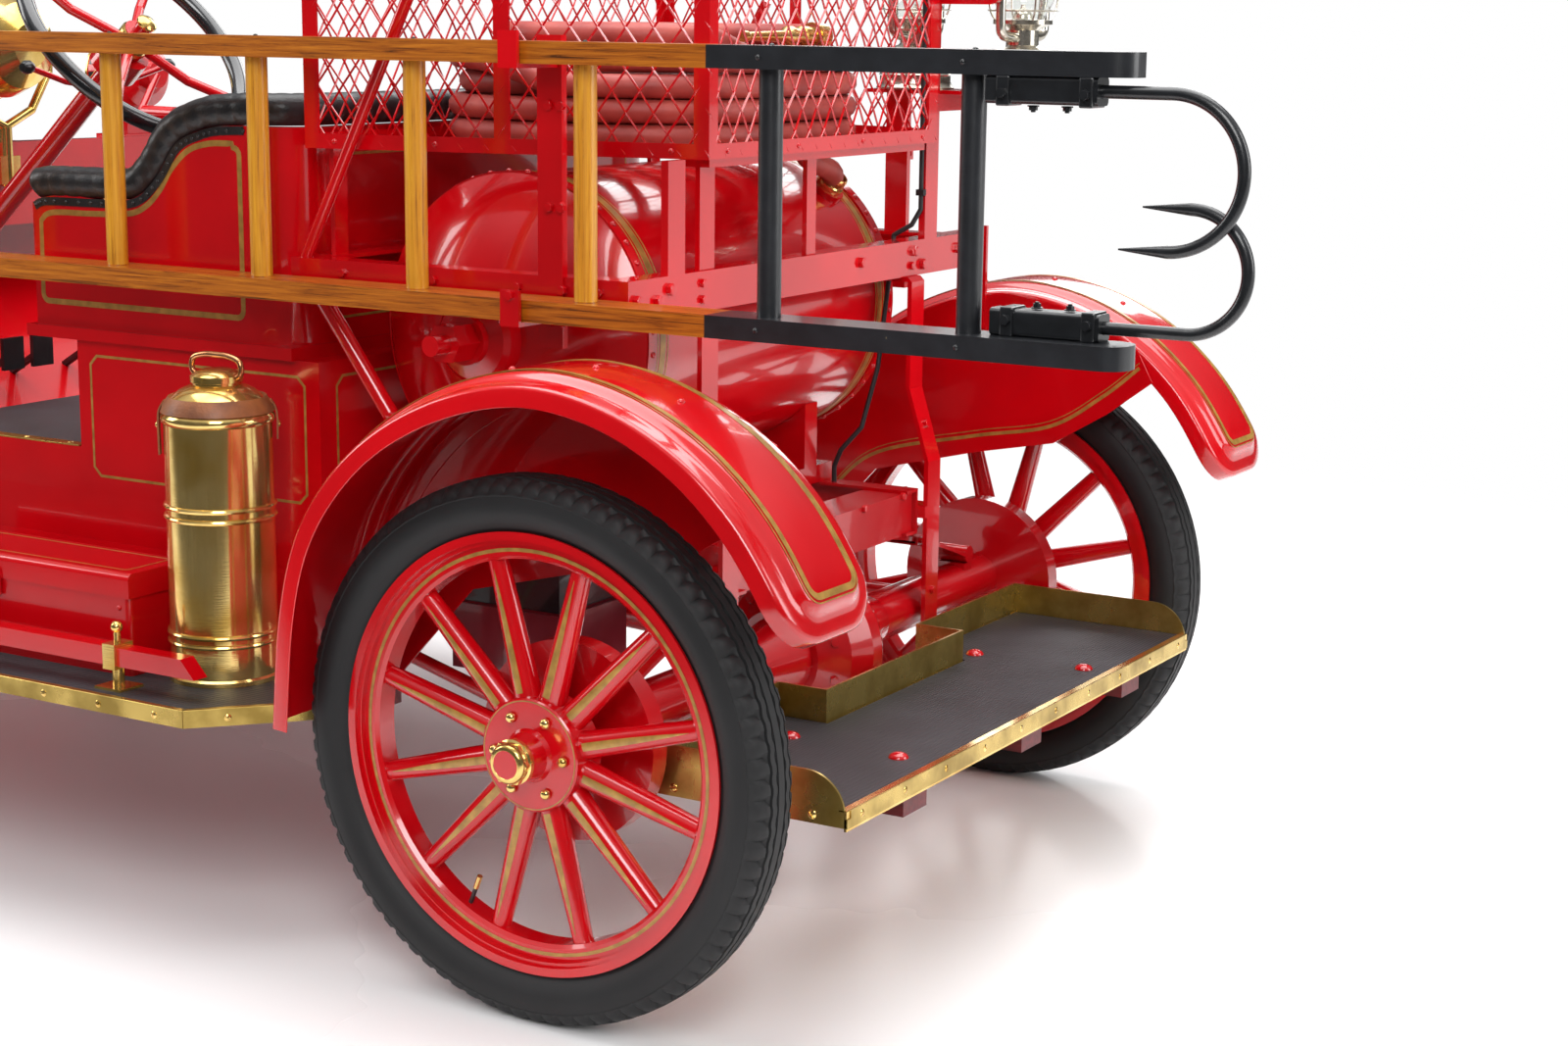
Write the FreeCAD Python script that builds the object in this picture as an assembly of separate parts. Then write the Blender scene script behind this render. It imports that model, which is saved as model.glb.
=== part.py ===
"""Chemical fire engine of the early 1920s on a light motor chassis.

Millimetres, +X forward, +Y to the left, +Z up, wheels on the ground at z = 0.
Pieces are drawn with x = 0 at the rear axle and are moved at the end, so that
the origin lies on the ground under the middle of the engine's box.
"""
import FreeCAD, Part

import math
import os

V = FreeCAD.Vector

# Wheels and stance
WHEELBASE = 2540.0
TRACK = 1422.0
TYRE_R = 381.0
TYRE_WIDTH = 100.0
RIM_SEAT_R = 302.0
RIM_WIDTH = 72.0
FELLOE_R = 268.0
FELLOE_WIDTH = 42.0
SPOKES = 12
SPOKE_ROOT_R = 20.0
SPOKE_TIP_R = 14.0
HUB_FLANGE_R = 79.0
HUB_FLANGE_T = 7.0
HUB_WOOD_WIDTH = 42.0
HUB_BARREL_R = 34.0
HUB_CAP_END = 82.0
HUB_INNER_END = 54.0
HUB_BOLT_RING_R = 57.0
HUB_BOLT_R = 6.0
WHEEL_BORE_R = 16.0
SHAFT_CLEAR = 0.5

# Pressed frame
FRAME_WIDTH = 584.0
FRAME_TOP = 596.0
FRAME_HEIGHT = 76.0
FRAME_FLANGE = 38.0
FRAME_T = 5.0
FRAME_REAR = -46.0
FRAME_FRONT = 2585.0
CROSS_WIDTH = 76.0
MID_CROSS_X = 1330.0

# Rear axle and spring
AXLE_TUBE_R = 41.0
DIFF_R = 134.0
DIFF_HALF = 84.0
DRUM_R = 142.0
DRUM_WIDTH = 34.0
AXLE_WHEEL_GAP = 7.0
TORQUE_TUBE_R = 27.0
TORQUE_FRONT_X = 1560.0
SPRING_WIDTH = 57.0
LEAF_T = 7.0
REAR_LEAVES = 7
SPRING_HALF = 520.0
SPRING_EYE_R = 15.0

# Front axle and steering
KINGPIN_Y = 622.0
KINGPIN_R = 12.0
AXLE_BEAM_Z = 318.0
AXLE_BEAM_H = 46.0
AXLE_BEAM_W = 34.0
STEER_ARM_X = 150.0
TIE_ROD_R = 11.0
TIE_ROD_DROP = 30.0
FRONT_LEAVES = 6
WISHBONE_R = 14.0
WISHBONE_BACK_X = 1780.0

# Engine, radiator and hood
ENGINE_BACK = 1905.0
ENGINE_FRONT = 2420.0
ENGINE_WIDTH = 300.0
ENGINE_BOTTOM = 400.0
ENGINE_TOP = 900.0
RADIATOR_X = 2484.0
RADIATOR_DEPTH = 92.0
RADIATOR_WIDTH = 452.0
RADIATOR_TOP = 1092.0
RADIATOR_BOTTOM = 598.0
RADIATOR_CORNER = 70.0
CORE_RECESS = 16.0
HOOD_GAP = 6.0
HOOD_T = 4.0
HOOD_SIDE_BOTTOM = 704.0
HINGE_R = 7.0
HINGE_GAP = 0.3
FIREWALL_X = 1890.0
FIREWALL_T = 8.0
COWL_REAR_X = 1730.0
COWL_WIDTH = 940.0
COWL_NECK = 560.0
COWL_TOP = 1112.0
COWL_CORNER = 120.0

# Body floor, aprons and running boards
BODY_WIDTH = 1000.0
FLOOR_TOP = 652.0
FLOOR_T = 20.0
SILL_TOP = 670.0
SILL_T = 22.0
FLOOR_FRONT = 1560.0
TOE_TOP_Z = 850.0
BOARD_TOP = 378.0
BOARD_T = 22.0
BOARD_INNER = 546.0
BOARD_OUTER = 828.0
BOARD_REAR = 376.0
BOARD_FRONT = 2096.0
BOARD_CUT_X = 545.0
BOARD_CUT_Y = 702.0
EDGE_T = 3.4
STEP_PLATE_REAR = 1430.0
STEP_PLATE_LENGTH = 450.0
STEP_PLATE_INNER = 572.0
STEP_PLATE_WIDTH = 168.0
APRON_T = 4.0
BRACKET_XS = (640.0, 1330.0, 2020.0)

# Fenders
FENDER_INNER = 600.0
FENDER_OUTER = 820.0
FENDER_T = 3.0
FENDER_LIP = 28.0
FENDER_TIP_R = 72.0
FENDER_FADE = 70.0
SKIRT_T = 3.0

# Seat
SEAT_BOX_REAR = 561.0
SEAT_BOX_FRONT = 1064.0
SEAT_BOX_TOP = 845.0
SEAT_BOX_T = 20.0
LEDGE_REAR = 604.0
LEDGE_FRONT = 1163.0
LEDGE_TOP = 864.0
LEDGE_OUT = 12.0
SEAT_FRONT = 1150.0
SEAT_REAR = 612.0
BACK_PAD_DEPTH = 108.0
SEAT_ARM_Z = 1068.0
SEAT_BACK_Z = 1194.0
SEAT_SHELL_T = 22.0
SEAT_CORNER = 85.0
CUSHION_TOP = 1004.0
ROLL_R = 24.0
SOFT_GAP = 0.3

# Chemical tank
TANK_X = 290.0
TANK_Z = 898.0
TANK_R = 236.0
TANK_STRAIGHT = 372.0
TANK_DISH = 78.0
GLAND_R = 66.0
GLAND_NUT_END = 574.0
OUTLET_TURN = 39.5
OUTLET_HEIGHT = 10.0
ARC_SHARE = 0.45
OUTLET_Y = -290.0
LEAD_X = 110.0
LEAD_Y = -159.0

# Equipment frame
CHANNEL_REAR = -8.0
CHANNEL_TOP = 1003.0
CHANNEL_HEIGHT = 58.0
CHANNEL_FLANGE = 40.0
CHANNEL_HALF = 512.0
CHANNEL_T = 6.0
ANGLE_LEG = 40.0
ANGLE_T = 6.0
ANGLE_FRONT = 600.0
CHANNEL_RIGHT = 590.0
STAY_BOTTOM = 832.0
HANGER_Y = 322.0
HANGER_X = -60.0
HANGER_W = 44.0
RUNNER_X = -24.0
POST_Y = 390.0
POST_W = 44.0
POST_T = 12.0
STRUT_R = 13.0

# Hose basket, wider at the front
BASKET_REAR = -36.0
BASKET_FRONT = 588.0
BASKET_HALF_REAR = 350.0
BASKET_HALF_FRONT = 488.0
BASKET_BOTTOM = 1164.0
BASKET_TOP = 1590.0
BASKET_ANGLE = 22.0
BASKET_ANGLE_T = 3.0

# Hose
HOSE_R = 18.0
COIL_X = 286.0
COIL_HALF_X = 285.0
COIL_HALF_Y = 322.0
COIL_WIDTH = 112.0
COIL_BOTTOM_GAP = 0.3
COIL_HEIGHT = 148.0
NOZZLE_Y = -95.0
LAST_STRETCH = 130.0

# Ladder
BRACKET_X = 100.0
BRACKET_W = 42.0
FRONT_POST_X = 1790.0
LADDER_Y = 565.0
LADDER_DEPTH = 68.0
RAIL_T = 30.0
LADDER_TOP = 1328.0
LADDER_BOTTOM = 948.0
LADDER_REAR = -780.0
LADDER_FRONT = 2440.0
RUNG_PITCH = 292.0
RUNG_REAR = -558.0
RUNG_R = 16.0
HOOK_ROD_R = 8.0
HOOK_REACH = 146.0
HOOK_DROP = 186.0
HOOK_RISE = 150.0
SOCKET_LENGTH = 148.0
SOCKET_SIZE = 34.0
HOOK_SIDE = 14.0
HOOK_TIP = 62.0

# Rear step
STEP_TOP = 330.0
STEP_T = 20.0
STEP_HALF = 592.0
STEP_REAR = -410.0
STEP_FRONT = -88.0
STEP_JOG_X = -170.0
STEP_JOG_HALF = 226.0
STEP_WALL = 53.0
STEP_WALL_T = 4.0
STEP_CORNER = 60.0
TIMBER_W = 70.0
TIMBER_H = 34.0

# Side equipment
BOTTLE_X = 639.0
BOTTLE_Y = 637.0
BOTTLE_R = 84.0
BOTTLE_SHOULDER = 790.0
BOTTLE_TOP = 846.0
TOOLBOX_REAR = 747.0
TOOLBOX_LENGTH = 560.0
TOOLBOX_INNER = 588.0
TOOLBOX_OUTER = 724.0
TOOLBOX_TOP = 538.0
TOOLBOX_T = 4.0
LID_HEIGHT = 38.0
LID_HINGE_R = 3.0
SIDE_BAR_Y = 777.0
SIDE_BAR_Z = 430.0
SIDE_BAR_SIZE = 28.0
SIDE_BAR_REAR = 557.0
SIDE_BAR_FRONT = 2010.0
SIDE_BAR_POSTS = (720.0, 1340.0, 1960.0)

LID_LOW = TOOLBOX_TOP - LID_HEIGHT

# Steering column and wheel
COLUMN_Y = 290.0
WHEEL_X = 1121.0
WHEEL_Z = 1315.0
WHEEL_R = 200.0
WHEEL_RIM_R = 14.0
COLUMN_SLOPE = 42.0
COLUMN_R = 19.0
COLUMN_LENGTH = 980.0

# Lamps, siren and small equipment
SEARCH_X = 1714.0
SEARCH_Y = 30.0
SEARCH_Z = 1295.0
HEADLAMP_X = 2600.0
HEADLAMP_Y = 392.0
HEADLAMP_Z = 842.0
HEADLAMP_R = 108.0
LANTERN_Y = -482.0
LANTERN_XS = (-123.0, 76.0)
LANTERN_BASE_Z = 1246.0
LANTERN_R = 66.0
LANTERN_TUBE = 84.0
CABLE_R = 4.0
SIREN_X = 1772.0
SIREN_Y = -345.0
SIREN_Z = 1236.0

FENDER_TIP_X = 2958.0
HOOK_END_X = LADDER_REAR - HOOK_REACH
ORIGIN_SHIFT = -(FENDER_TIP_X + HOOK_END_X) / 2


# Drawing helpers
def box(x0, x1, y0, y1, z0, z1):
    return Part.makeBox(x1 - x0, y1 - y0, z1 - z0, V(x0, y0, z0))


def fuse(shapes):
    """One clean solid out of several that meet."""
    first, rest = shapes[0], shapes[1:]
    if not rest:
        return first
    return first.multiFuse(rest).removeSplitter()


def group(shapes):
    return Part.makeCompound(shapes)


def mirrored(shape):
    """The same shape on the other side of the engine."""
    return shape.mirror(V(0, 0, 0), V(0, 1, 0))


def both(shape):
    return [shape, mirrored(shape)]


def prism(points, direction):
    """Extrude a closed outline of points along a vector."""
    return Part.Face(Part.makePolygon(points + [points[0]])).extrude(direction)


def prism_x(outline, x0, x1):
    return prism([V(x0, y, z) for y, z in outline], V(x1 - x0, 0, 0))


def prism_y(outline, y0, y1):
    return prism([V(x, y0, z) for x, z in outline], V(0, y1 - y0, 0))


def prism_z(outline, z0, z1):
    return prism([V(x, y, z0) for x, y in outline], V(0, 0, z1 - z0))


def rod(start, end, radius):
    run = end - start
    return Part.makeCylinder(radius, run.Length, start, run)


def bent_rod(points, radius):
    """Round bar through points, with a ball at each bend."""
    shapes = [rod(a, b, radius) for a, b in zip(points, points[1:])]
    shapes += [Part.makeSphere(radius, p) for p in points[1:-1]]
    return fuse(shapes)


def spun(outline, centre, axis):
    """Turn an outline of (radius, along) points about an axis through centre."""
    face = Part.Face(Part.makePolygon([V(r, 0, a) for r, a in outline + [outline[0]]]))
    solid = face.revolve(V(0, 0, 0), V(0, 0, 1), 360)
    solid.Placement = FreeCAD.Placement(centre, FreeCAD.Rotation(V(0, 0, 1), axis))
    return solid


def rounded_box(x0, x1, y0, y1, z0, z1, radius, edges="Z"):
    """Box with the edges along one axis rounded."""
    shape = box(x0, x1, y0, y1, z0, z1)
    chosen = []
    for edge in shape.Edges:
        run = edge.Vertexes[1].Point - edge.Vertexes[0].Point
        along = {"X": run.x, "Y": run.y, "Z": run.z}[edges]
        if abs(abs(along) - run.Length) < 1e-6:
            chosen.append(edge)
    return shape.makeFillet(radius, chosen)


def spline(points):
    curve = Part.BSplineCurve()
    curve.interpolate(points)
    return curve


def strip(points, inner, outer, y0, y1):
    """Band that follows a curve in the XZ plane, between two offsets of it."""
    curve = spline([V(x, y0, z) for x, z in points])
    low, high = curve.ParameterRange if hasattr(curve, "ParameterRange") else (
        curve.FirstParameter, curve.LastParameter)
    rows = []
    for offset in (inner, outer):
        row = []
        for step in range(25):
            t = low + (high - low) * step / 24
            here = curve.value(t)
            along = curve.tangent(t)[0]
            row.append(here + V(-along.z, 0, along.x) * offset)
        rows.append(spline(row).toShape())
    first, second = rows
    ends = [
        Part.makeLine(first.lastVertex().Point, second.lastVertex().Point),
        Part.makeLine(second.firstVertex().Point, first.firstVertex().Point),
    ]
    wire = Part.Wire(Part.__sortEdges__([first, ends[0], second, ends[1]]))
    return Part.Face(wire).extrude(V(0, y1 - y0, 0))


# Chassis
def frame_rail():
    outer = FRAME_WIDTH / 2
    low = FRAME_TOP - FRAME_HEIGHT
    outline = [
        (outer, low), (outer, FRAME_TOP), (outer - FRAME_FLANGE, FRAME_TOP),
        (outer - FRAME_FLANGE, FRAME_TOP - FRAME_T), (outer - FRAME_T, FRAME_TOP - FRAME_T),
        (outer - FRAME_T, low + FRAME_T), (outer - FRAME_FLANGE, low + FRAME_T),
        (outer - FRAME_FLANGE, low),
    ]
    return prism_x(outline, FRAME_REAR, FRAME_FRONT)


def cross_member(x):
    """Inverted channel between the webs of the two rails."""
    half = CROSS_WIDTH / 2
    low = FRAME_TOP - FRAME_HEIGHT
    top = FRAME_TOP - FRAME_T
    outline = [
        (x - half, low), (x - half, top), (x + half, top), (x + half, low),
        (x + half - FRAME_T, low), (x + half - FRAME_T, top - FRAME_T),
        (x - half + FRAME_T, top - FRAME_T), (x - half + FRAME_T, low),
    ]
    reach = FRAME_WIDTH / 2 - FRAME_T
    return prism_y(outline, -reach, reach)


def board_bracket(x):
    """Forged arm that carries a running board from the rail."""
    web = FRAME_WIDTH / 2
    under = BOARD_TOP - BOARD_T
    outline = [
        (web, FRAME_TOP - FRAME_T), (web + 10, FRAME_TOP - FRAME_T), (web + 14, under + 40),
        (web + 60, under), (BOARD_OUTER - 30, under), (BOARD_OUTER - 30, under - 9),
        (web + 40, under - 16), (web, under + 24),
    ]
    return prism_x(outline, x - 16, x + 16)


def chassis_frame():
    parts = both(frame_rail())
    for x in (0.0, MID_CROSS_X, WHEELBASE):
        parts.append(cross_member(x))
    for x in BRACKET_XS:
        parts += both(board_bracket(x))
    return fuse(parts)


# Rear axle
def rear_axle():
    centre = V(0, 0, TYRE_R)
    drum_face = TRACK / 2 - HUB_INNER_END - AXLE_WHEEL_GAP
    tubes = rod(V(0, -drum_face, TYRE_R), V(0, drum_face, TYRE_R), AXLE_TUBE_R)
    bowl = [(0, -DIFF_HALF), (DIFF_R * 0.55, -DIFF_HALF), (DIFF_R * 0.86, -DIFF_HALF * 0.6),
            (DIFF_R, -14), (DIFF_R, 14), (DIFF_R * 0.86, DIFF_HALF * 0.6),
            (DIFF_R * 0.55, DIFF_HALF), (0, DIFF_HALF)]
    parts = [tubes, spun(bowl, centre, V(0, 1, 0))]
    for side in (-1, 1):
        face = side * drum_face
        plate = rod(V(0, face - side * DRUM_WIDTH, TYRE_R), V(0, face, TYRE_R), DRUM_R)
        horn = Part.makeCone(DIFF_R * 0.5, AXLE_TUBE_R, 150, V(0, side * DIFF_HALF * 0.7, TYRE_R),
                             V(0, side, 0))
        spindle = rod(V(0, face, TYRE_R), V(0, side * (TRACK / 2 + 20), TYRE_R),
                      WHEEL_BORE_R - SHAFT_CLEAR)
        perch = box(-26, 26, side * 526 - 14, side * 526 + 14, TYRE_R, TYRE_R + 44.7)
        parts += [plate, horn, spindle, perch]
    tube_start = V(DIFF_R * 0.7, 0, TYRE_R)
    tube_end = V(TORQUE_FRONT_X, 0, FRAME_TOP - FRAME_HEIGHT - 62)
    parts.append(rod(tube_start, tube_end, TORQUE_TUBE_R))
    parts.append(Part.makeCone(62, TORQUE_TUBE_R, 130, tube_start, tube_end - tube_start))
    parts.append(Part.makeSphere(TORQUE_TUBE_R * 1.7, tube_end))
    for side in (-1, 1):
        start = V(30, side * 560, TYRE_R - 30)
        parts.append(rod(start, tube_end, 11))
        parts.append(rod(V(0, side * 560, TYRE_R), start, 16))
    return fuse(parts)


def leaf_pack(leaves, half, centre_x, eye_z, top_z):
    """Bowed transverse leaves, longest at the ends and shorter to the top."""
    rise = top_z - eye_z
    parts = []
    for leaf in range(leaves):
        reach = half * (1 - leaf / (leaves + 1.2))
        lift = leaf * LEAF_T
        points = []
        for step in range(9):
            y = -reach + 2 * reach * step / 8
            z = eye_z + rise * (1 - (y / half) ** 2) - (leaves - 1) * LEAF_T + lift
            points.append((y, z))
        upper = spline([V(centre_x - SPRING_WIDTH / 2, y, z + LEAF_T) for y, z in points])
        lower = spline([V(centre_x - SPRING_WIDTH / 2, y, z) for y, z in points])
        a, b = upper.toShape(), lower.toShape()
        ends = [Part.makeLine(a.lastVertex().Point, b.lastVertex().Point),
                Part.makeLine(b.firstVertex().Point, a.firstVertex().Point)]
        wire = Part.Wire(Part.__sortEdges__([a, ends[0], b, ends[1]]))
        parts.append(Part.Face(wire).extrude(V(SPRING_WIDTH, 0, 0)))
    return parts


def rear_spring():
    top = FRAME_TOP - FRAME_T - FRAME_T
    eye_z = TYRE_R + 96
    leaves = leaf_pack(REAR_LEAVES, SPRING_HALF, 0.0, eye_z, top - LEAF_T)
    parts = list(leaves)
    half = SPRING_WIDTH / 2
    low = eye_z - (REAR_LEAVES - 1) * LEAF_T
    for side in (-1, 1):
        eye_y = side * (SPRING_HALF + SPRING_EYE_R * 0.4)
        parts.append(rod(V(-half, eye_y, low + 6), V(half, eye_y, low + 6), SPRING_EYE_R))
    return fuse(parts)


# Front axle
def front_axle():
    x = WHEELBASE
    drop = [(-KINGPIN_Y + 30, TYRE_R - 20), (-KINGPIN_Y + 130, AXLE_BEAM_Z),
            (KINGPIN_Y - 130, AXLE_BEAM_Z), (KINGPIN_Y - 30, TYRE_R - 20),
            (KINGPIN_Y - 30, TYRE_R + 24), (KINGPIN_Y - 140, AXLE_BEAM_Z + AXLE_BEAM_H),
            (-KINGPIN_Y + 140, AXLE_BEAM_Z + AXLE_BEAM_H), (-KINGPIN_Y + 30, TYRE_R + 24)]
    half = AXLE_BEAM_W / 2
    beam = prism_x(drop, x - half, x + half)
    groove = prism_x([(-KINGPIN_Y + 150, AXLE_BEAM_Z + 11), (KINGPIN_Y - 150, AXLE_BEAM_Z + 11),
                      (KINGPIN_Y - 150, AXLE_BEAM_Z + AXLE_BEAM_H - 11),
                      (-KINGPIN_Y + 150, AXLE_BEAM_Z + AXLE_BEAM_H - 11)], x, x + half)
    for face in (5, -5 - half):
        beam = beam.cut(groove.translated(V(face, 0, 0)))
    parts = [beam]
    for side in (-1, 1):
        y = side * KINGPIN_Y
        for z0, z1 in ((TYRE_R - 52, TYRE_R - 30), (TYRE_R + 30, TYRE_R + 52)):
            parts.append(rod(V(x, y, z0), V(x, y, z1), 21))
            yoke = box(x - 17, x + 17, min(y, y - side * 44), max(y, y - side * 44), z0, z1)
            parts.append(yoke)
        stem = box(x - 17, x + 17, min(y - side * 27, y - side * 52),
                   max(y - side * 27, y - side * 52), TYRE_R - 52, TYRE_R + 52)
        parts.append(stem)
        perch = rod(V(x, side * 476, AXLE_BEAM_Z), V(x, side * 476, AXLE_BEAM_Z + 107.7), 13)
        parts.append(perch)
    ball = V(WISHBONE_BACK_X, 0, 356)
    for side in (-1, 1):
        parts.append(bent_rod([V(x, side * 500, AXLE_BEAM_Z - 4),
                               V(x - 40, side * 496, AXLE_BEAM_Z - 22), ball], WISHBONE_R))
    parts.append(Part.makeSphere(24, ball))
    body = fuse(parts)
    for side in (-1, 1):
        y = side * KINGPIN_Y
        body = body.cut(rod(V(x, y, TYRE_R - 60), V(x, y, TYRE_R + 60), KINGPIN_R + SHAFT_CLEAR))
    return body


def front_spring():
    x = WHEELBASE
    top = FRAME_TOP - FRAME_T - FRAME_T
    eye_z = 470.0
    half = 470.0
    parts = leaf_pack(FRONT_LEAVES, half, x, eye_z, top - LEAF_T)
    low = eye_z - (FRONT_LEAVES - 1) * LEAF_T
    wide = SPRING_WIDTH / 2
    for side in (-1, 1):
        y = side * (half + SPRING_EYE_R * 0.4)
        parts.append(rod(V(x - wide, y, low + 6), V(x + wide, y, low + 6), SPRING_EYE_R))
    return fuse(parts)


def knuckle(side):
    """Steering knuckle: kingpin, spindle and the arm to the rear."""
    x, y = WHEELBASE, side * KINGPIN_Y
    pin = rod(V(x, y, TYRE_R - 56), V(x, y, TYRE_R + 58), KINGPIN_R)
    barrel = rod(V(x, y, TYRE_R - 26), V(x, y, TYRE_R + 26), 20)
    spindle = rod(V(x, y, TYRE_R), V(x, side * (TRACK / 2 + 20), TYRE_R), WHEEL_BORE_R - SHAFT_CLEAR)
    arm_end = V(x - STEER_ARM_X, y, TYRE_R)
    arm = rod(V(x, y, TYRE_R), arm_end, 10)
    boss = rod(arm_end - V(0, 0, 12), arm_end + V(0, 0, 12), 15)
    stud = rod(arm_end - V(0, 0, TIE_ROD_DROP + 16), arm_end, 6)
    return fuse([pin, barrel, spindle, arm, boss, stud])


def tie_rod():
    x = WHEELBASE - STEER_ARM_X
    y = KINGPIN_Y
    z = TYRE_R - TIE_ROD_DROP
    bar = rod(V(x, -y, z), V(x, y, z), TIE_ROD_R)
    eyes = [rod(V(x, s * y, z - 13), V(x, s * y, z + 13), 17) for s in (-1, 1)]
    body = fuse([bar] + eyes)
    for s in (-1, 1):
        body = body.cut(rod(V(x, s * y, z - 20), V(x, s * y, z + 20), 6.5))
    return body


# Wheels
def wheel(x, side):
    """Wooden wheel with its felloe, steel rim, hub flanges and hub cap."""
    centre = V(0, 0, 0)
    out = V(0, side, 0)
    half = RIM_WIDTH / 2
    rim = [(FELLOE_R + 22, -half + 6), (RIM_SEAT_R - 6, -half + 6), (RIM_SEAT_R - 6, -half),
           (RIM_SEAT_R + 6, -half), (RIM_SEAT_R + 6, -half + 4), (RIM_SEAT_R, -half + 8),
           (RIM_SEAT_R, half - 8), (RIM_SEAT_R + 6, half - 4), (RIM_SEAT_R + 6, half),
           (RIM_SEAT_R - 6, half), (RIM_SEAT_R - 6, half - 6), (FELLOE_R + 22, half - 6)]
    wide = FELLOE_WIDTH / 2
    felloe = [(FELLOE_R, -wide + 5), (FELLOE_R + 5, -wide), (FELLOE_R + 26, -wide),
              (FELLOE_R + 26, wide), (FELLOE_R + 5, wide), (FELLOE_R, wide - 5)]
    wood = HUB_WOOD_WIDTH / 2
    hub = [(WHEEL_BORE_R, -HUB_INNER_END), (HUB_BARREL_R + 8, -HUB_INNER_END),
           (HUB_BARREL_R + 8, -wood - HUB_FLANGE_T), (HUB_FLANGE_R, -wood - HUB_FLANGE_T),
           (HUB_FLANGE_R, wood + HUB_FLANGE_T - 2), (HUB_FLANGE_R - 2, wood + HUB_FLANGE_T),
           (HUB_BARREL_R + 4, wood + HUB_FLANGE_T), (HUB_BARREL_R, wood + HUB_FLANGE_T + 6),
           (HUB_BARREL_R - 4, HUB_CAP_END - 22), (0, HUB_CAP_END - 22), (0, 24),
           (WHEEL_BORE_R, 24)]
    parts = [spun(rim, centre, out), spun(felloe, centre, out), spun(hub, centre, out)]
    reach = FELLOE_R + 8 - HUB_FLANGE_R + 14
    for index in range(SPOKES):
        turn = math.radians(360 * (index + 0.5) / SPOKES)
        way = V(math.cos(turn), 0, math.sin(turn))
        parts.append(Part.makeCone(SPOKE_ROOT_R, SPOKE_TIP_R, reach,
                                   centre + way * (HUB_FLANGE_R - 14), way))
    cap = [(0, HUB_CAP_END - 24), (30, HUB_CAP_END - 24), (30, HUB_CAP_END - 16),
           (27, HUB_CAP_END - 14), (27, HUB_CAP_END - 4), (22, HUB_CAP_END), (0, HUB_CAP_END)]
    parts.append(spun(cap, centre, out))
    for index in range(6):
        turn = math.radians(60 * index)
        spot = centre + V(math.cos(turn), 0, math.sin(turn)) * HUB_BOLT_RING_R
        start = spot + out * (wood + 2)
        parts.append(rod(start, start + out * (HUB_FLANGE_T + 3), HUB_BOLT_R))
    return fuse(parts).translated(V(x, side * TRACK / 2, TYRE_R))


def tyre(x, side):
    """Beaded tyre: a rounded casing with a flatter tread band."""
    half = TYRE_WIDTH / 2
    bead = RIM_WIDTH / 2 - 9
    outline = [(RIM_SEAT_R, -bead), (RIM_SEAT_R + 7, -bead - 3), (RIM_SEAT_R + 20, -half + 6),
               (RIM_SEAT_R + 38, -half), (RIM_SEAT_R + 55, -half + 5), (TYRE_R - 9, -half + 14),
               (TYRE_R - 2, -half + 28), (TYRE_R, -12), (TYRE_R, 12), (TYRE_R - 2, half - 28),
               (TYRE_R - 9, half - 14), (RIM_SEAT_R + 55, half - 5), (RIM_SEAT_R + 38, half),
               (RIM_SEAT_R + 20, half - 6), (RIM_SEAT_R + 7, bead + 3), (RIM_SEAT_R, bead)]
    return spun(outline, V(x, side * TRACK / 2, TYRE_R), V(0, side, 0))


# Engine and front sheet metal
def engine_block():
    half = ENGINE_WIDTH / 2
    block = box(ENGINE_BACK, ENGINE_FRONT, -half, half, FRAME_TOP - 60, ENGINE_TOP)
    pan = prism_y([(ENGINE_BACK - 30, 520), (ENGINE_BACK + 60, ENGINE_BOTTOM),
                   (ENGINE_BACK + 330, ENGINE_BOTTOM), (ENGINE_FRONT - 60, 500),
                   (ENGINE_FRONT - 60, 540), (ENGINE_BACK - 30, 540)], -half * 0.75, half * 0.75)
    arms = box(ENGINE_BACK + 20, ENGINE_BACK + 70, -FRAME_WIDTH / 2 + FRAME_T,
               FRAME_WIDTH / 2 - FRAME_T, FRAME_TOP - 40, FRAME_TOP - FRAME_T)
    return fuse([block, pan, arms])


def radiator():
    half = RADIATOR_WIDTH / 2
    front = RADIATOR_X + RADIATOR_DEPTH
    shell = rounded_box(RADIATOR_X, front, -half, half, RADIATOR_BOTTOM, RADIATOR_TOP,
                        RADIATOR_CORNER, "X")
    core = box(front - CORE_RECESS, front + 1, -half + 34, half - 34, RADIATOR_BOTTOM + 44,
               RADIATOR_TOP - 96)
    shell = shell.cut(core)
    middle = V(RADIATOR_X + RADIATOR_DEPTH / 2, 0, RADIATOR_TOP - 6)
    neck = [(0, 0), (30, 0), (26, 16), (26, 22), (36, 24), (36, 40), (30, 46), (10, 48), (0, 48)]
    feet = [box(RADIATOR_X + 20, front - 20, s * 262 - 22, s * 262 + 22, FRAME_TOP, FRAME_TOP + 8)
            for s in (-1, 1)]
    bridge = box(RADIATOR_X + 20, front - 20, -262, 262, FRAME_TOP, FRAME_TOP + 8)
    return fuse([shell, spun(neck, middle, V(0, 0, 1)), bridge] + feet)


def arch_wire(x, half, low, top, corner):
    """Closed outline of an arch with rounded shoulders, across the engine."""
    bend = corner * (1 - math.sqrt(0.5))
    edges = [
        Part.makeLine(V(x, -half, low), V(x, -half, top - corner)),
        Part.Arc(V(x, -half, top - corner), V(x, -half + bend, top - bend),
                 V(x, -half + corner, top)).toShape(),
        Part.makeLine(V(x, -half + corner, top), V(x, half - corner, top)),
        Part.Arc(V(x, half - corner, top), V(x, half - bend, top - bend),
                 V(x, half, top - corner)).toShape(),
        Part.makeLine(V(x, half, top - corner), V(x, half, low)),
        Part.makeLine(V(x, half, low), V(x, -half, low)),
    ]
    return Part.Wire(edges)


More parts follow.
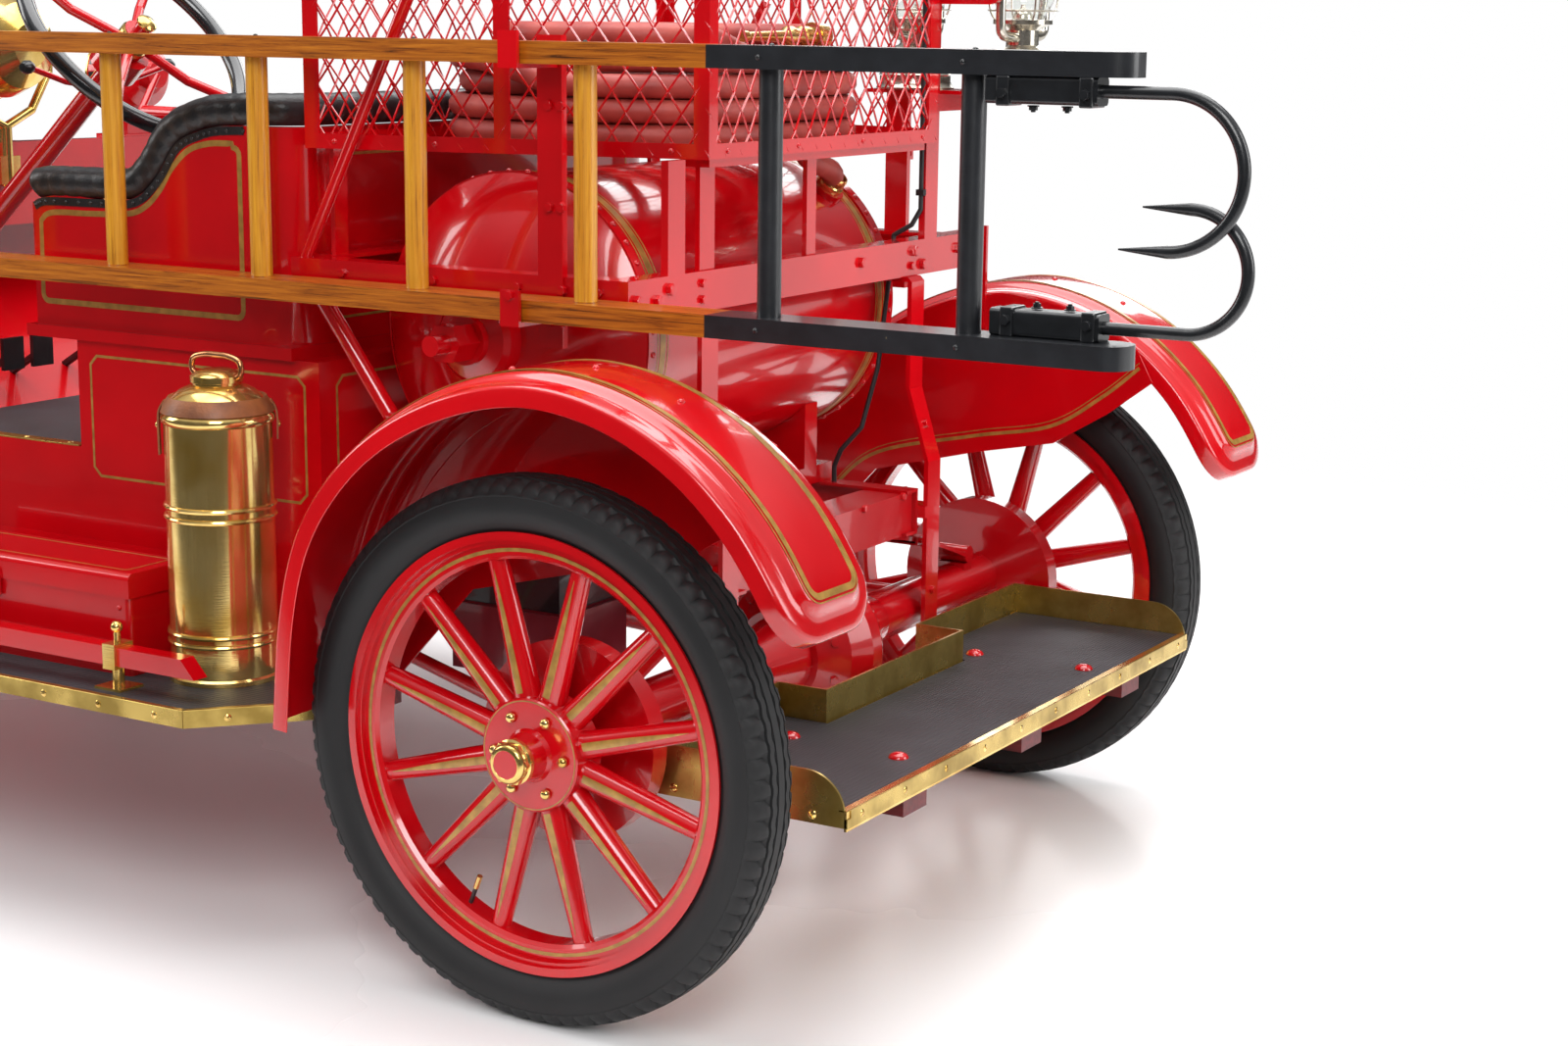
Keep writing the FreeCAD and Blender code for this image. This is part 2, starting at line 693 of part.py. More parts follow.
def arch_shell(x0, half0, top0, x1, half1, top1, low, thick, corner):
    outer = Part.makeLoft([arch_wire(x0, half0, low, top0, corner),
                           arch_wire(x1, half1, low, top1, corner)], True, True)
    lean = (half1 - half0) / (x1 - x0)
    drop = (top1 - top0) / (x1 - x0)
    a, b = x0 - 1, x1 + 1
    inner = Part.makeLoft([
        arch_wire(a, half0 - lean - thick, low - 1, top0 - drop - thick, corner - thick),
        arch_wire(b, half1 + lean - thick, low - 1, top1 + drop - thick, corner - thick),
    ], True, True)
    return outer.cut(inner)


HOOD_REAR = FIREWALL_X + FIREWALL_T + HOOD_GAP
HOOD_FRONT = RADIATOR_X - HOOD_GAP
HOOD_TOP_REAR = COWL_TOP - 8
HOOD_TOP_FRONT = RADIATOR_TOP - 6
HOOD_HALF_REAR = COWL_NECK / 2 - 4
HOOD_HALF_FRONT = RADIATOR_WIDTH / 2 - 4


def hood_leaf(side):
    """One side of the hood, from the middle hinge down to the shelf."""
    whole = arch_shell(HOOD_REAR, HOOD_HALF_REAR, HOOD_TOP_REAR, HOOD_FRONT, HOOD_HALF_FRONT,
                       HOOD_TOP_FRONT, HOOD_SIDE_BOTTOM, HOOD_T, 110)
    gap = HINGE_R + HINGE_GAP
    keep = box(HOOD_REAR - 5, HOOD_FRONT + 5, gap, 400, HOOD_SIDE_BOTTOM - 5, 1200)
    if side < 0:
        keep = mirrored(keep)
    return whole.common(keep)


def cowl_solid():
    """Outer form of the cowl, without its hollow."""
    return Part.makeLoft([
        arch_wire(COWL_REAR_X, COWL_WIDTH / 2, SILL_TOP, COWL_TOP + 4, COWL_CORNER),
        arch_wire(FIREWALL_X, COWL_NECK / 2, SILL_TOP, COWL_TOP - 4, COWL_CORNER),
    ], True, True)


def cowl():
    shell = arch_shell(COWL_REAR_X, COWL_WIDTH / 2, COWL_TOP + 4, FIREWALL_X, COWL_NECK / 2,
                       COWL_TOP - 4, SILL_TOP, 4, COWL_CORNER)
    wall = Part.Face(arch_wire(FIREWALL_X, COWL_NECK / 2, SILL_TOP - 40, COWL_TOP - 4,
                               COWL_CORNER)).extrude(V(FIREWALL_T, 0, 0))
    dash = box(COWL_REAR_X, COWL_REAR_X + 12, -COWL_WIDTH / 2 + 4, COWL_WIDTH / 2 - 4,
               COWL_TOP - 150, COWL_TOP - 60)
    top = Part.Face(arch_wire(COWL_REAR_X, COWL_WIDTH / 2 - 2, SILL_TOP, COWL_TOP + 2,
                              COWL_CORNER - 2)).extrude(V(12, 0, 0))
    panel = top.common(box(COWL_REAR_X, COWL_REAR_X + 12, -600, 600, COWL_TOP - 150, 1200))
    shelves = []
    for side in (-1, 1):
        shelf = prism_z([(FIREWALL_X + FIREWALL_T, side * 150), (FIREWALL_X + FIREWALL_T,
                        side * HOOD_HALF_REAR), (RADIATOR_X, side * (HOOD_HALF_FRONT)),
                        (RADIATOR_X, side * 150)], HOOD_SIDE_BOTTOM - 14, HOOD_SIDE_BOTTOM - 8)
        shelves.append(shelf)
    hinge = rod(V(FIREWALL_X, 0, HOOD_TOP_REAR - HOOD_T / 2),
                V(RADIATOR_X - 0.6, 0, HOOD_TOP_FRONT - HOOD_T / 2), HINGE_R)
    return fuse([shell, wall, panel, dash, hinge] + shelves)


# Body
def column_axis():
    slope = math.radians(COLUMN_SLOPE)
    return V(math.cos(slope), 0, -math.sin(slope))


def toe_board():
    """Sloping board from the floor up to the firewall, under the pedals."""
    half = COWL_NECK / 2 - 8
    return prism_y([(FLOOR_FRONT, FLOOR_TOP - FLOOR_T), (FIREWALL_X - 60, TOE_TOP_Z - FLOOR_T),
                    (FIREWALL_X - 60, TOE_TOP_Z), (FLOOR_FRONT - 8, FLOOR_TOP)], -half, half)


def body_floor():
    half = BODY_WIDTH / 2
    sill_low = FRAME_TOP
    floor = box(SEAT_BOX_FRONT, FLOOR_FRONT, -half + SILL_T, half - SILL_T, FLOOR_TOP - FLOOR_T,
                FLOOR_TOP)
    toe = toe_board()
    flat = box(FLOOR_FRONT - 10, COWL_REAR_X + 60, -half + SILL_T, half - SILL_T,
               FLOOR_TOP - FLOOR_T, FLOOR_TOP)
    wheel_centre = V(WHEEL_X, COLUMN_Y, WHEEL_Z)
    hole = rod(wheel_centre, wheel_centre + column_axis() * 1100, COLUMN_R + 6)
    parts = [floor, toe, flat]
    for side in both(box(SEAT_BOX_FRONT, FIREWALL_X, half - SILL_T, half, sill_low, SILL_TOP)):
        parts.append(side)
    for x in (SEAT_BOX_FRONT + 40, 1330.0, FLOOR_FRONT):
        parts.append(box(x - 30, x + 30, -half + SILL_T, half - SILL_T, sill_low,
                         FLOOR_TOP - FLOOR_T))
    return fuse(parts).cut(hole)


def side_aprons():
    """Valance from the sill down to the running board."""
    half = BODY_WIDTH / 2
    outline = [(half - APRON_T, FRAME_TOP), (half, FRAME_TOP), (half + 3, 520),
               (half + 16, 440), (BOARD_INNER, BOARD_TOP), (BOARD_INNER - APRON_T, BOARD_TOP),
               (half + 12, 438), (half - 1, 519)]
    apron = prism_x(outline, BOARD_REAR + 40, BOARD_FRONT)
    return group(both(apron))


def running_boards():
    outline = [(BOARD_REAR, BOARD_INNER), (BOARD_REAR, BOARD_CUT_Y - 60), (BOARD_CUT_X,
               BOARD_OUTER), (BOARD_FRONT, BOARD_OUTER), (BOARD_FRONT, BOARD_INNER)]
    board = prism_z(outline, BOARD_TOP - BOARD_T, BOARD_TOP)
    return group(both(board))


def board_brass():
    """Binding along each board's cut corner and outer edge, and a tread plate to step up on."""
    start, turn = V(BOARD_REAR, BOARD_CUT_Y - 60, 0), V(BOARD_CUT_X, BOARD_OUTER, 0)
    way = (turn - start).normalize()
    out = V(-way.y, way.x, 0)
    a = start + out * EDGE_T
    b = V(turn.x - EDGE_T * (1 - out.y) / way.y, BOARD_OUTER + EDGE_T, 0)
    binding = prism_z([(start.x, start.y), (turn.x, turn.y), (BOARD_FRONT, BOARD_OUTER),
                       (BOARD_FRONT, BOARD_OUTER + EDGE_T), (b.x, b.y), (a.x, a.y)],
                      BOARD_TOP - BOARD_T, BOARD_TOP + EDGE_T)
    plate = rounded_box(STEP_PLATE_REAR, STEP_PLATE_REAR + STEP_PLATE_LENGTH, STEP_PLATE_INNER,
                        STEP_PLATE_INNER + STEP_PLATE_WIDTH, BOARD_TOP, BOARD_TOP + EDGE_T, 14)
    foot = box(BOARD_REAR - 20, BOARD_REAR + 60, FENDER_INNER, FENDER_OUTER, BOARD_TOP,
               BOARD_TOP + 2 * EDGE_T)
    return group(both(binding.cut(foot)) + both(plate))


# Fenders
REAR_FENDER_PATH = [(388.0, BOARD_TOP - 12), (370.0, 541.0), (333.0, 664.0), (260.0, 763.0),
                    (169.0, 832.0), (55.0, 880.0), (-61.0, 898.0), (-180.0, 878.0),
                    (-286.0, 827.0), (-370.0, 755.0), (-430.0, 672.0), (-462.0, 604.0)]
FRONT_FENDER_PATH = [(2090.0, BOARD_TOP - 12), (2108.0, 450.0), (2156.0, 572.0), (2226.0, 696.0),
                     (2328.0, 798.0), (2450.0, 854.0), (2576.0, 862.0), (2700.0, 832.0),
                     (2812.0, 766.0), (2898.0, 684.0), (FENDER_TIP_X, 590.0)]


def fender_frames(path):
    """Point, direction and outward normal at stations along the path, closer at its tip."""
    curve = spline([V(x, 0, z) for x, z in path])
    # The path runs from front to back over the rear wheel and the other way in front.
    up = 1 if path[0][0] < path[-1][0] else -1
    shares = [step / 20 for step in range(19)] + [0.93, 0.955, 0.975, 1.0]
    frames = []
    for share in shares:
        t = curve.FirstParameter + (curve.LastParameter - curve.FirstParameter) * share
        along = curve.tangent(t)[0]
        frames.append((curve.value(t), along, V(-along.z, 0, along.x) * up))
    return frames


def fender_section(raise_by, drop):
    """Edges of the pressed section as (across, out): lips, flanges and a raised crown."""
    half = (FENDER_OUTER - FENDER_INNER) / 2
    crown = [(half - 7, 1.0), (half - 20, 1.8), (half - 34, 4.5), (half - 46, 10.5),
             (half - 58, 14.2), (half - 80, 16.3), (0, 17.0)]
    crown = [(a, 1.0 + (o - 1.0) * raise_by) for a, o in crown]
    outer = [(-a, o) for a, o in crown[:-1]] + crown[::-1]
    inner = [(a * (half - 9) / (half - 7), o - FENDER_T) for a, o in outer]
    thin = half - FENDER_T
    return [
        [(-half, -drop), (-half, -6)],
        [(-half, -6), (-half + 2, -1.4), outer[0]],
        outer,
        [outer[-1], (half - 2, -1.4), (half, -6)],
        [(half, -6), (half, -drop)],
        [(half, -drop), (thin, -drop)],
        [(thin, -drop), (thin, -7)],
        [(thin, -7), (thin - 1.6, -4.4), inner[-1]],
        inner[::-1],
        [inner[0], (-thin + 1.6, -4.4), (-thin, -7)],
        [(-thin, -7), (-thin, -drop)],
        [(-thin, -drop), (-half, -drop)],
    ]


def fender_wire(frame, edges):
    point, _, out = frame
    middle = (FENDER_OUTER + FENDER_INNER) / 2
    made = []
    for edge in edges:
        spots = [point + out * o + V(0, middle + a, 0) for a, o in edge]
        made.append(Part.makeLine(*spots) if len(spots) == 2 else spline(spots).toShape())
    return Part.Wire(made)


def tongue(frame, inset, low, high):
    """Block under the rounded tip of a fender, drawn in by inset, square to its sheet."""
    point, along, out = frame
    half = (FENDER_OUTER - FENDER_INNER) / 2 - inset
    radius = FENDER_TIP_R - inset
    root, tip = -FENDER_TIP_R - 2, -inset
    bend = radius * (1 - math.sqrt(0.5))

    def spot(s, across):
        return point + along * s + V(0, (FENDER_OUTER + FENDER_INNER) / 2 + across, 0) + out * low

    edges = [Part.makeLine(spot(root, -half), spot(tip - radius, -half)),
             Part.Arc(spot(tip - radius, -half), spot(tip - bend, -half + bend),
                      spot(tip, -half + radius)).toShape(),
             Part.makeLine(spot(tip, -half + radius), spot(tip, half - radius)),
             Part.Arc(spot(tip, half - radius), spot(tip - bend, half - bend),
                      spot(tip - radius, half)).toShape(),
             Part.makeLine(spot(tip - radius, half), spot(root, half)),
             Part.makeLine(spot(root, half), spot(root, -half))]
    return Part.Face(Part.Wire(edges)).extrude(out * (high - low))


def fender(path):
    """Pressed fender with a rounded, wrapped tip, standing on the running board."""
    frames = fender_frames(path)
    end = frames[-1][0]
    wires, blanks = [], []
    for frame in frames:
        fade = min(1.0, (frame[0] - end).Length / FENDER_FADE)
        wires.append(fender_wire(frame, fender_section(0.04 + 0.96 * fade ** 0.6, FENDER_LIP)))
        half = (FENDER_OUTER - FENDER_INNER) / 2
        corners = [(-half, -FENDER_LIP), (-half, 1.0), (half, 1.0), (half, -FENDER_LIP)]
        blanks.append(fender_wire(frame, list(zip(corners, corners[1:] + corners[:1]))))
    shell = Part.makeLoft(wires, True, False)
    blank = Part.makeLoft(blanks[-6:], True, False)
    reach = FENDER_LIP + 30
    last = frames[-1]
    square = Part.makeBox(FENDER_TIP_R + 30, 260, 2 * reach)
    turn = FreeCAD.Rotation(last[1], V(0, 1, 0), last[2], "XYZ")
    corner = end - last[1] * FENDER_TIP_R - last[2] * reach
    square.Placement = FreeCAD.Placement(
        corner + V(0, (FENDER_OUTER + FENDER_INNER) / 2 - 130, 0), turn)
    outer = tongue(last, 0, -reach, reach)
    wrap = blank.common(outer).cut(tongue(last, FENDER_T, -reach - 1, reach + 1))
    shell = shell.cut(square.cut(outer))
    low = box(300, 2200, FENDER_INNER - 20, FENDER_OUTER + 20, BOARD_TOP - 90,
              BOARD_TOP + SOFT_GAP)
    return shell.fuse(wrap).cut(low)


def rear_fenders():
    shell = fender(REAR_FENDER_PATH)
    apron = [(384, BOARD_TOP + SOFT_GAP), (382, 500), (340, 660), (262, 761), (168, 829), (56, 877),
             (-60, 895), (-180, 875), (-300, 815), (-330, 760), (-250, 700), (-150, 640),
             (0, 610), (200, 560), (330, 420), (352, BOARD_TOP + SOFT_GAP)]
    skirt = prism_y(apron, FENDER_INNER - SKIRT_T, FENDER_INNER + 1)
    return group(both(fuse([shell, skirt])))


def front_fenders():
    return group(both(fender(FRONT_FENDER_PATH)))


# Seat
def seat_box():
    half = BODY_WIDTH / 2
    outer = box(SEAT_BOX_REAR, SEAT_BOX_FRONT, -half, half, FRAME_TOP, SEAT_BOX_TOP)
    inner = box(SEAT_BOX_REAR + SEAT_BOX_T, SEAT_BOX_FRONT - SEAT_BOX_T, -half + SEAT_BOX_T,
                half - SEAT_BOX_T, FRAME_TOP - 1, SEAT_BOX_TOP - SEAT_BOX_T)
    ledge = box(LEDGE_REAR, LEDGE_FRONT, -half - LEDGE_OUT, half + LEDGE_OUT, SEAT_BOX_TOP,
                LEDGE_TOP)
    return fuse([outer.cut(inner), ledge])


def seat_outline(grow):
    """Side view of the seat's top edge, from the front of the arm to the back."""
    return [(SEAT_FRONT, SEAT_ARM_Z - 10 + grow), (SEAT_FRONT - 30, SEAT_ARM_Z + grow),
            (1020.0, SEAT_ARM_Z + 2 + grow), (930.0, SEAT_ARM_Z + 6 + grow),
            (880.0, SEAT_ARM_Z + 40 + grow), (838.0, SEAT_ARM_Z + 92 + grow),
            (790.0, SEAT_BACK_Z - 12 + grow), (730.0, SEAT_BACK_Z - 2 + grow),
            (SEAT_REAR - 40, SEAT_BACK_Z + grow)]


def seat_body():
    half = BODY_WIDTH / 2
    blank = rounded_box(SEAT_REAR, SEAT_FRONT + 200, -half, half, LEDGE_TOP, SEAT_BACK_Z + 60,
                        SEAT_CORNER)
    hollow = rounded_box(SEAT_REAR + SEAT_SHELL_T, SEAT_FRONT + 300, -half + SEAT_SHELL_T,
                         half - SEAT_SHELL_T, LEDGE_TOP + SEAT_SHELL_T, SEAT_BACK_Z + 80,
                         SEAT_CORNER - SEAT_SHELL_T)
    tub = blank.cut(hollow)
    curve = spline([V(x, -half - 50, z) for x, z in seat_outline(0)]).toShape()
    first, last = curve.firstVertex().Point, curve.lastVertex().Point
    edges = [curve, Part.makeLine(last, V(last.x, last.y, LEDGE_TOP)),
             Part.makeLine(V(last.x, last.y, LEDGE_TOP), V(first.x, first.y, LEDGE_TOP)),
             Part.makeLine(V(first.x, first.y, LEDGE_TOP), first)]
    side = Part.Face(Part.Wire(Part.__sortEdges__(edges))).extrude(V(0, BODY_WIDTH + 100, 0))
    return tub.common(side)


def seat_cushion():
    inset = BODY_WIDTH / 2 - SEAT_SHELL_T - SOFT_GAP - 2
    rear = SEAT_REAR + SEAT_SHELL_T + BACK_PAD_DEPTH + 2 * SOFT_GAP
    return rounded_box(rear, SEAT_FRONT - 4, -inset, inset,
                       LEDGE_TOP + SEAT_SHELL_T + SOFT_GAP, CUSHION_TOP, 22, "Y")


def seat_back_pad():
    inset = BODY_WIDTH / 2 - SEAT_CORNER
    back = SEAT_REAR + SEAT_SHELL_T + SOFT_GAP
    pad = prism_y([(back, LEDGE_TOP + SEAT_SHELL_T + SOFT_GAP), (back + BACK_PAD_DEPTH, LEDGE_TOP +
                   SEAT_SHELL_T + SOFT_GAP), (back + 62, SEAT_BACK_Z - 20),
                   (back, SEAT_BACK_Z - 6)], -inset, inset)
    return pad


def seat_roll():
    """Padded leather roll along the top edge of the arms and back."""
    y = BODY_WIDTH / 2 - SEAT_SHELL_T / 2
    lift = ROLL_R + SOFT_GAP
    curve = spline([V(x, y, z) for x, z in seat_outline(0)])
    low, high = curve.FirstParameter, curve.LastParameter
    left = []
    for step in range(23):
        t = low + (high - low) * (0.02 + 0.86 * step / 22)
        here, along = curve.value(t), curve.tangent(t)[0]
        spot = here + V(along.z, 0, -along.x) * (lift + 1)
        if spot.x > SEAT_REAR + SEAT_CORNER + 12:
            left.append(spot)
    turn_r = SEAT_CORNER - SEAT_SHELL_T / 2
    top = SEAT_BACK_Z + lift + 1
    for step in range(5):
        turn = math.radians(90 * step / 4)
        left.append(V(SEAT_REAR + SEAT_CORNER - turn_r * math.sin(turn),
                      BODY_WIDTH / 2 - SEAT_CORNER + turn_r * math.cos(turn), top))
    right = [V(p.x, -p.y, p.z) for p in reversed(left)]
    return bent_rod(left + right, ROLL_R)


# Tank and its frame
def tank_outline(grow):
    """Half section of the tank along its axis, with dished ends, as a face."""
    end = TANK_STRAIGHT + TANK_DISH
    sphere_r = (TANK_R ** 2 + TANK_DISH ** 2) / (2 * TANK_DISH)
    half_way = math.asin(TANK_R / sphere_r) / 2
    r = (sphere_r + grow) * math.sin(half_way)
    a = end - sphere_r + (sphere_r + grow) * math.cos(half_way)
    tip, rim, edge = end + grow, TANK_R + grow, TANK_STRAIGHT
    upper = Part.Arc(V(0, 0, tip), V(r, 0, a), V(rim, 0, edge)).toShape()
    lower = Part.Arc(V(rim, 0, -edge), V(r, 0, -a), V(0, 0, -tip)).toShape()
    wall = Part.makeLine(V(rim, 0, edge), V(rim, 0, -edge))
    core = Part.makeLine(V(0, 0, -tip), V(0, 0, tip))
    return Part.Face(Part.Wire([upper, wall, lower, core]))


def tank_solid(grow):
    body = tank_outline(grow).revolve(V(0, 0, 0), V(0, 0, 1), 360)
    turn = FreeCAD.Rotation(V(0, 0, 1), V(0, 1, 0))
    body.Placement = FreeCAD.Placement(V(TANK_X, 0, TANK_Z), turn)
    return body


def chemical_tank():
    """Riveted cylinder across the engine, with dished ends and two raised bands."""
    parts = [tank_solid(0)]
    for side in (-1, 1):
        y = side * (TANK_STRAIGHT - 12)
        parts.append(rod(V(TANK_X, y - 11, TANK_Z), V(TANK_X, y + 11, TANK_Z), TANK_R + 3))
    return fuse(parts)


def outlet_way():
    """Direction of the hose outlet, out of the tank's rear shoulder."""
    turn = math.radians(OUTLET_TURN)
    return V(-math.sin(turn), 0, math.cos(turn))


def outlet_base():
    return V(TANK_X, OUTLET_Y, TANK_Z) + outlet_way() * TANK_R


def hose_tube(points, radius):
    """Tube along straight runs joined by tangent arcs, with its radii printed."""
    edges, radii = [], []
    last = points[0]
    for before, here, after in zip(points, points[1:], points[2:]):
        into, out = (here - before), (after - here)
        reach = ARC_SHARE * min(into.Length, out.Length)
        into.normalize()
        out.normalize()
        half_turn = into.getAngle(out) / 2
        bend = reach / math.tan(half_turn)
        radii.append(bend)
        side = (out - into).normalize()
        top = here + side * (bend / math.cos(half_turn) - bend)
        edges.append(Part.LineSegment(last, here - into * reach).toShape())
        edges.append(Part.Arc(here - into * reach, top, here + out * reach).toShape())
        last = here + out * reach
    edges.append(Part.LineSegment(last, points[-1]).toShape())
    path = Part.Wire(edges)
    ring = Part.Wire(Part.makeCircle(radius, points[0], points[1] - points[0]))
    tube = path.makePipeShell([ring], True, False)
    print("hose tube length %.0f volume %.0f of %.0f radii %s" % (
        path.Length, tube.Volume, path.Length * math.pi * radius ** 2,
        " ".join("%.0f" % bend for bend in radii)))
    return tube


def hose_lead():
    """Rubber lead from the tank's outlet up through the basket's floor into the coil."""
    start = outlet_base() + outlet_way() * OUTLET_HEIGHT
    end = V(LEAD_X, LEAD_Y, BASKET_BOTTOM + BASKET_ANGLE_T + 3 + COIL_BOTTOM_GAP)
    second, fourth = start + outlet_way() * 12, end - V(0, 0, 12)
    pull, lift = second + outlet_way() * 40, fourth - V(0, 0, 36)
    points = [start]
    for step in range(5):
        t = step / 4
        u = 1 - t
        points.append(second * u ** 3 + pull * (3 * u * u * t) + lift * (3 * u * t * t)
                      + fourth * t ** 3)
    return hose_tube(points + [end], HOSE_R)


def tank_fittings():
    """Agitator gland on the left end, with its large hexagon nut, and the right-hand boss."""
    start = TANK_STRAIGHT + TANK_DISH - 6
    seat = [(0, 0), (GLAND_R, 0), (GLAND_R, 26), (GLAND_R - 8, 34), (36, 40), (36, 52), (0, 52)]
    left = spun(seat, V(TANK_X, start, TANK_Z), V(0, 1, 0))
    flats = [V(TANK_X + 30 * math.cos(math.radians(60 * i)), start + 52,
               TANK_Z + 30 * math.sin(math.radians(60 * i))) for i in range(6)]
    nut = prism(flats, V(0, GLAND_NUT_END - 30 - start - 52, 0))
    stub = rod(V(TANK_X, start + 52, TANK_Z), V(TANK_X, GLAND_NUT_END, TANK_Z), 15)
    tank = tank_solid(0)
    outlet = [(0, -14), (30, -14), (30, OUTLET_HEIGHT), (0, OUTLET_HEIGHT)]
    top = spun(outlet, outlet_base(), outlet_way())
    right = mirrored(spun(seat, V(TANK_X, start, TANK_Z), V(0, 1, 0)))
    return group([fuse([left, nut, stub]).cut(tank), right.cut(tank), top.cut(tank)])


def equipment_frame():
    rear = CHANNEL_REAR
    low = CHANNEL_TOP - CHANNEL_HEIGHT
    outline = [(rear, low), (rear, CHANNEL_TOP), (rear + CHANNEL_FLANGE, CHANNEL_TOP),
               (rear + CHANNEL_FLANGE, CHANNEL_TOP - CHANNEL_T), (rear + CHANNEL_T,
               CHANNEL_TOP - CHANNEL_T), (rear + CHANNEL_T, low + CHANNEL_T),
               (rear + CHANNEL_FLANGE, low + CHANNEL_T), (rear + CHANNEL_FLANGE, low)]
    parts = [prism_y(outline, -CHANNEL_RIGHT, CHANNEL_HALF)]
    parts.append(box(rear - 6, rear + 12, -FENDER_INNER + SKIRT_T, -CHANNEL_RIGHT, STAY_BOTTOM,
                     CHANNEL_TOP + 8))
    out = CHANNEL_HALF
    angle = [(out, CHANNEL_TOP - ANGLE_LEG), (out, CHANNEL_TOP), (out - ANGLE_LEG, CHANNEL_TOP),
             (out - ANGLE_LEG, CHANNEL_TOP - ANGLE_T), (out - ANGLE_T, CHANNEL_TOP - ANGLE_T),
             (out - ANGLE_T, CHANNEL_TOP - ANGLE_LEG)]
    parts += both(prism_x(angle, rear, ANGLE_FRONT))
    parts.append(box(ANGLE_FRONT - ANGLE_LEG, ANGLE_FRONT, -out, out, CHANNEL_TOP - ANGLE_T,
                     CHANNEL_TOP))
    parts.append(box(ANGLE_FRONT - ANGLE_T, ANGLE_FRONT, -out, out, CHANNEL_TOP - ANGLE_LEG,
                     CHANNEL_TOP))
    web = FRAME_WIDTH / 2
    for side in (-1, 1):
        y = side * HANGER_Y
        half = HANGER_W / 2
        foot = STEP_TOP - STEP_T
        hanger = prism_y([(rear + 36, low), (rear - 6, low), (rear - 14, low - 8),
                          (rear - 14, 760), (HANGER_X, 640), (HANGER_X, foot - 8),
                          (HANGER_X + 8, foot - 8), (HANGER_X + 8, 643), (rear - 6, 763),
                          (rear - 6, low - 8), (rear + 36, low - 8)], y - half, y + half)
        parts += [hanger, box(STEP_FRONT - 46, HANGER_X + 8, y - half, y + half, foot - 8, foot)]
        tie = box(HANGER_X, FRAME_REAR + 30, min(side * web, side * (web + 46)),
                  max(side * web, side * (web + 46)), FRAME_TOP - 50, FRAME_TOP - 30)
        parts.append(tie)
        leg = bent_rod([V(ANGLE_FRONT - 14, side * (out - 18), CHANNEL_TOP - 20),
                        V(450, side * 470, 774), V(430, side * (web + 30), FRAME_TOP + 10)],
                       STRUT_R)
        shoe = box(400, 460, min(side * web, side * (web + 50)), max(side * web, side * (web + 50)),
                   FRAME_TOP - 40, FRAME_TOP + 10)
        parts += [leg, shoe]
        # Saddle: a curved seat under the tank on two cross sleepers.
    for y in (-220.0, 220.0):
        saddle = box(TANK_X - 170, TANK_X + 170, y - 20, y + 20, FRAME_TOP, TANK_Z - 120)
        cut = rod(V(TANK_X, y - 30, TANK_Z), V(TANK_X, y + 30, TANK_Z), TANK_R + SOFT_GAP)
        parts.append(saddle.cut(cut))
    for x in (TANK_X - 140, TANK_X + 140):
        parts.append(box(x - 30, x + 30, -web, web, FRAME_TOP, FRAME_TOP + 30))
    for side in (-1, 1):
        y = side * POST_Y
        parts.append(box(rear, rear + POST_T, y - POST_W / 2, y + POST_W / 2, CHANNEL_TOP - 30,
                         BASKET_TOP if side < 0 else BASKET_BOTTOM))
    parts += basket_props()
    parts += ladder_brackets()
    parts += lantern_shelf()
    return fuse(parts)


def basket_props():
    """Flat bars that lift the basket above the channel and the front cross angle."""
    props = [box(RUNNER_X, RUNNER_X + 44, -330, 330, BASKET_BOTTOM - 12, BASKET_BOTTOM)]
    for x, y, half in ((CHANNEL_REAR + 6, 300.0, 20), (CHANNEL_REAR + 6, 0.0, 14),
                       (ANGLE_FRONT - 30, 430.0, 15), (ANGLE_FRONT - 30, -430.0, 15)):
        props.append(box(x, x + 8, y - half, y + half, CHANNEL_TOP - 8, BASKET_BOTTOM))
    for side in (-1, 1):
        props.append(rod(V(ANGLE_FRONT - 8, side * (CHANNEL_HALF - 20), CHANNEL_TOP - 10),
                         V(380, side * (BASKET_HALF_FRONT + 8), BASKET_TOP - 200), 9))
    return props


def ladder_hooks(x0, x1, inner):
    """Two open hooks that take the ladder's rails, reaching out from a bar at inner."""
    outer = LADDER_Y + LADDER_DEPTH / 2 + 6
    hooks = []
    for z in (LADDER_BOTTOM, LADDER_TOP - RAIL_T):
        bottom = z - SOFT_GAP
        hooks.append(prism_x([(inner, bottom - 6), (outer + 6, bottom - 6),
                              (outer + 6, z + RAIL_T + 14), (outer, z + RAIL_T + 14),
                              (outer, bottom), (inner, bottom)], x0, x1))
    return hooks


def ladder_brackets():
    """Upright bars on both sides, with hooks that hold the ladder rails on the left."""
    x0, x1 = BRACKET_X, BRACKET_X + BRACKET_W
    face = CHANNEL_HALF
    bars = []
    for side in (-1, 1):
        inner, outer = side * (face - 8), side * (face + 4)
        bars.append(box(x0, x1, min(inner, outer), max(inner, outer), CHANNEL_TOP - 100,
                        LADDER_TOP + 8 if side > 0 else LANTERN_BASE_Z - 6))
    right_hook = prism_x([(-face, CHANNEL_TOP + 120), (-face - 30, CHANNEL_TOP + 120),
                          (-face - 30, CHANNEL_TOP + 150), (-face - 24, CHANNEL_TOP + 150),
                          (-face - 24, CHANNEL_TOP + 126), (-face, CHANNEL_TOP + 126)],
                         x0 + 8, x1 - 8)
    return bars + [right_hook] + ladder_hooks(x0 + 6, x1 - 4, face)


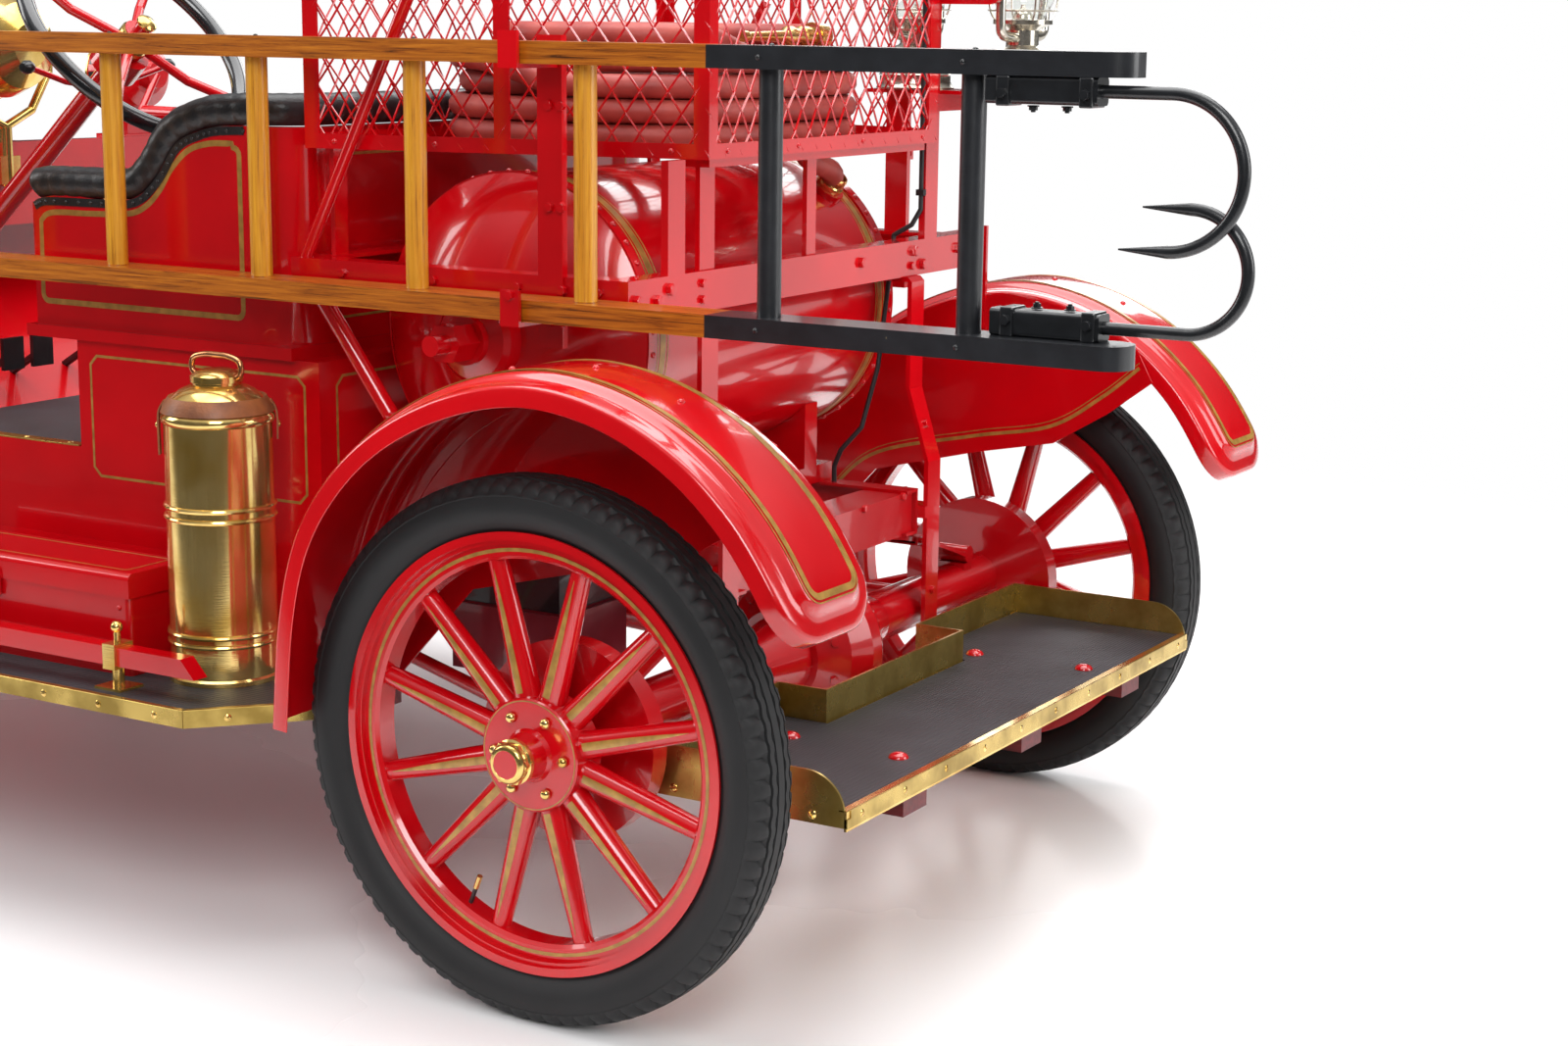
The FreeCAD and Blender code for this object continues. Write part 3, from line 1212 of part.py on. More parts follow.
def ladder_front_post():
    """Upright on the left sill behind the hood, with the front pair of ladder hooks."""
    x0, x1 = FRONT_POST_X, FRONT_POST_X + BRACKET_W
    sill = BODY_WIDTH / 2
    bar = box(x0, x1, sill, sill + 10, FRAME_TOP + 8, LADDER_TOP + 8)
    foot = box(x0 - 20, x1 + 20, sill, sill + 8, FRAME_TOP + 6, SILL_TOP - 4)
    return fuse([bar, foot] + ladder_hooks(x0 + 4, x1 - 4, sill + 4))


def basket_half(x):
    """Half the basket's width at a place along it."""
    share = (x - BASKET_REAR) / (BASKET_FRONT - BASKET_REAR)
    return BASKET_HALF_REAR + (BASKET_HALF_FRONT - BASKET_HALF_REAR) * share


def basket_ring(grow, z0, z1):
    """Plan of the basket, moved outwards by grow, as a slab."""
    slope = (BASKET_HALF_FRONT - BASKET_HALF_REAR) / (BASKET_FRONT - BASKET_REAR)
    x0, x1 = BASKET_REAR - grow, BASKET_FRONT + grow
    step = grow * math.sqrt(1 + slope ** 2)
    y0 = basket_half(x0) + step
    y1 = basket_half(x1) + step
    return prism_z([(x0, -y0), (x1, -y1), (x1, y1), (x0, y0)], z0, z1)


def hose_basket():
    """Angle-iron frame with a slatted floor and woven wire sides."""
    low, top = BASKET_BOTTOM, BASKET_TOP
    leg, thick = BASKET_ANGLE, BASKET_ANGLE_T
    wall = basket_ring(0, low, top).cut(basket_ring(-thick, low - 1, top + 1))
    foot = basket_ring(0, low, low + thick).cut(basket_ring(-leg, low - 1, low + leg))
    bands = basket_ring(5, low - 1, low + leg).fuse(basket_ring(5, top - leg, top + 1))
    x0, x1 = BASKET_REAR, BASKET_FRONT
    middle = (x0 + x1) / 2
    posts = []
    for side in (-1, 1):
        for x in (x0 + leg / 2, middle, x1 - leg / 2):
            edge = basket_half(x)
            posts.append(box(x - leg / 2 - 1, x + leg / 2 + 1, side * edge - 16, side * edge + 16,
                             low, top))
        for x, edge in ((x0, BASKET_HALF_REAR), (x1, BASKET_HALF_FRONT)):
            posts.append(box(x - 9, x + 9, side * (edge - leg / 2) - leg / 2 - 1,
                             side * (edge - leg / 2) + leg / 2 + 8, low, top))
    frame = wall.common(bands.multiFuse(posts))
    slats = []
    for index in range(8):
        y = -BASKET_HALF_REAR + leg + (2 * BASKET_HALF_REAR - 2 * leg) * (index + 0.5) / 8
        slats.append(box(x0 + 1, x1 - 1, y - 14, y + 14, low + 0.5, low + thick + 3))
    return fuse([frame, foot] + slats)


def hose_coil():
    """Outer form of the flaked hose: one rounded oval ring of laid turns."""
    low = BASKET_BOTTOM + BASKET_ANGLE_T + 3 + COIL_BOTTOM_GAP
    outer_x, outer_y = COIL_HALF_X, COIL_HALF_Y
    inner_x, inner_y = COIL_HALF_X - COIL_WIDTH, COIL_HALF_Y - COIL_WIDTH
    outer = rounded_box(COIL_X - outer_x, COIL_X + outer_x, -outer_y, outer_y, low,
                        low + COIL_HEIGHT, outer_x * 0.8)
    inner = rounded_box(COIL_X - inner_x, COIL_X + inner_x, -inner_y, inner_y, low - 1,
                        low + COIL_HEIGHT + 1, inner_x * 0.7)
    end = V(COIL_X - COIL_HALF_X + COIL_WIDTH / 2, NOZZLE_Y, low + COIL_HEIGHT + HOSE_R - 2)
    return outer.cut(inner).fuse(rod(end - V(0, LAST_STRETCH, 0), end, HOSE_R))


def hose_nozzle():
    """Brass play pipe on the hose's end, lying on the coil."""
    low = BASKET_BOTTOM + BASKET_ANGLE_T + 3 + COIL_BOTTOM_GAP
    start = V(COIL_X - COIL_HALF_X + COIL_WIDTH / 2, NOZZLE_Y, low + COIL_HEIGHT + HOSE_R - 2)
    outline = [(0, 0), (15.4, 0), (15.4, 34), (12, 40), (12, 60), (15.4, 64), (15.4, 74), (9, 84),
               (6.5, 190), (8.5, 196), (8.5, 206), (0, 206)]
    return spun(outline, start, V(0, 1, 0))


# Ladder
def ladder():
    y0 = LADDER_Y - LADDER_DEPTH / 2
    y1 = LADDER_Y + LADDER_DEPTH / 2
    parts = []
    for z in (LADDER_BOTTOM, LADDER_TOP - RAIL_T):
        rail = rounded_box(LADDER_REAR, LADDER_FRONT, y0, y1, z, z + RAIL_T, RAIL_T)
        parts.append(rail)
    x = RUNG_REAR
    while x < LADDER_FRONT - RUNG_PITCH / 3:
        parts.append(rod(V(x, LADDER_Y, LADDER_BOTTOM + RAIL_T / 2),
                         V(x, LADDER_Y, LADDER_TOP - RAIL_T / 2), RUNG_R))
        x += RUNG_PITCH
    return fuse(parts)


def hook_side(upper):
    """The two hooks lie side by side, so that they can cross."""
    return LADDER_Y + (HOOK_SIDE if upper else -HOOK_SIDE)


def hook_socket_z(upper):
    if upper:
        return LADDER_TOP - RAIL_T - SOCKET_SIZE / 2
    return LADDER_BOTTOM + RAIL_T + SOCKET_SIZE / 2


def ladder_hook_sockets():
    """Spring housings under the upper rail and on the lower rail."""
    shapes = []
    half = SOCKET_SIZE / 2
    for upper in (True, False):
        y, z = hook_side(upper), hook_socket_z(upper)
        start = LADDER_REAR + 44
        housing = rounded_box(start, start + SOCKET_LENGTH, y - half, y + half, z - half,
                              z + half, 6, "X")
        bore = rod(V(start - 1, y, z), V(start + SOCKET_LENGTH - 20, y, z),
                   HOOK_ROD_R + SHAFT_CLEAR)
        shapes.append(housing.cut(bore))
    return group(shapes)


def roof_hook(upper):
    """Pointed roof hook folded into the plane of the ladder, on a round shank."""
    side, z = hook_side(upper), hook_socket_z(upper)
    depth = HOOK_DROP if upper else HOOK_RISE
    down = -1 if upper else 1
    shank_end = LADDER_REAR + 44 + SOCKET_LENGTH - 24
    bend = depth / 2
    turn_x = LADDER_REAR - HOOK_REACH + bend + HOOK_ROD_R
    centre = V(turn_x, side, z + down * bend)
    ring = Part.makeTorus(bend, HOOK_ROD_R, centre, V(0, 1, 0))
    keep = box(turn_x - 300, turn_x, side - 40, side + 40, z - 400, z + 400)
    tip_start = V(turn_x, side, z + down * depth)
    return fuse([rod(V(shank_end, side, z), V(turn_x, side, z), HOOK_ROD_R), ring.common(keep),
                 Part.makeCone(HOOK_ROD_R, 1.2, HOOK_TIP, tip_start, V(1, 0, 0))])


# Rear step
def step_outline(grow):
    """Plan of the tray: rounded rear corners and a jog that clears the axle."""
    return [(STEP_FRONT + grow, STEP_HALF + grow), (STEP_FRONT + grow, STEP_JOG_HALF - grow),
            (STEP_JOG_X + grow, STEP_JOG_HALF - grow), (STEP_JOG_X + grow, -STEP_JOG_HALF + grow),
            (STEP_FRONT + grow, -STEP_JOG_HALF + grow), (STEP_FRONT + grow, -STEP_HALF - grow),
            (STEP_REAR - grow, -STEP_HALF - grow), (STEP_REAR - grow, STEP_HALF + grow)]


def rear_step():
    deck = prism_z(step_outline(0), STEP_TOP - STEP_T, STEP_TOP)
    outer = prism_z(step_outline(STEP_WALL_T), STEP_TOP - STEP_T, STEP_TOP + STEP_WALL)
    inner = prism_z(step_outline(0), STEP_TOP - STEP_T - 1, STEP_TOP + STEP_WALL + 1)
    wall = outer.cut(inner)
    wall = wall.cut(box(STEP_REAR - 10, STEP_REAR + 0.1, -STEP_HALF - 9, STEP_HALF + 9,
                        STEP_TOP + 4, STEP_TOP + 90))
    for side in (-1, 1):
        y = side * (STEP_HALF + 2)
        corner = box(STEP_REAR - 10, STEP_REAR + STEP_CORNER, y - 8, y + 8,
                     STEP_TOP + STEP_WALL - STEP_CORNER, STEP_TOP + 90)
        keep = rod(V(STEP_REAR + STEP_CORNER, y - 10, STEP_TOP + STEP_WALL - STEP_CORNER),
                   V(STEP_REAR + STEP_CORNER, y + 10, STEP_TOP + STEP_WALL - STEP_CORNER),
                   STEP_CORNER)
        wall = wall.cut(corner.cut(keep))
    return fuse([deck, wall])


def step_timbers():
    low = STEP_TOP - STEP_T - TIMBER_H
    blocks = []
    for y in (-380.0, 0.0, 380.0):
        blocks.append(box(STEP_REAR + 8, STEP_JOG_X - 6 if y == 0 else STEP_FRONT - 8,
                          y - TIMBER_W / 2, y + TIMBER_W / 2, low, STEP_TOP - STEP_T))
    return group(blocks)


# Side equipment
def extinguishers():
    """Brass soda-and-acid bottles that stand on the running boards."""
    floor = BOARD_TOP
    outline = [(0, 0), (BOTTLE_R, 0), (BOTTLE_R, 10), (BOTTLE_R - 3, 14), (BOTTLE_R - 3, 62),
               (BOTTLE_R, 66), (BOTTLE_R, 76), (BOTTLE_R - 3, 80), (BOTTLE_R - 3, 246),
               (BOTTLE_R, 250), (BOTTLE_R, 268), (BOTTLE_R - 3, 272), (BOTTLE_R - 3, 392),
               (BOTTLE_R, 396), (BOTTLE_R, 408), (BOTTLE_R - 12, 420), (48, 440), (34, 444),
               (34, 458), (28, 466), (0, 468)]
    bottle = spun(outline, V(BOTTLE_X, BOTTLE_Y, floor), V(0, 0, 1))
    top = floor + 462
    loop = bent_rod([V(BOTTLE_X - 44, BOTTLE_Y, top - 30), V(BOTTLE_X - 46, BOTTLE_Y, top + 6),
                     V(BOTTLE_X - 30, BOTTLE_Y, top + 24), V(BOTTLE_X + 30, BOTTLE_Y, top + 24),
                     V(BOTTLE_X + 46, BOTTLE_Y, top + 6), V(BOTTLE_X + 44, BOTTLE_Y, top - 30)], 5)
    return group(both(fuse([bottle, loop])))


def toolbox_body():
    x0, x1 = TOOLBOX_REAR, TOOLBOX_REAR + TOOLBOX_LENGTH
    top = LID_LOW - HINGE_GAP
    outer = rounded_box(x0, x1, TOOLBOX_INNER, TOOLBOX_OUTER, BOARD_TOP, top, 8)
    inner = box(x0 + TOOLBOX_T, x1 - TOOLBOX_T, TOOLBOX_INNER + TOOLBOX_T, TOOLBOX_OUTER -
                TOOLBOX_T, BOARD_TOP + TOOLBOX_T, top + 1)
    axis_y = TOOLBOX_INNER - LID_HINGE_R
    barrel = rod(V(x0 + 20, axis_y, LID_LOW), V(x1 - 20, axis_y, LID_LOW), LID_HINGE_R)
    leaf = box(x0 + 20, x1 - 20, axis_y, TOOLBOX_INNER, LID_LOW - 24, LID_LOW - LID_HINGE_R / 2)
    return fuse([outer.cut(inner), barrel, leaf])


def toolbox_lid():
    x0, x1 = TOOLBOX_REAR - 3, TOOLBOX_REAR + TOOLBOX_LENGTH + 3
    low = LID_LOW
    back = TOOLBOX_INNER + HINGE_GAP
    outer = rounded_box(x0, x1, back, TOOLBOX_OUTER + 3, low, TOOLBOX_TOP, 10, "X")
    cap = box(x0, x1, back, TOOLBOX_OUTER + 3, low, low + 12)
    inner = box(x0 + TOOLBOX_T, x1 - TOOLBOX_T, back + TOOLBOX_T, TOOLBOX_OUTER - 1, low - 1,
                TOOLBOX_TOP - TOOLBOX_T)
    hasp = box((x0 + x1) / 2 - 14, (x0 + x1) / 2 + 14, TOOLBOX_OUTER + 3, TOOLBOX_OUTER + 6,
               low - 26, low + 18)
    return fuse([outer, cap, hasp]).cut(inner)


def side_bars():
    half = SIDE_BAR_SIZE / 2
    z0, z1 = SIDE_BAR_Z - half, SIDE_BAR_Z + half
    outline = [(SIDE_BAR_REAR, z0), (SIDE_BAR_REAR + 26, z1), (SIDE_BAR_FRONT - 26, z1),
               (SIDE_BAR_FRONT, z0)]
    bar = prism_y(outline, SIDE_BAR_Y - half, SIDE_BAR_Y + half)
    return group(both(bar))


def side_bar_posts():
    """Brass stanchions: a foot, a short post and a clamp round the bar, with a finial."""
    half = SIDE_BAR_SIZE / 2
    shapes = []
    for x in SIDE_BAR_POSTS:
        foot = box(x - 26, x + 26, SIDE_BAR_Y - 24, SIDE_BAR_Y + 24, BOARD_TOP, BOARD_TOP + 6)
        post = rod(V(x, SIDE_BAR_Y, BOARD_TOP), V(x, SIDE_BAR_Y, SIDE_BAR_Z - half - 4), 9)
        clamp = box(x - 12, x + 12, SIDE_BAR_Y - half - 5, SIDE_BAR_Y + half + 5,
                    SIDE_BAR_Z - half - 5, SIDE_BAR_Z + half + 5)
        clamp = clamp.cut(box(x - 20, x + 20, SIDE_BAR_Y - half, SIDE_BAR_Y + half,
                              SIDE_BAR_Z - half, SIDE_BAR_Z + half))
        finial = rod(V(x, SIDE_BAR_Y, SIDE_BAR_Z + half + 4),
                     V(x, SIDE_BAR_Y, SIDE_BAR_Z + half + 26), 5)
        knob = Part.makeSphere(9, V(x, SIDE_BAR_Y, SIDE_BAR_Z + half + 28))
        shapes += both(fuse([foot, post, clamp, finial, knob]))
    return group(shapes)


# Lamps, siren and controls
def lantern(x):
    """Tubular lantern: oil font, burner, globe, cap and two air tubes."""
    base = V(x, LANTERN_Y, LANTERN_BASE_Z)
    outline = [(0, 0), (LANTERN_R, 0), (LANTERN_R, 8), (LANTERN_R - 6, 14), (LANTERN_R - 6, 56),
               (LANTERN_R - 16, 68), (27, 74), (27, 108), (49, 112), (49, 118), (36, 120),
               (50, 146), (55, 176), (46, 212), (34, 232), (46, 236), (46, 262), (30, 280),
               (34, 300), (22, 318), (0, 322)]
    parts = [spun(outline, base, V(0, 0, 1))]
    for side in (-1, 1):
        tube = [V(0, side * 20, 90), V(0, side * 66, 90), V(0, side * 79, 95),
                V(0, side * LANTERN_TUBE, 108), V(0, side * LANTERN_TUBE, 262),
                V(0, side * 78, 276), V(0, side * 64, 284), V(0, side * 26, 290)]
        parts.append(bent_rod([base + spot for spot in tube], 9))
    return fuse(parts)


def lanterns():
    return group([lantern(x) for x in LANTERN_XS])


def lantern_shelf():
    """Flat carrier that holds the two lanterns beside the basket, and a strap arm above."""
    z = LANTERN_BASE_Z
    x0, x1 = min(LANTERN_XS) - 60, max(LANTERN_XS) + 66
    rear = CHANNEL_REAR
    under = box(rear, rear + POST_T, LANTERN_Y - 20, -POST_Y, z - 34, z - 6)
    strap_arm = rounded_box(rear - 132, rear + POST_T, -POST_Y + 10, -POST_Y + 22, z + 141, z + 194,
                            24, "Y")
    return [box(x0, x1, LANTERN_Y - 60, LANTERN_Y + 56, z - 6, z), under, strap_arm]


def lamp_cable():
    """Black cable clipped down the right post, then in under the channel to the frame."""
    face = -POST_Y + POST_W / 2
    y = face + CABLE_R + 0.5
    x = CHANNEL_REAR + POST_T / 2
    rail = (FRAME_WIDTH - FRAME_FLANGE) / 2
    points = [(x, face, 1570), (x, y, 1570), (x, y, 1052), (12, y + 4, 1026), (41, y + 12, 1008),
              (42, y + 26, 930), (44, y + 54, 790), (60, y + 78, 690), (92, -rail, 650),
              (104, -rail, 622), (104, -rail, FRAME_TOP)]
    cable = bent_rod([V(*spot) for spot in points], CABLE_R)
    clips = [box(x - 7, x + 7, face, y + CABLE_R + 1.5, z - 5, z + 5) for z in (1500, 1290, 1080)]
    return fuse([cable] + clips)


def searchlight():
    """Brass searchlight in a forked yoke, on a post clamped behind the dash."""
    centre = V(SEARCH_X, SEARCH_Y, SEARCH_Z)
    outline = [(0, -80), (40, -76), (78, -52), (96, -6), (98, 40), (105, 44), (105, 62), (96, 66),
               (0, 66)]
    drum = spun(outline, centre, V(1, 0, 0))
    low = centre - V(0, 0, 150)
    yoke = bent_rod([centre + V(0, -114, 0), centre + V(0, -112, -50), centre + V(0, -66, -120),
                     low, centre + V(0, 66, -120), centre + V(0, 112, -50), centre + V(0, 114, 0)],
                    8)
    pins = rod(centre + V(0, -118, 0), centre + V(0, 118, 0), 8)
    post = rod(V(low.x, low.y, COWL_TOP - 76), low, 12)
    clamp = box(low.x - 10, COWL_REAR_X, low.y - 24, low.y + 24, COWL_TOP - 72, COWL_TOP - 20)
    return fuse([drum, yoke, pins, post, clamp])


def headlights():
    """Drum headlights on curved brackets from the frame rails."""
    centre = V(HEADLAMP_X, HEADLAMP_Y, HEADLAMP_Z)
    r = HEADLAMP_R
    outline = [(0, -86), (24, -84), (60, -66), (r - 8, -24), (r - 4, 20), (r + 4, 24), (r + 4, 42),
               (r - 6, 46), (0, 46)]
    drum = spun(outline, centre, V(1, 0, 0))
    stem = bent_rod([centre - V(0, 0, r - 14), centre - V(0, 0, r + 40),
                     V(HEADLAMP_X - 40, FRAME_WIDTH / 2 + 14, FRAME_TOP + 60),
                     V(HEADLAMP_X - 50, FRAME_WIDTH / 2 + 14, FRAME_TOP - 30)], 11)
    pad = box(HEADLAMP_X - 76, HEADLAMP_X - 24, FRAME_WIDTH / 2, FRAME_WIDTH / 2 + 14,
              FRAME_TOP - 60, FRAME_TOP - 8)
    return group(both(fuse([drum, stem, pad])))


def steering_column():
    top = V(WHEEL_X, COLUMN_Y, WHEEL_Z)
    axis = column_axis()
    tube = rod(top + axis * 40, top + axis * COLUMN_LENGTH, COLUMN_R)
    cup = rod(top + axis * (27 + SOFT_GAP), top + axis * 70, 42)
    lever = bent_rod([top + axis * 120, top + axis * 120 + V(0, -70, 10),
                      top + axis * 110 + V(0, -150, 26)], 5)
    lever2 = bent_rod([top + axis * 120, top + axis * 120 + V(0, 70, 10),
                       top + axis * 110 + V(0, 150, 26)], 5)
    low = top + axis * COLUMN_LENGTH
    foot = box(low.x - 40, low.x + 40, COLUMN_Y - 38, FRAME_WIDTH / 2, FRAME_TOP, FRAME_TOP + 10)
    brace = box(low.x - 12, low.x + 12, COLUMN_Y - 12, COLUMN_Y + 2, FRAME_TOP, low.z + 4)
    return fuse([tube, cup, lever, lever2, foot, brace])


def steering_wheel():
    top = V(WHEEL_X, COLUMN_Y, WHEEL_Z)
    axis = column_axis()
    rim = Part.makeTorus(WHEEL_R, WHEEL_RIM_R, top, axis)
    hub = rod(top + axis * 27, top - axis * 16, 26)
    nut = rod(top - axis * 16, top - axis * 34, 14)
    across = V(0, 1, 0)
    upward = axis.cross(across)
    parts = [rim, hub, nut]
    for index in range(4):
        turn = math.radians(45 + 90 * index)
        way = across * math.cos(turn) + upward * math.sin(turn)
        parts.append(bent_rod([top + axis * 8, top + way * (WHEEL_R * 0.55) + axis * 16,
                               top + way * (WHEEL_R - 4)], 8))
    return fuse(parts)


def siren():
    """Hand-cranked siren on the right of the cowl."""
    centre = V(SIREN_X, SIREN_Y, SIREN_Z)
    drum = [(0, -60), (40, -60), (64, -50), (70, -10), (70, 40), (60, 54), (30, 60), (0, 60)]
    body = spun(drum, centre, V(1, 0, 0))
    gear = spun([(0, -84), (26, -84), (30, -58), (0, -58)], centre, V(1, 0, 0))
    crank = bent_rod([centre - V(80, 0, 0), centre + V(-92, 60, -70), centre + V(-170, 62, -72)], 7)
    grip = rod(centre + V(-104, 61, -71), centre + V(-186, 62, -72), 14)
    stand = box(SIREN_X - 30, SIREN_X + 30, SIREN_Y - 34, SIREN_Y + 34, COWL_TOP - 30, SIREN_Z - 50)
    foot = box(SIREN_X - 40, SIREN_X + 40, SIREN_Y - 50, SIREN_Y + 50, COWL_TOP - 30, COWL_TOP + 8)
    below = cowl_solid().translated(V(0, 0, SOFT_GAP))
    return fuse([body, gear, crank, grip, stand, foot]).cut(below).cut(cowl())


def pedals():
    shapes = []
    for y in (120.0, 190.0, 250.0 - 130 * 2):
        stem = rod(V(1640, y, FLOOR_TOP + 45), V(1549, y, FLOOR_TOP + 98), 7)
        stem = stem.cut(toe_board().translated(V(0, 0, SOFT_GAP)))
        pad = box(1545, 1553, y - 24, y + 24, FLOOR_TOP + 70, FLOOR_TOP + 128)
        shapes.append(fuse([stem, pad]))
    return shapes


def exhaust():
    """Pipe from the engine's side to a muffler under the left rail, with a short tail."""
    y, z = 190.0, FRAME_TOP - FRAME_HEIGHT - 50
    start = V(ENGINE_BACK + 120, ENGINE_WIDTH / 2, 640)
    elbow = V(start.x, y, start.z)
    pipe = bent_rod([start, elbow, V(start.x, y, z + 40), V(start.x - 60, y, z), V(250, y, z)], 19)
    muffler = rod(V(330, y, z), V(790, y, z), 52)
    low = FRAME_TOP - FRAME_HEIGHT
    strap = box(540, 566, y + 25, y + 45, z + 20, low)
    hanger = box(540, 566, y + 25, FRAME_WIDTH / 2 - 8, low - 6, low)
    return fuse([pipe, muffler, strap, hanger])


def battery_box():
    """Battery in its red carrier, hung outside the left rail ahead of the axle."""
    carrier = box(140, 340, FRAME_WIDTH / 2 + 6, FRAME_WIDTH / 2 + 176, 400, 500)
    carrier = carrier.cut(box(146, 334, FRAME_WIDTH / 2 + 12, FRAME_WIDTH / 2 + 170, 406, 501))
    battery = box(150, 330, FRAME_WIDTH / 2 + 16, FRAME_WIDTH / 2 + 166, 406, 570)
    arm = box(220, 260, FRAME_WIDTH / 2, FRAME_WIDTH / 2 + 8, 480, FRAME_TOP - 10)
    return fuse([carrier, battery, arm])


def build():
    """Name of each piece and its shape, in the rear axle's frame."""
    pieces = {
        "chassis_frame": chassis_frame(),
        "rear_axle": rear_axle(),
        "springs": group([rear_spring(), front_spring()]),
        "front_axle": front_axle(),
        "knuckle_left": knuckle(1),
        "knuckle_right": knuckle(-1),
        "tie_rod": tie_rod(),
        "engine_block": engine_block(),
        "radiator": radiator(),
        "hood_left": hood_leaf(1),
        "hood_right": hood_leaf(-1),
        "cowl": cowl(),
        "body_floor": body_floor(),
        "side_aprons": side_aprons(),
        "running_boards": running_boards(),
        "board_brass": board_brass(),
        "rear_fenders": rear_fenders(),
        "front_fenders": front_fenders(),
        "seat_box": seat_box(),
        "seat_body": seat_body(),
        "seat_cushion": seat_cushion(),
        "seat_back_pad": seat_back_pad(),
        "seat_roll": seat_roll(),
        "chemical_tank": chemical_tank(),
        "tank_fittings": tank_fittings(),
        "equipment_frame": equipment_frame(),
        "hose_basket": hose_basket(),
        "hose_coil": hose_coil(),
        "hose_lead": hose_lead(),
        "hose_nozzle": hose_nozzle(),
        "lamp_cable": lamp_cable(),
        "ladder": ladder(),
        "ladder_front_post": ladder_front_post(),
        "ladder_hook_sockets": ladder_hook_sockets(),
        "roof_hook_upper": roof_hook(True),
        "roof_hook_lower": roof_hook(False),
        "rear_step": rear_step(),
        "step_timbers": step_timbers(),
        "extinguishers": extinguishers(),
        "toolbox_body": toolbox_body(),
        "toolbox_lid": toolbox_lid(),
        "side_bars": side_bars(),
        "side_bar_posts": side_bar_posts(),
        "lanterns": lanterns(),
        "searchlight": searchlight(),
        "headlights": headlights(),
        "steering_column": steering_column(),
        "steering_wheel": steering_wheel(),
        "siren": siren(),
        "pedals": group(pedals()),
        "exhaust": exhaust(),
        "battery_box": battery_box(),
    }
    for name, x in (("front", WHEELBASE), ("rear", 0.0)):
        for word, side in (("left", 1), ("right", -1)):
            pieces["wheel_%s_%s" % (name, word)] = wheel(x, side)
            pieces["tyre_%s_%s" % (name, word)] = tyre(x, side)
    return pieces


def main():
    os.makedirs("parts", exist_ok=True)
    for name, shape in build().items():
        moved = shape.copy()
        moved.translate(V(ORIGIN_SHIFT, 0, 0))
        box_ = moved.BoundBox
        print("%-22s solids %2d valid %s volume %12.0f x %7.0f %7.0f y %7.0f %7.0f z %6.0f %6.0f" % (
            name, len(moved.Solids), moved.isValid(), moved.Volume, box_.XMin, box_.XMax,
            box_.YMin, box_.YMax, box_.ZMin, box_.ZMax))
        moved.exportStep("parts/%s.step" % name)


main()
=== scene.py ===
"""Chemical fire engine: finishes, fittings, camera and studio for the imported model."""

import math
import random

import bmesh
import bpy
import numpy as np
from mathutils import Matrix, Vector
from mathutils.bvhtree import BVHTree


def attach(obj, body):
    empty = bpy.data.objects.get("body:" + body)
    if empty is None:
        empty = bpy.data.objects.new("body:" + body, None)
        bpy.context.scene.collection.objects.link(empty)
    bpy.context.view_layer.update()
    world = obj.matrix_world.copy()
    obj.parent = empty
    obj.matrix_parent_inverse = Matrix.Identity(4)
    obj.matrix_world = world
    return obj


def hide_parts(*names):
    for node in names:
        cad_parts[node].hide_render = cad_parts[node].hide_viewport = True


bl_info = {
    "name": "Chemical Fire Engine",
    "version": (1, 0, 0),
    "blender": (4, 5, 0),
    "location": "View3D > Sidebar > Fire Engine",
    "description": "Finishes and fittings of a chemical fire engine",
    "category": "Object",
}

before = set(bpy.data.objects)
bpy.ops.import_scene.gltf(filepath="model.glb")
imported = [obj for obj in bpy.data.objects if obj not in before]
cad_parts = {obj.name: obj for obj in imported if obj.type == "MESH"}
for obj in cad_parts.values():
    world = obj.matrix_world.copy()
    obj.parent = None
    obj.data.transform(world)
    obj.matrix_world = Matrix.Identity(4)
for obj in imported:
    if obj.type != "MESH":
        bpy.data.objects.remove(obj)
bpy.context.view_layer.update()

# Drawing sizes in millimetres, measured from the rear axle as in the solids
AXLE_SHIFT = -1016.0
WHEELBASE, TRACK, TYRE_R = 2540.0, 1422.0, 381.0
SPOKES, SPOKE_ROOT, SPOKE_TAPER = 12, 20.0, 6.0  # number, and radius at the hub less its taper
TANK_X, TANK_Z, TANK_R = 290.0, 898.0, 236.0
BOARD_TOP, BOARD_T = 378.0, 22.0
BOARD_INNER, BOARD_OUTER = 546.0, 828.0
BOARD_REAR, BOARD_FRONT = 376.0, 2096.0
BOARD_CUT_X, BOARD_CUT_Y = 545.0, 702.0
STEP_TOP, STEP_T, STEP_HALF = 330.0, 20.0, 592.0
STEP_REAR, STEP_FRONT = -410.0, -88.0
STEP_JOG_X, STEP_JOG_HALF = -170.0, 226.0
BASKET_REAR, BASKET_FRONT = -36.0, 588.0
BASKET_HALF_REAR, BASKET_HALF_FRONT = 350.0, 488.0
BASKET_BOTTOM, BASKET_TOP = 1164.0, 1590.0
SEAT_REAR, SEAT_FRONT, SEAT_BACK_Z = 612.0, 1150.0, 1194.0
SEAT_SHELL_T, SEAT_CORNER, BODY_HALF = 22.0, 85.0, 500.0
CHANNEL_REAR, CHANNEL_TOP, CHANNEL_HEIGHT = -8.0, 1003.0, 58.0
HOSE_R, COIL_X, COIL_LOW, COIL_HEIGHT = 18.0, 286.0, 1170.3, 148.0
COIL_LAYERS, LAYER_RISE = 4, 36.6
COIL_INSETS = (92.5, 55.5, 18.5)  # of the three turns in a layer, from the inner one
TOOLBOX_REAR, TOOLBOX_LONG, TOOLBOX_TOP, LID_LOW = 747.0, 560.0, 538.0, 500.0
TOOLBOX_INNER, TOOLBOX_OUTER = 588.0, 724.0
BOTTLE_X, BOTTLE_Y = 639.0, 637.0
RUNG_REAR, RUNG_PITCH, RUNGS, PAINTED_RUNGS = -558, 292, 11, 2
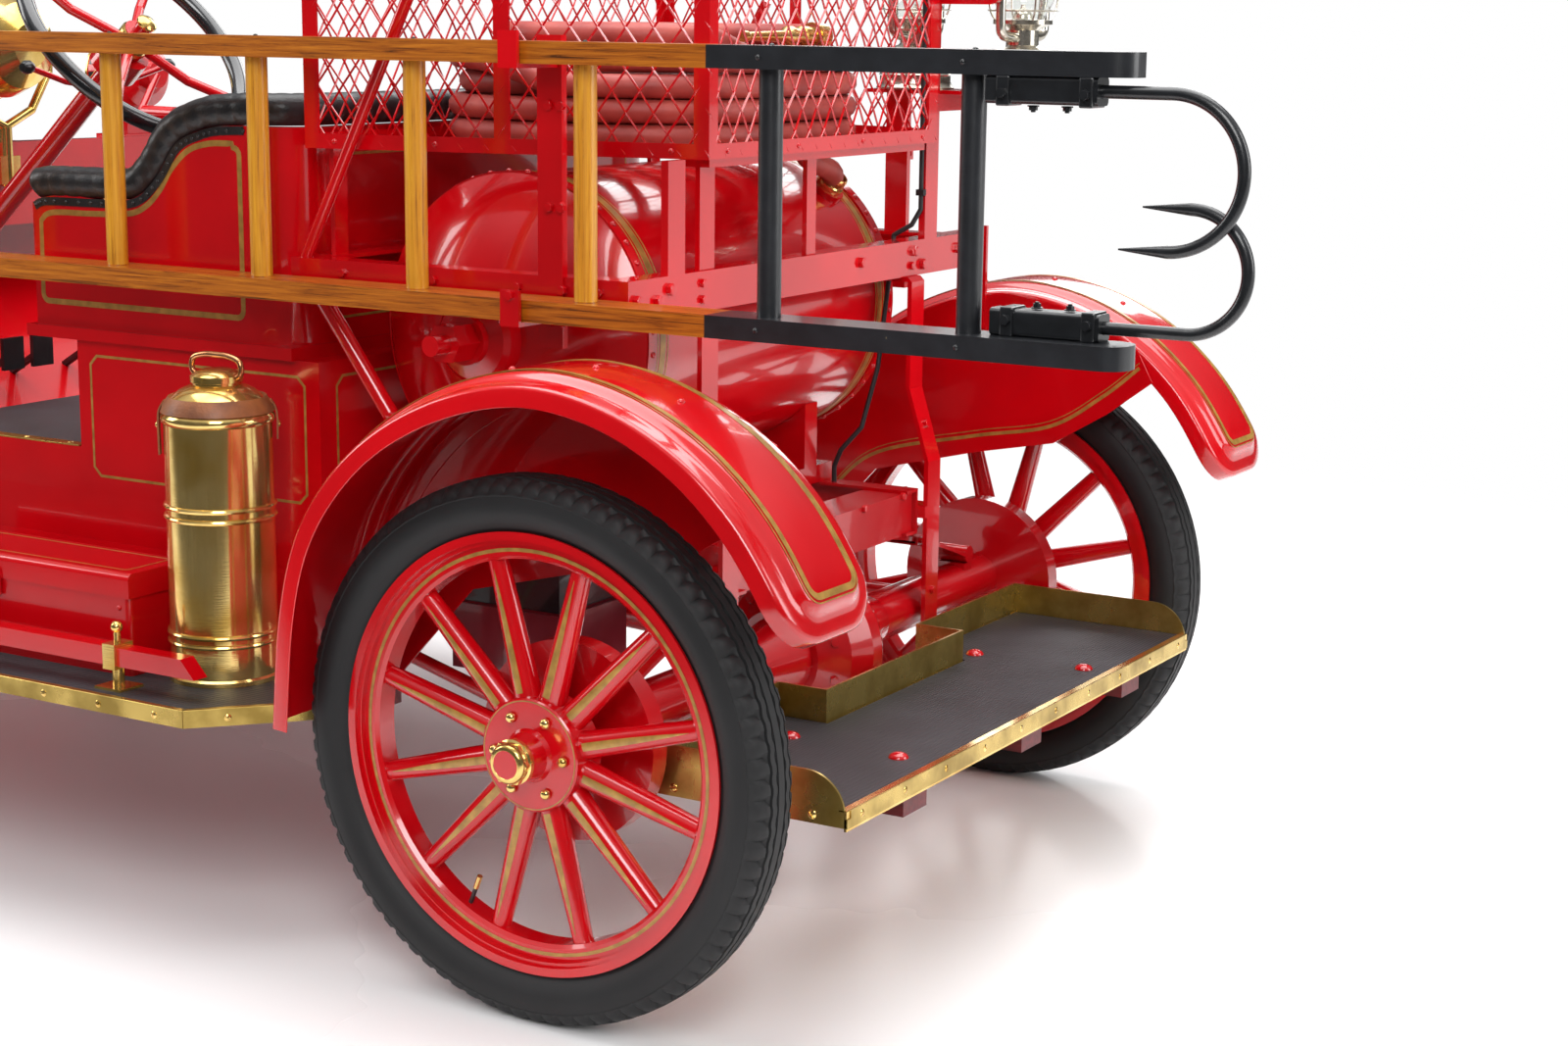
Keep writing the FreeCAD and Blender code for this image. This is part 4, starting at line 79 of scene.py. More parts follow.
RUNG_LOW, RUNG_HIGH, PAINT_END = 0.979, 1.297, -1.203  # in metres, as a material reads them
RADIATOR_FACE = 2576.0
CYLINDERS, CYLINDER_REAR, CYLINDER_PITCH = 4, 2015, 110
STEERING_TOP, STEERING_AXIS = Vector((1121, 290, 1315)), Vector((-0.743145, 0, 0.669131))
SIREN = Vector((1772, -345, 1236))
SIDES = (("left", 1), ("right", -1))
X, Z = (1, 0, 0), (0, 0, 1)


def row(x, y, z):
    """A point of the drawing, in metres of the model's own frame."""
    return Vector(((x + AXLE_SHIFT) / 1000, y / 1000, z / 1000))


# Colours and nodes
def srgb(text):
    """Linear colour of an sRGB hex value such as 'B3101C'."""
    parts = [int(text[i:i + 2], 16) / 255 for i in (0, 2, 4)]
    return tuple(c / 12.92 if c <= 0.04045 else ((c + 0.055) / 1.055) ** 2.4 for c in parts) + (1,)


def give(tree, node, values):
    """Set a node's inputs, or link them where the value is a socket."""
    for key, value in values.items():
        if isinstance(value, bpy.types.NodeSocket):
            tree.links.new(value, node.inputs[key])
        else:
            node.inputs[key].default_value = value


def add(tree, kind, inputs=None, **settings):
    """Add a node, set its properties, and give its inputs values or links."""
    node = tree.nodes.new(kind)
    for name, value in settings.items():
        setattr(node, name, value)
    give(tree, node, inputs or {})
    return node


def maths(tree, operation, a, b):
    return add(tree, "ShaderNodeMath", {0: a, 1: b}, operation=operation).outputs[0]


def noise(tree, place, scale, detail, **more):
    """Cloudy pattern, from 0 to 1."""
    return add(tree, "ShaderNodeTexNoise", {"Vector": place, "Scale": scale, "Detail": detail,
                                            **more}).outputs["Fac"]


def stretched(tree, place, scale):
    return add(tree, "ShaderNodeMapping", {"Vector": place, "Scale": scale}).outputs[0]


def ramp(tree, value, *stops):
    """Colour ramp with its stops as (place, hex) pairs."""
    node = add(tree, "ShaderNodeValToRGB", {"Fac": value})
    elements = node.color_ramp.elements
    while len(elements) < len(stops):
        elements.new(0.5)
    for element, (place, text) in zip(elements, stops):
        element.position = place
        element.color = srgb(text)
    return node.outputs["Color"]


def mixed(tree, share, first, second):
    return add(tree, "ShaderNodeMix", {0: share, 6: first, 7: second},
               data_type="RGBA").outputs[2]


def mapped(tree, value, low, high, start=0.0, stop=1.0, **settings):
    """A value from start to stop, drawn out from low to high."""
    return add(tree, "ShaderNodeMapRange", {"Value": value, "From Min": start, "From Max": stop,
                                            "To Min": low, "To Max": high}, **settings).outputs[0]


def relief(tree, height, strength, distance):
    return add(tree, "ShaderNodeBump", {"Height": height, "Strength": strength,
                                        "Distance": distance}).outputs["Normal"]


def blank(name):
    """New material with one shader, and the object coordinates that its patterns read."""
    material = bpy.data.materials.new(name)
    material.use_nodes = True
    tree = material.node_tree
    tree.nodes.clear()
    shader = add(tree, "ShaderNodeBsdfPrincipled")
    add(tree, "ShaderNodeOutputMaterial", {"Surface": shader.outputs["BSDF"]})
    return material, tree, add(tree, "ShaderNodeTexCoord").outputs["Object"]


def coat(material, values):
    """Give the material's shader its values."""
    tree = material.node_tree
    give(tree, tree.nodes["Principled BSDF"], values)
    return material


def coach_enamel(name, light, deep, rough=0.16):
    """Varnished coach enamel: deep colour under a clear coat, faint brush flow in it."""
    material, tree, place = blank(name)
    flow = maths(tree, "ADD", noise(tree, place, 9.0, 1.0), noise(tree, place, 150.0, 2.0))
    return coat(material, {
        "Base Color": ramp(tree, noise(tree, place, 4.0, 3.0), (0.3, deep), (0.7, light)),
        "Roughness": rough, "Coat Weight": 0.7, "Coat Roughness": 0.03,
        "Normal": relief(tree, flow, 0.1, 0.0007)})


def polished_metal(name, light, deep, rough, scratch=60.0):
    """Hand-polished metal: bright, with cloudy wiping marks and fine lines along it."""
    material, tree, place = blank(name)
    cloud = noise(tree, place, 14.0, 4.0)
    lines = noise(tree, stretched(tree, place, (4.0, 4.0, scratch)), 9.0, 5.0)
    return coat(material, {
        "Base Color": ramp(tree, cloud, (0.35, deep), (0.6, light)), "Metallic": 0.9,
        "Roughness": mapped(tree, cloud, rough * 1.9, rough, 0.3, 0.7),
        "Normal": relief(tree, lines, 0.12, 0.0006)})


def ladder_ash(name):
    """Varnished ash rails, yellower rungs, and a black painted rear end with small chips."""
    material, tree, place = blank(name)
    xyz = add(tree, "ShaderNodeSeparateXYZ", {"Vector": place}).outputs
    figures = [noise(tree, stretched(tree, place, scale), 2.2, 7.0, Roughness=0.72,
                     Distortion=0.6) for scale in ((3.0, 95.0, 95.0), (95.0, 95.0, 3.0))]
    rail = ramp(tree, figures[0], (0.33, "3A1804"), (0.45, "99500A"), (0.66, "C4751A"))
    rung = ramp(tree, figures[1], (0.3, "6A3A08"), (0.43, "C4811A"), (0.68, "DFA42F"))
    between = maths(tree, "MULTIPLY", maths(tree, "GREATER_THAN", xyz["Z"], RUNG_LOW),
                    maths(tree, "LESS_THAN", xyz["Z"], RUNG_HIGH))
    black = ramp(tree, noise(tree, place, 46.0, 5.0), (0.2, "17181B"), (0.745, "232529"),
                 (0.76, "8E7C5C"))
    painted = maths(tree, "LESS_THAN", xyz["X"], PAINT_END)
    return coat(material, {
        "Base Color": mixed(tree, painted, mixed(tree, between, rail, rung), black),
        "Roughness": mapped(tree, painted, 0.32, 0.36), "Coat Weight": 0.35,
        "Coat Roughness": 0.12, "Normal": relief(tree, figures[0], 0.25, 0.001)})


def grained_leather(name, light, deep, rough=0.42):
    """Upholstery leather: small pebbled grain and soft shine on the crowns."""
    material, tree, place = blank(name)
    cells = add(tree, "ShaderNodeTexVoronoi", {"Vector": place, "Scale": 260.0})
    soft = noise(tree, place, 22.0, 4.0)
    return coat(material, {
        "Base Color": ramp(tree, soft, (0.3, deep), (0.7, light)), "Roughness": rough,
        "Coat Weight": 0.15, "Coat Roughness": 0.25,
        "Normal": relief(tree, maths(tree, "ADD", cells.outputs["Distance"], soft), 0.4, 0.0008)})


def ribbed_mat(name, along, pitch):
    """Rubber matting with fine ribs, drawn at twice their real pitch so that they show."""
    material, tree, place = blank(name)
    ribs = add(tree, "ShaderNodeTexWave", {"Vector": place, "Scale": 1 / pitch / 20 * 6.283},
               bands_direction=along)
    return coat(material, {
        "Base Color": ramp(tree, noise(tree, place, 11.0, 6.0), (0.3, "1C1D20"),
                           (0.7, "2E2F33")),
        "Roughness": 0.55, "Normal": relief(tree, ribs.outputs["Fac"], 0.6, 0.0012)})


def lamp_glass(name):
    """Blown lamp glass: clear, slightly wavy."""
    material, tree, place = blank(name)
    return coat(material, {
        "Base Color": srgb("F4F6F4"), "Roughness": 0.03, "IOR": 1.5,
        "Transmission Weight": 1.0,
        "Normal": relief(tree, noise(tree, place, 30.0, 1.0), 0.1, 0.001)})


def two_tone(name, base, other, test):
    """A plain finish whose second colour takes over where a test on the place says so."""
    material, tree, place = blank(name)
    cloud = noise(tree, place, 8.0, 3.0)
    tints = [ramp(tree, cloud, (0.3, low), (0.7, high)) for low, high in (base, other)]
    return coat(material, {
        "Base Color": mixed(tree, test(tree, place), *tints), "Roughness": 0.2,
        "Coat Weight": 0.6, "Coat Roughness": 0.05, "Normal": relief(tree, cloud, 0.1, 0.001)})


def on_the_rim(tree, place):
    """The steering wheel's rim, 176 mm or more from the middle of the wheel."""
    away = add(tree, "ShaderNodeVectorMath", {0: place, 1: row(*STEERING_TOP)},
               operation="DISTANCE")
    return maths(tree, "GREATER_THAN", away.outputs["Value"], 0.176)


def above_carrier(tree, place):
    """The battery's case, above the carrier that holds it."""
    xyz = add(tree, "ShaderNodeSeparateXYZ", {"Vector": place})
    return maths(tree, "GREATER_THAN", xyz.outputs["Z"], 0.502)


def cloudy(name, pattern, stops, height, values):
    """One cloudy tint, and relief from the same pattern or from a finer one."""
    material, tree, place = blank(name)
    scale, detail, *stretch = pattern
    cloud = noise(tree, stretched(tree, place, *stretch) if stretch else place, scale, detail)
    values = {"Base Color": ramp(tree, cloud, *stops), **values}
    if height:
        strength, distance, *fine = height
        values["Normal"] = relief(tree, noise(tree, place, *fine) if fine else cloud, strength,
                                  distance)
    return coat(material, values)


# Name, pattern (scale, detail, stretch), tint, relief (strength, distance, and the scale and
# detail of a finer pattern), and the shader's other values
CLOUDY = {
    # Striping enamel in old gold, laid by a brush a few millimetres wide
    "gold": ("old_gold_striping", (60.0, 3.0), ((0.3, "8F6A2C"), (0.7, "B98D42")), None,
             {"Metallic": 0.25, "Roughness": 0.38, "Coat Weight": 0.4, "Coat Roughness": 0.08}),
    # Brushed black enamel on iron, a little dusty, with a few pale chips
    "black": ("black_enamel", (55.0, 5.0), ((0.25, "131416"), (0.74, "1E2023"),
                                            (0.765, "6E6A62")), (0.15, 0.001),
              {"Roughness": 0.3, "Coat Weight": 0.3, "Coat Roughness": 0.1}),
    # Moulded tyre rubber: matte, slightly grey with dust, fine mould texture
    "tyre": ("tyre_rubber", (6.0, 6.0), ((0.3, "141415"), (0.7, "1F1F20")),
             (0.3, 0.0006, 420.0, 3.0), {"Roughness": 0.62, "Specular IOR Level": 0.4}),
    # Old hose rubber: dull, stained, with a faint cloth print all over
    "hose": ("red_rubber_hose", (16.0, 5.0), ((0.3, "8A2F2A"), (0.55, "A6423A"),
                                              (0.75, "B65548")),
             (0.25, 0.0008, 300.0, 2.0), {"Roughness": 0.5}),
    # The same rubber in black, round the lamp's wires
    "cable": ("black_rubber_cable", (16.0, 5.0), ((0.3, "121315"), (0.7, "1E1F22")),
              (0.25, 0.0008, 300.0, 2.0), {"Roughness": 0.5}),
    # Oak blocks in dull dark red paint, grain showing through
    "timber": ("dark_red_timber", (2.0, 6.0, (3.0, 60.0, 60.0)), ((0.3, "4A0C10"),
                                                                  (0.7, "6E141A")),
               (0.4, 0.001), {"Roughness": 0.45}),
    # Cast and drawn iron in heat-dulled black paint
    "iron": ("sooty_iron", (30.0, 8.0), ((0.3, "1A1917"), (0.7, "35312C")), (0.4, 0.0015),
             {"Roughness": 0.6, "Metallic": 0.3}),
    # The radiator's core, black from heat
    "core": ("radiator_core_fins", (30.0, 8.0), ((0.3, "1A1917"), (0.7, "35312C")),
             (0.4, 0.0015), {"Roughness": 0.6, "Metallic": 0.3}),
}
BLACKS = ("151618", "232528")
# Finish key of the solids, other than red
NODE_FINISH = {
    "chassis": ("chassis_frame", "rear_axle", "springs", "front_axle", "knuckle_left",
                "knuckle_right", "tie_rod"),
    "ladder": ("ladder",),
    "black": ("ladder_hook_sockets", "roof_hook_upper", "roof_hook_lower", "pedals"),
    "brass": ("extinguishers", "side_bar_posts", "searchlight", "headlights", "board_brass",
              "hose_nozzle"),
    "cable": ("lamp_cable",),
    "sheet_brass": ("rear_step",),
    "nickel": ("lanterns",),
    "leather": ("seat_cushion", "seat_back_pad", "seat_roll"),
    "timber": ("step_timbers", "running_boards"),
    "iron": ("exhaust", "engine_block"),
    "wheel_rim": ("steering_wheel",),
    "battery": ("battery_box",),
    "hose": ("hose_coil", "hose_lead"),
}
finishes, trees, forms, surfaces = {}, {}, {}, {}


def mix_finishes(settings):
    """Make every finish once, from the colours that the panel holds."""
    light, deep = settings.enamel_light, settings.enamel_deep
    finishes.update({key: cloudy(*values) for key, values in CLOUDY.items()})
    finishes.update({
        "red": coach_enamel("crimson_coach_enamel", light, deep),
        "chassis": coach_enamel("chassis_red_enamel", settings.chassis_red, deep, 0.24),
        "brass": polished_metal("polished_brass", settings.brass_light, settings.brass_deep, 0.1),
        "sheet_brass": polished_metal("rolled_sheet_brass", "CDB062", "9C8240", 0.2, 8.0),
        "nickel": polished_metal("polished_nickel", "D9D3C6", "A79F90", 0.12),
        "copper": polished_metal("polished_copper", "E0A070", "A8653C", 0.14),
        "ladder": ladder_ash("varnished_ash_ladder"),
        "leather": grained_leather("black_upholstery_leather", "1D1D20", "0E0E10"),
        "strap": grained_leather("tan_strap_leather", "9A5A2C", "5F3216", 0.55),
        "mat": ribbed_mat("ribbed_running_board_mat", "Y", 0.008),
        "step_mat": ribbed_mat("step_rubber_mat", "X", 0.006),
        "glass": lamp_glass("lamp_glass"),
        "wheel_rim": two_tone("steering_wheel_enamel", (deep, light), BLACKS, on_the_rim),
        "battery": two_tone("battery_and_carrier", ("5E1A22", "7A2630"), BLACKS, above_carrier),
    })


# Shapes: (points, faces), in the drawing's millimetres
def ring_faces(rows, columns, closed=True, looped=False):
    """Quads between rings of points; closed joins a ring's ends, looped the last to the first."""
    return [(r * columns + c, r * columns + (c + 1) % columns,
             (r + 1) % rows * columns + (c + 1) % columns, (r + 1) % rows * columns + c)
            for r in range(rows if looped else rows - 1)
            for c in range(columns if closed else columns - 1)]


def caps(rows, columns):
    """Faces that shut the first and the last ring."""
    return [tuple(range(columns)), tuple(range((rows - 1) * columns, rows * columns))]


def spin(count, start=0.0):
    """Unit vectors at even turns about Y; start is a share of one turn's step."""
    turns = [2 * math.pi * (k + start) / count for k in range(count)]
    return [Vector((math.cos(turn), 0, math.sin(turn))) for turn in turns]


def turned(profile, centre, axis, steps=48, looped=False):
    """Turn (radius, along) points about an axis through centre; ends on the axis close."""
    axis, centre = Vector(axis).normalized(), Vector(centre)
    side = axis.orthogonal().normalized()
    other = axis.cross(side)
    turns = [2 * math.pi * step / steps for step in range(steps)]
    return [centre + axis * along + (side * math.cos(turn) + other * math.sin(turn))
            * max(radius, 0.001) for radius, along in profile for turn in turns], \
        ring_faces(len(profile), steps, looped=looped)


def along_path(points, radius, sides=10, closed=False):
    """Tube round a path, its frame carried along without twist."""
    points = [Vector(p) for p in points]
    count = len(points)
    verts, normal = [], None
    for index, point in enumerate(points):
        before = points[index - 1] if index or closed else point
        after = points[(index + 1) % count] if index < count - 1 or closed else point
        way = (after - before).normalized()
        if normal is None:
            normal = way.orthogonal().normalized()
        normal = (normal - way * normal.dot(way)).normalized()
        side = way.cross(normal)
        for k in range(sides):
            turn = 2 * math.pi * k / sides
            verts.append(point + (normal * math.cos(turn) + side * math.sin(turn)) * radius)
    faces = ring_faces(count, sides, looped=closed)
    return verts, faces if closed else faces + caps(count, sides)


def prism(low, high):
    """Solid between two outlines with as many points."""
    count = len(low)
    return list(low) + list(high), ring_faces(2, count) + caps(2, count)


def slab(outline, low, high):
    """Flat plate between two heights from (x, y) points."""
    return prism(*[[Vector((x, y, z)) for x, y in outline] for z in (low, high)])


def brick(x0, x1, y0, y1, z0, z1):
    return slab([(x0, y0), (x1, y0), (x1, y1), (x0, y1)], z0, z1)


def rounded(x0, x1, y0, y1, radius, steps=6):
    """Corner points of a rectangle with rounded corners."""
    points = []
    for cx, cy, start in ((x1, y1, 0), (x0, y1, 90), (x0, y0, 180), (x1, y0, 270)):
        cx += radius if cx == x0 else -radius
        cy += radius if cy == y0 else -radius
        for step in range(steps + 1):
            turn = math.radians(start + 90 * step / steps)
            points.append((cx + radius * math.cos(turn), cy + radius * math.sin(turn)))
    return points


def joined(*shapes):
    verts, faces = [], []
    for new_verts, new_faces in shapes:
        base = len(verts)
        verts += list(new_verts)
        faces += [tuple(base + k for k in face) for face in new_faces]
    return verts, faces


def smooth_line(points, steps=8, closed=False):
    """Catmull-Rom curve through points, given as (x, y, z) or as (x, z)."""
    points = [Vector(p) if len(p) == 3 else Vector((p[0], 0, p[1])) for p in points]
    count = len(points)
    made = []
    for index in range(count if closed else count - 1):
        a = points[(index - 1) % count] if closed or index else points[0] * 2 - points[1]
        b, c = points[index], points[(index + 1) % count]
        d = (points[(index + 2) % count] if closed or index < count - 2
             else points[-1] * 2 - points[-2])
        for step in range(steps):
            t = step / steps
            made.append(0.5 * ((2 * b) + (c - a) * t + (2 * a - 5 * b + 4 * c - d) * t * t
                               + (3 * b - a - 3 * c + d) * t ** 3))
    return made if closed else made + [points[-1]]


# Pieces
def linked(name, data):
    """New object with this data, in the scene."""
    item = bpy.data.objects.new(name, data)
    bpy.context.scene.collection.objects.link(item)
    return item


def welded(name, points, faces, merge=0.00002):
    """Mesh of points in metres, doubles merged and faces turned outward."""
    mesh = bpy.data.meshes.new(name)
    mesh.from_pydata(points, [], faces)
    work = bmesh.new()
    work.from_mesh(mesh)
    bmesh.ops.remove_doubles(work, verts=work.verts, dist=merge)
    bmesh.ops.recalc_face_normals(work, faces=work.faces)
    work.to_mesh(mesh)
    work.free()
    return mesh


def plain_mesh(item):
    """The object's mesh with its modifiers applied; they are removed."""
    seen = item.evaluated_get(bpy.context.evaluated_depsgraph_get())
    made = bpy.data.meshes.new_from_object(seen)
    item.modifiers.clear()
    return made


def put(name, shape, finish, body="vehicle", replaces=(), soft=True, bevel=0.0):
    """Make a piece from a shape and let it ride on its body."""
    mesh = welded(name, [row(*v) for v in shape[0]], shape[1])
    return settle(name, mesh, finish, body, replaces, soft, bevel)


def settle(name, mesh, finish, body, replaces=(), soft=True, bevel=0.0, subdivide=0):
    mesh.materials.clear()
    mesh.materials.append(finishes[finish])
    for face in mesh.polygons:
        face.use_smooth = soft
    if soft:
        mesh.set_sharp_from_angle(angle=math.radians(38))
    piece = linked(name, mesh)
    if bevel:
        rounding = piece.modifiers.new("edges", "BEVEL")
        rounding.width = bevel
        rounding.segments = 2
    if subdivide:
        finer = piece.modifiers.new("finer", "SUBSURF")
        finer.levels = finer.render_levels = subdivide
    if replaces:
        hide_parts(*replaces)
    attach(piece, body)
    return piece


# Geometry node trees
def new_tree(name, *sockets):
    """Tree with a geometry going in and out, a finish, and (name, kind, default) sockets."""
    tree = bpy.data.node_groups.new(name, "GeometryNodeTree")
    tree.interface.new_socket("Geometry", in_out="INPUT", socket_type="NodeSocketGeometry")
    for label, kind, value in (("Finish", "Material", None),) + sockets:
        socket = tree.interface.new_socket(label, in_out="INPUT",
                                           socket_type="NodeSocket" + kind)
        if value is not None:
            socket.default_value = value
    tree.interface.new_socket("Geometry", in_out="OUTPUT", socket_type="NodeSocketGeometry")
    return tree, add(tree, "NodeGroupInput").outputs


def end_tree(tree, geometry, finish):
    real = add(tree, "GeometryNodeRealizeInstances", {"Geometry": geometry})
    coated = add(tree, "GeometryNodeSetMaterial", {"Geometry": real.outputs[0],
                                                   "Material": finish})
    add(tree, "NodeGroupOutput", {"Geometry": coated.outputs[0]})
    return tree


def stored(tree, name):
    return add(tree, "GeometryNodeInputNamedAttribute", {"Name": name},
               data_type="FLOAT_VECTOR").outputs[0]


def fastener_tree():
    """One small form on each point, its Z along 'up' and its X along 'along'."""
    tree, given = new_tree("set_on_points", ("Form", "Object", None), ("Size", "Float", 1.0))
    turn = add(tree, "FunctionNodeAxesToRotation", {0: stored(tree, "up"),
                                                    1: stored(tree, "along")},
               primary_axis="Z", secondary_axis="X")
    form = add(tree, "GeometryNodeObjectInfo", {"Object": given["Form"]})
    spots = add(tree, "GeometryNodeInstanceOnPoints", {
        "Points": given["Geometry"], "Instance": form.outputs["Geometry"],
        "Rotation": turn.outputs[0], "Scale": given["Size"]})
    return end_tree(tree, spots.outputs[0], given["Finish"])


def line_tree():
    """Flat painted line along a path, lying square to 'up'."""
    tree, given = new_tree("painted_line", ("Width", "Float", 0.004),
                           ("Thickness", "Float", 0.0006))
    path = add(tree, "GeometryNodeMeshToCurve", {"Mesh": given["Geometry"]})
    held = add(tree, "GeometryNodeSetCurveNormal", {"Curve": path.outputs[0],
                                                    "Normal": stored(tree, "up")}, mode="FREE")
    section = add(tree, "GeometryNodeCurvePrimitiveQuadrilateral",
                  {"Width": given["Thickness"], "Height": given["Width"]})
    strip = add(tree, "GeometryNodeCurveToMesh", {"Curve": held.outputs[0],
                                                  "Profile Curve": section.outputs[0],
                                                  "Fill Caps": True})
    return end_tree(tree, strip.outputs[0], given["Finish"])


def wire_tree():
    """Woven wire: one crossing pair of crimped wires on every point of a grid."""
    tree, given = new_tree("woven_wire", ("Columns", "Int", 20), ("Rows", "Int", 12),
                           ("Cell Width", "Float", 0.03), ("Cell Height", "Float", 0.036),
                           ("Wire", "Float", 0.0016), ("Crimp", "Float", 0.0014))
    half_w, half_h = [maths(tree, "MULTIPLY", given[size], 0.5)
                      for size in ("Cell Width", "Cell Height")]
    back_w, back_h, away = [maths(tree, "MULTIPLY", size, -1.0)
                            for size in (half_w, half_h, given["Crimp"])]
    pair = add(tree, "GeometryNodeJoinGeometry")
    for left, right, end, middle in ((back_h, half_h, away, given["Crimp"]),
                                     (half_h, back_h, given["Crimp"], away)):
        start, centre, stop = [add(tree, "ShaderNodeCombineXYZ", place).outputs[0] for place in (
            {0: back_w, 1: left, 2: end}, {2: middle}, {0: half_w, 1: right, 2: end})]
        for a, b in ((start, centre), (centre, stop)):
            wire = add(tree, "GeometryNodeCurvePrimitiveLine", {"Start": a, "End": b})
            tree.links.new(wire.outputs[0], pair.inputs[0])
    section = add(tree, "GeometryNodeCurvePrimitiveCircle", {"Resolution": 5,
                                                             "Radius": given["Wire"]})
    cell = add(tree, "GeometryNodeCurveToMesh", {"Curve": pair.outputs[0],
                                                 "Profile Curve": section.outputs[0]})
    spans = [maths(tree, "MULTIPLY", maths(tree, "SUBTRACT", given[count], 1.0), given[size])
             for count, size in (("Columns", "Cell Width"), ("Rows", "Cell Height"))]
    grid = add(tree, "GeometryNodeMeshGrid", {"Size X": spans[0], "Size Y": spans[1],
                                              "Vertices X": given["Columns"],
                                              "Vertices Y": given["Rows"]})
    panel = add(tree, "GeometryNodeInstanceOnPoints", {"Points": grid.outputs[0],
                                                       "Instance": cell.outputs[0]})
    return end_tree(tree, panel.outputs[0], given["Finish"])


def grown(name, tree, finish, points, edges=(), attributes=None, place=None, body="vehicle",
          slot=None, **values):
    """Grow a piece with a node tree, then keep its plain mesh only."""
    mesh = bpy.data.meshes.new(name + "_base")
    mesh.from_pydata([tuple(p) for p in points], list(edges), [])
    for key, vectors in (attributes or {}).items():
        layer = mesh.attributes.new(key, "FLOAT_VECTOR", "POINT")
        layer.data.foreach_set("vector", [c for v in vectors for c in v])
    base = linked(name + "_base", mesh)
    modifier = base.modifiers.new("grow", "NODES")
    modifier.node_group = trees[tree]
    values["Finish"] = finishes[finish]
    for item in trees[tree].interface.items_tree:
        if item.in_out == "INPUT" and item.name in values:
            modifier[item.identifier] = values[item.name]
    made = plain_mesh(base)
    bpy.data.objects.remove(base)
    made.name = name
    if place is not None:
        made.transform(place)
    return settle(name, made, finish, body)


def fasten(name, form, finish, spots, body="vehicle", size=1.0, slot=None):
    """Set a small form on each (point, up), turned at random about its up."""
    chance = random.Random(3)
    points = [row(*point) for point, _ in spots]
    ups = [Vector(up).normalized() for _, up in spots]
    alongs = [Matrix.Rotation(chance.uniform(0, 6.28), 3, up) @ up.orthogonal() for up in ups]
    return grown(name, "fastener", finish, points, attributes={"up": ups, "along": alongs},
                 body=body, slot=slot, Form=forms[form], Size=size)


def stripe(name, lines, width, finish="gold", body="vehicle", thick=0.5, closed=False,
           lift=0.15):
    """Painted lines or straps; each line is a list of (point, up) on the surface."""
    points, ups, edges = [], [], []
    for line in lines:
        base, count = len(points), len(line)
        for point, up in line:
            up = Vector(up).normalized()
            points.append(row(*(Vector(point) + up * lift)))
            ups.append(up)
        edges += [(base + k, base + k + 1) for k in range(count - 1)]
        if closed:
            edges.append((base + count - 1, base))
    return grown(name, "line", finish, points, edges, {"up": ups}, body=body,
                 Width=width / 1000, Thickness=thick / 1000)


def on_surface(node, point, way, reach=400.0):
    """Where a look along way from point first meets a CAD node: (point, normal) in mm."""
    if node not in surfaces:
        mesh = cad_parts[node].data
        surfaces[node] = BVHTree.FromPolygons([v.co for v in mesh.vertices],
                                              [tuple(p.vertices) for p in mesh.polygons])
    hit, normal, _, _ = surfaces[node].ray_cast(row(*point), Vector(way).normalized(),
                                                reach / 1000)
    if hit is None:
        return None
    if normal.dot(Vector(way)) > 0:
        normal = -normal
    return Vector((hit.x * 1000 - AXLE_SHIFT, hit.y * 1000, hit.z * 1000)), normal


def met(node, looks, reach=400.0):
    """What (point, way) looks meet on a CAD node, leaving out those that miss it."""
    hits = [on_surface(node, point, way, reach) for point, way in looks]
    return [hit for hit in hits if hit]


def tone(label, use, value):
    return bpy.props.StringProperty(name=label, description=use, default=value)


class EngineColours(bpy.types.PropertyGroup):
    """Finishes a user would change, as sRGB hex values."""
    enamel_light: tone("Enamel, light", "Lighter tone of the crimson coach enamel", "CC0410")
    enamel_deep: tone("Enamel, deep", "Deeper tone of the crimson coach enamel", "B2020C")
    chassis_red: tone("Chassis red", "Red of the frame, axles and springs", "B8040F")
    brass_light: tone("Brass, light", "Bright tone of the polished brass", "F0D084")
    brass_deep: tone("Brass, deep", "Deep tone of the polished brass", "CDA652")


class EngineSizes(bpy.types.PropertyGroup):
    """Sizes a user would change."""
    wire_cell: bpy.props.FloatProperty(
        name="Wire cell", description="Width of one diamond of the basket's wire",
        default=0.044, min=0.01, max=0.1, subtype="DISTANCE", unit="LENGTH")
    wire_radius: bpy.props.FloatProperty(
        name="Wire radius", description="Half the thickness of the basket's wire",
        default=0.0017, min=0.0005, max=0.005, subtype="DISTANCE", unit="LENGTH")
    stripe_width: bpy.props.FloatProperty(
        name="Stripe width", description="Width of the gold lines, in millimetres",
        default=4.5, min=1.0, max=12.0)
    tread_pitch: bpy.props.IntProperty(
        name="Tread notches", description="Notches round each tyre's shoulder",
        default=84, min=24, max=160)


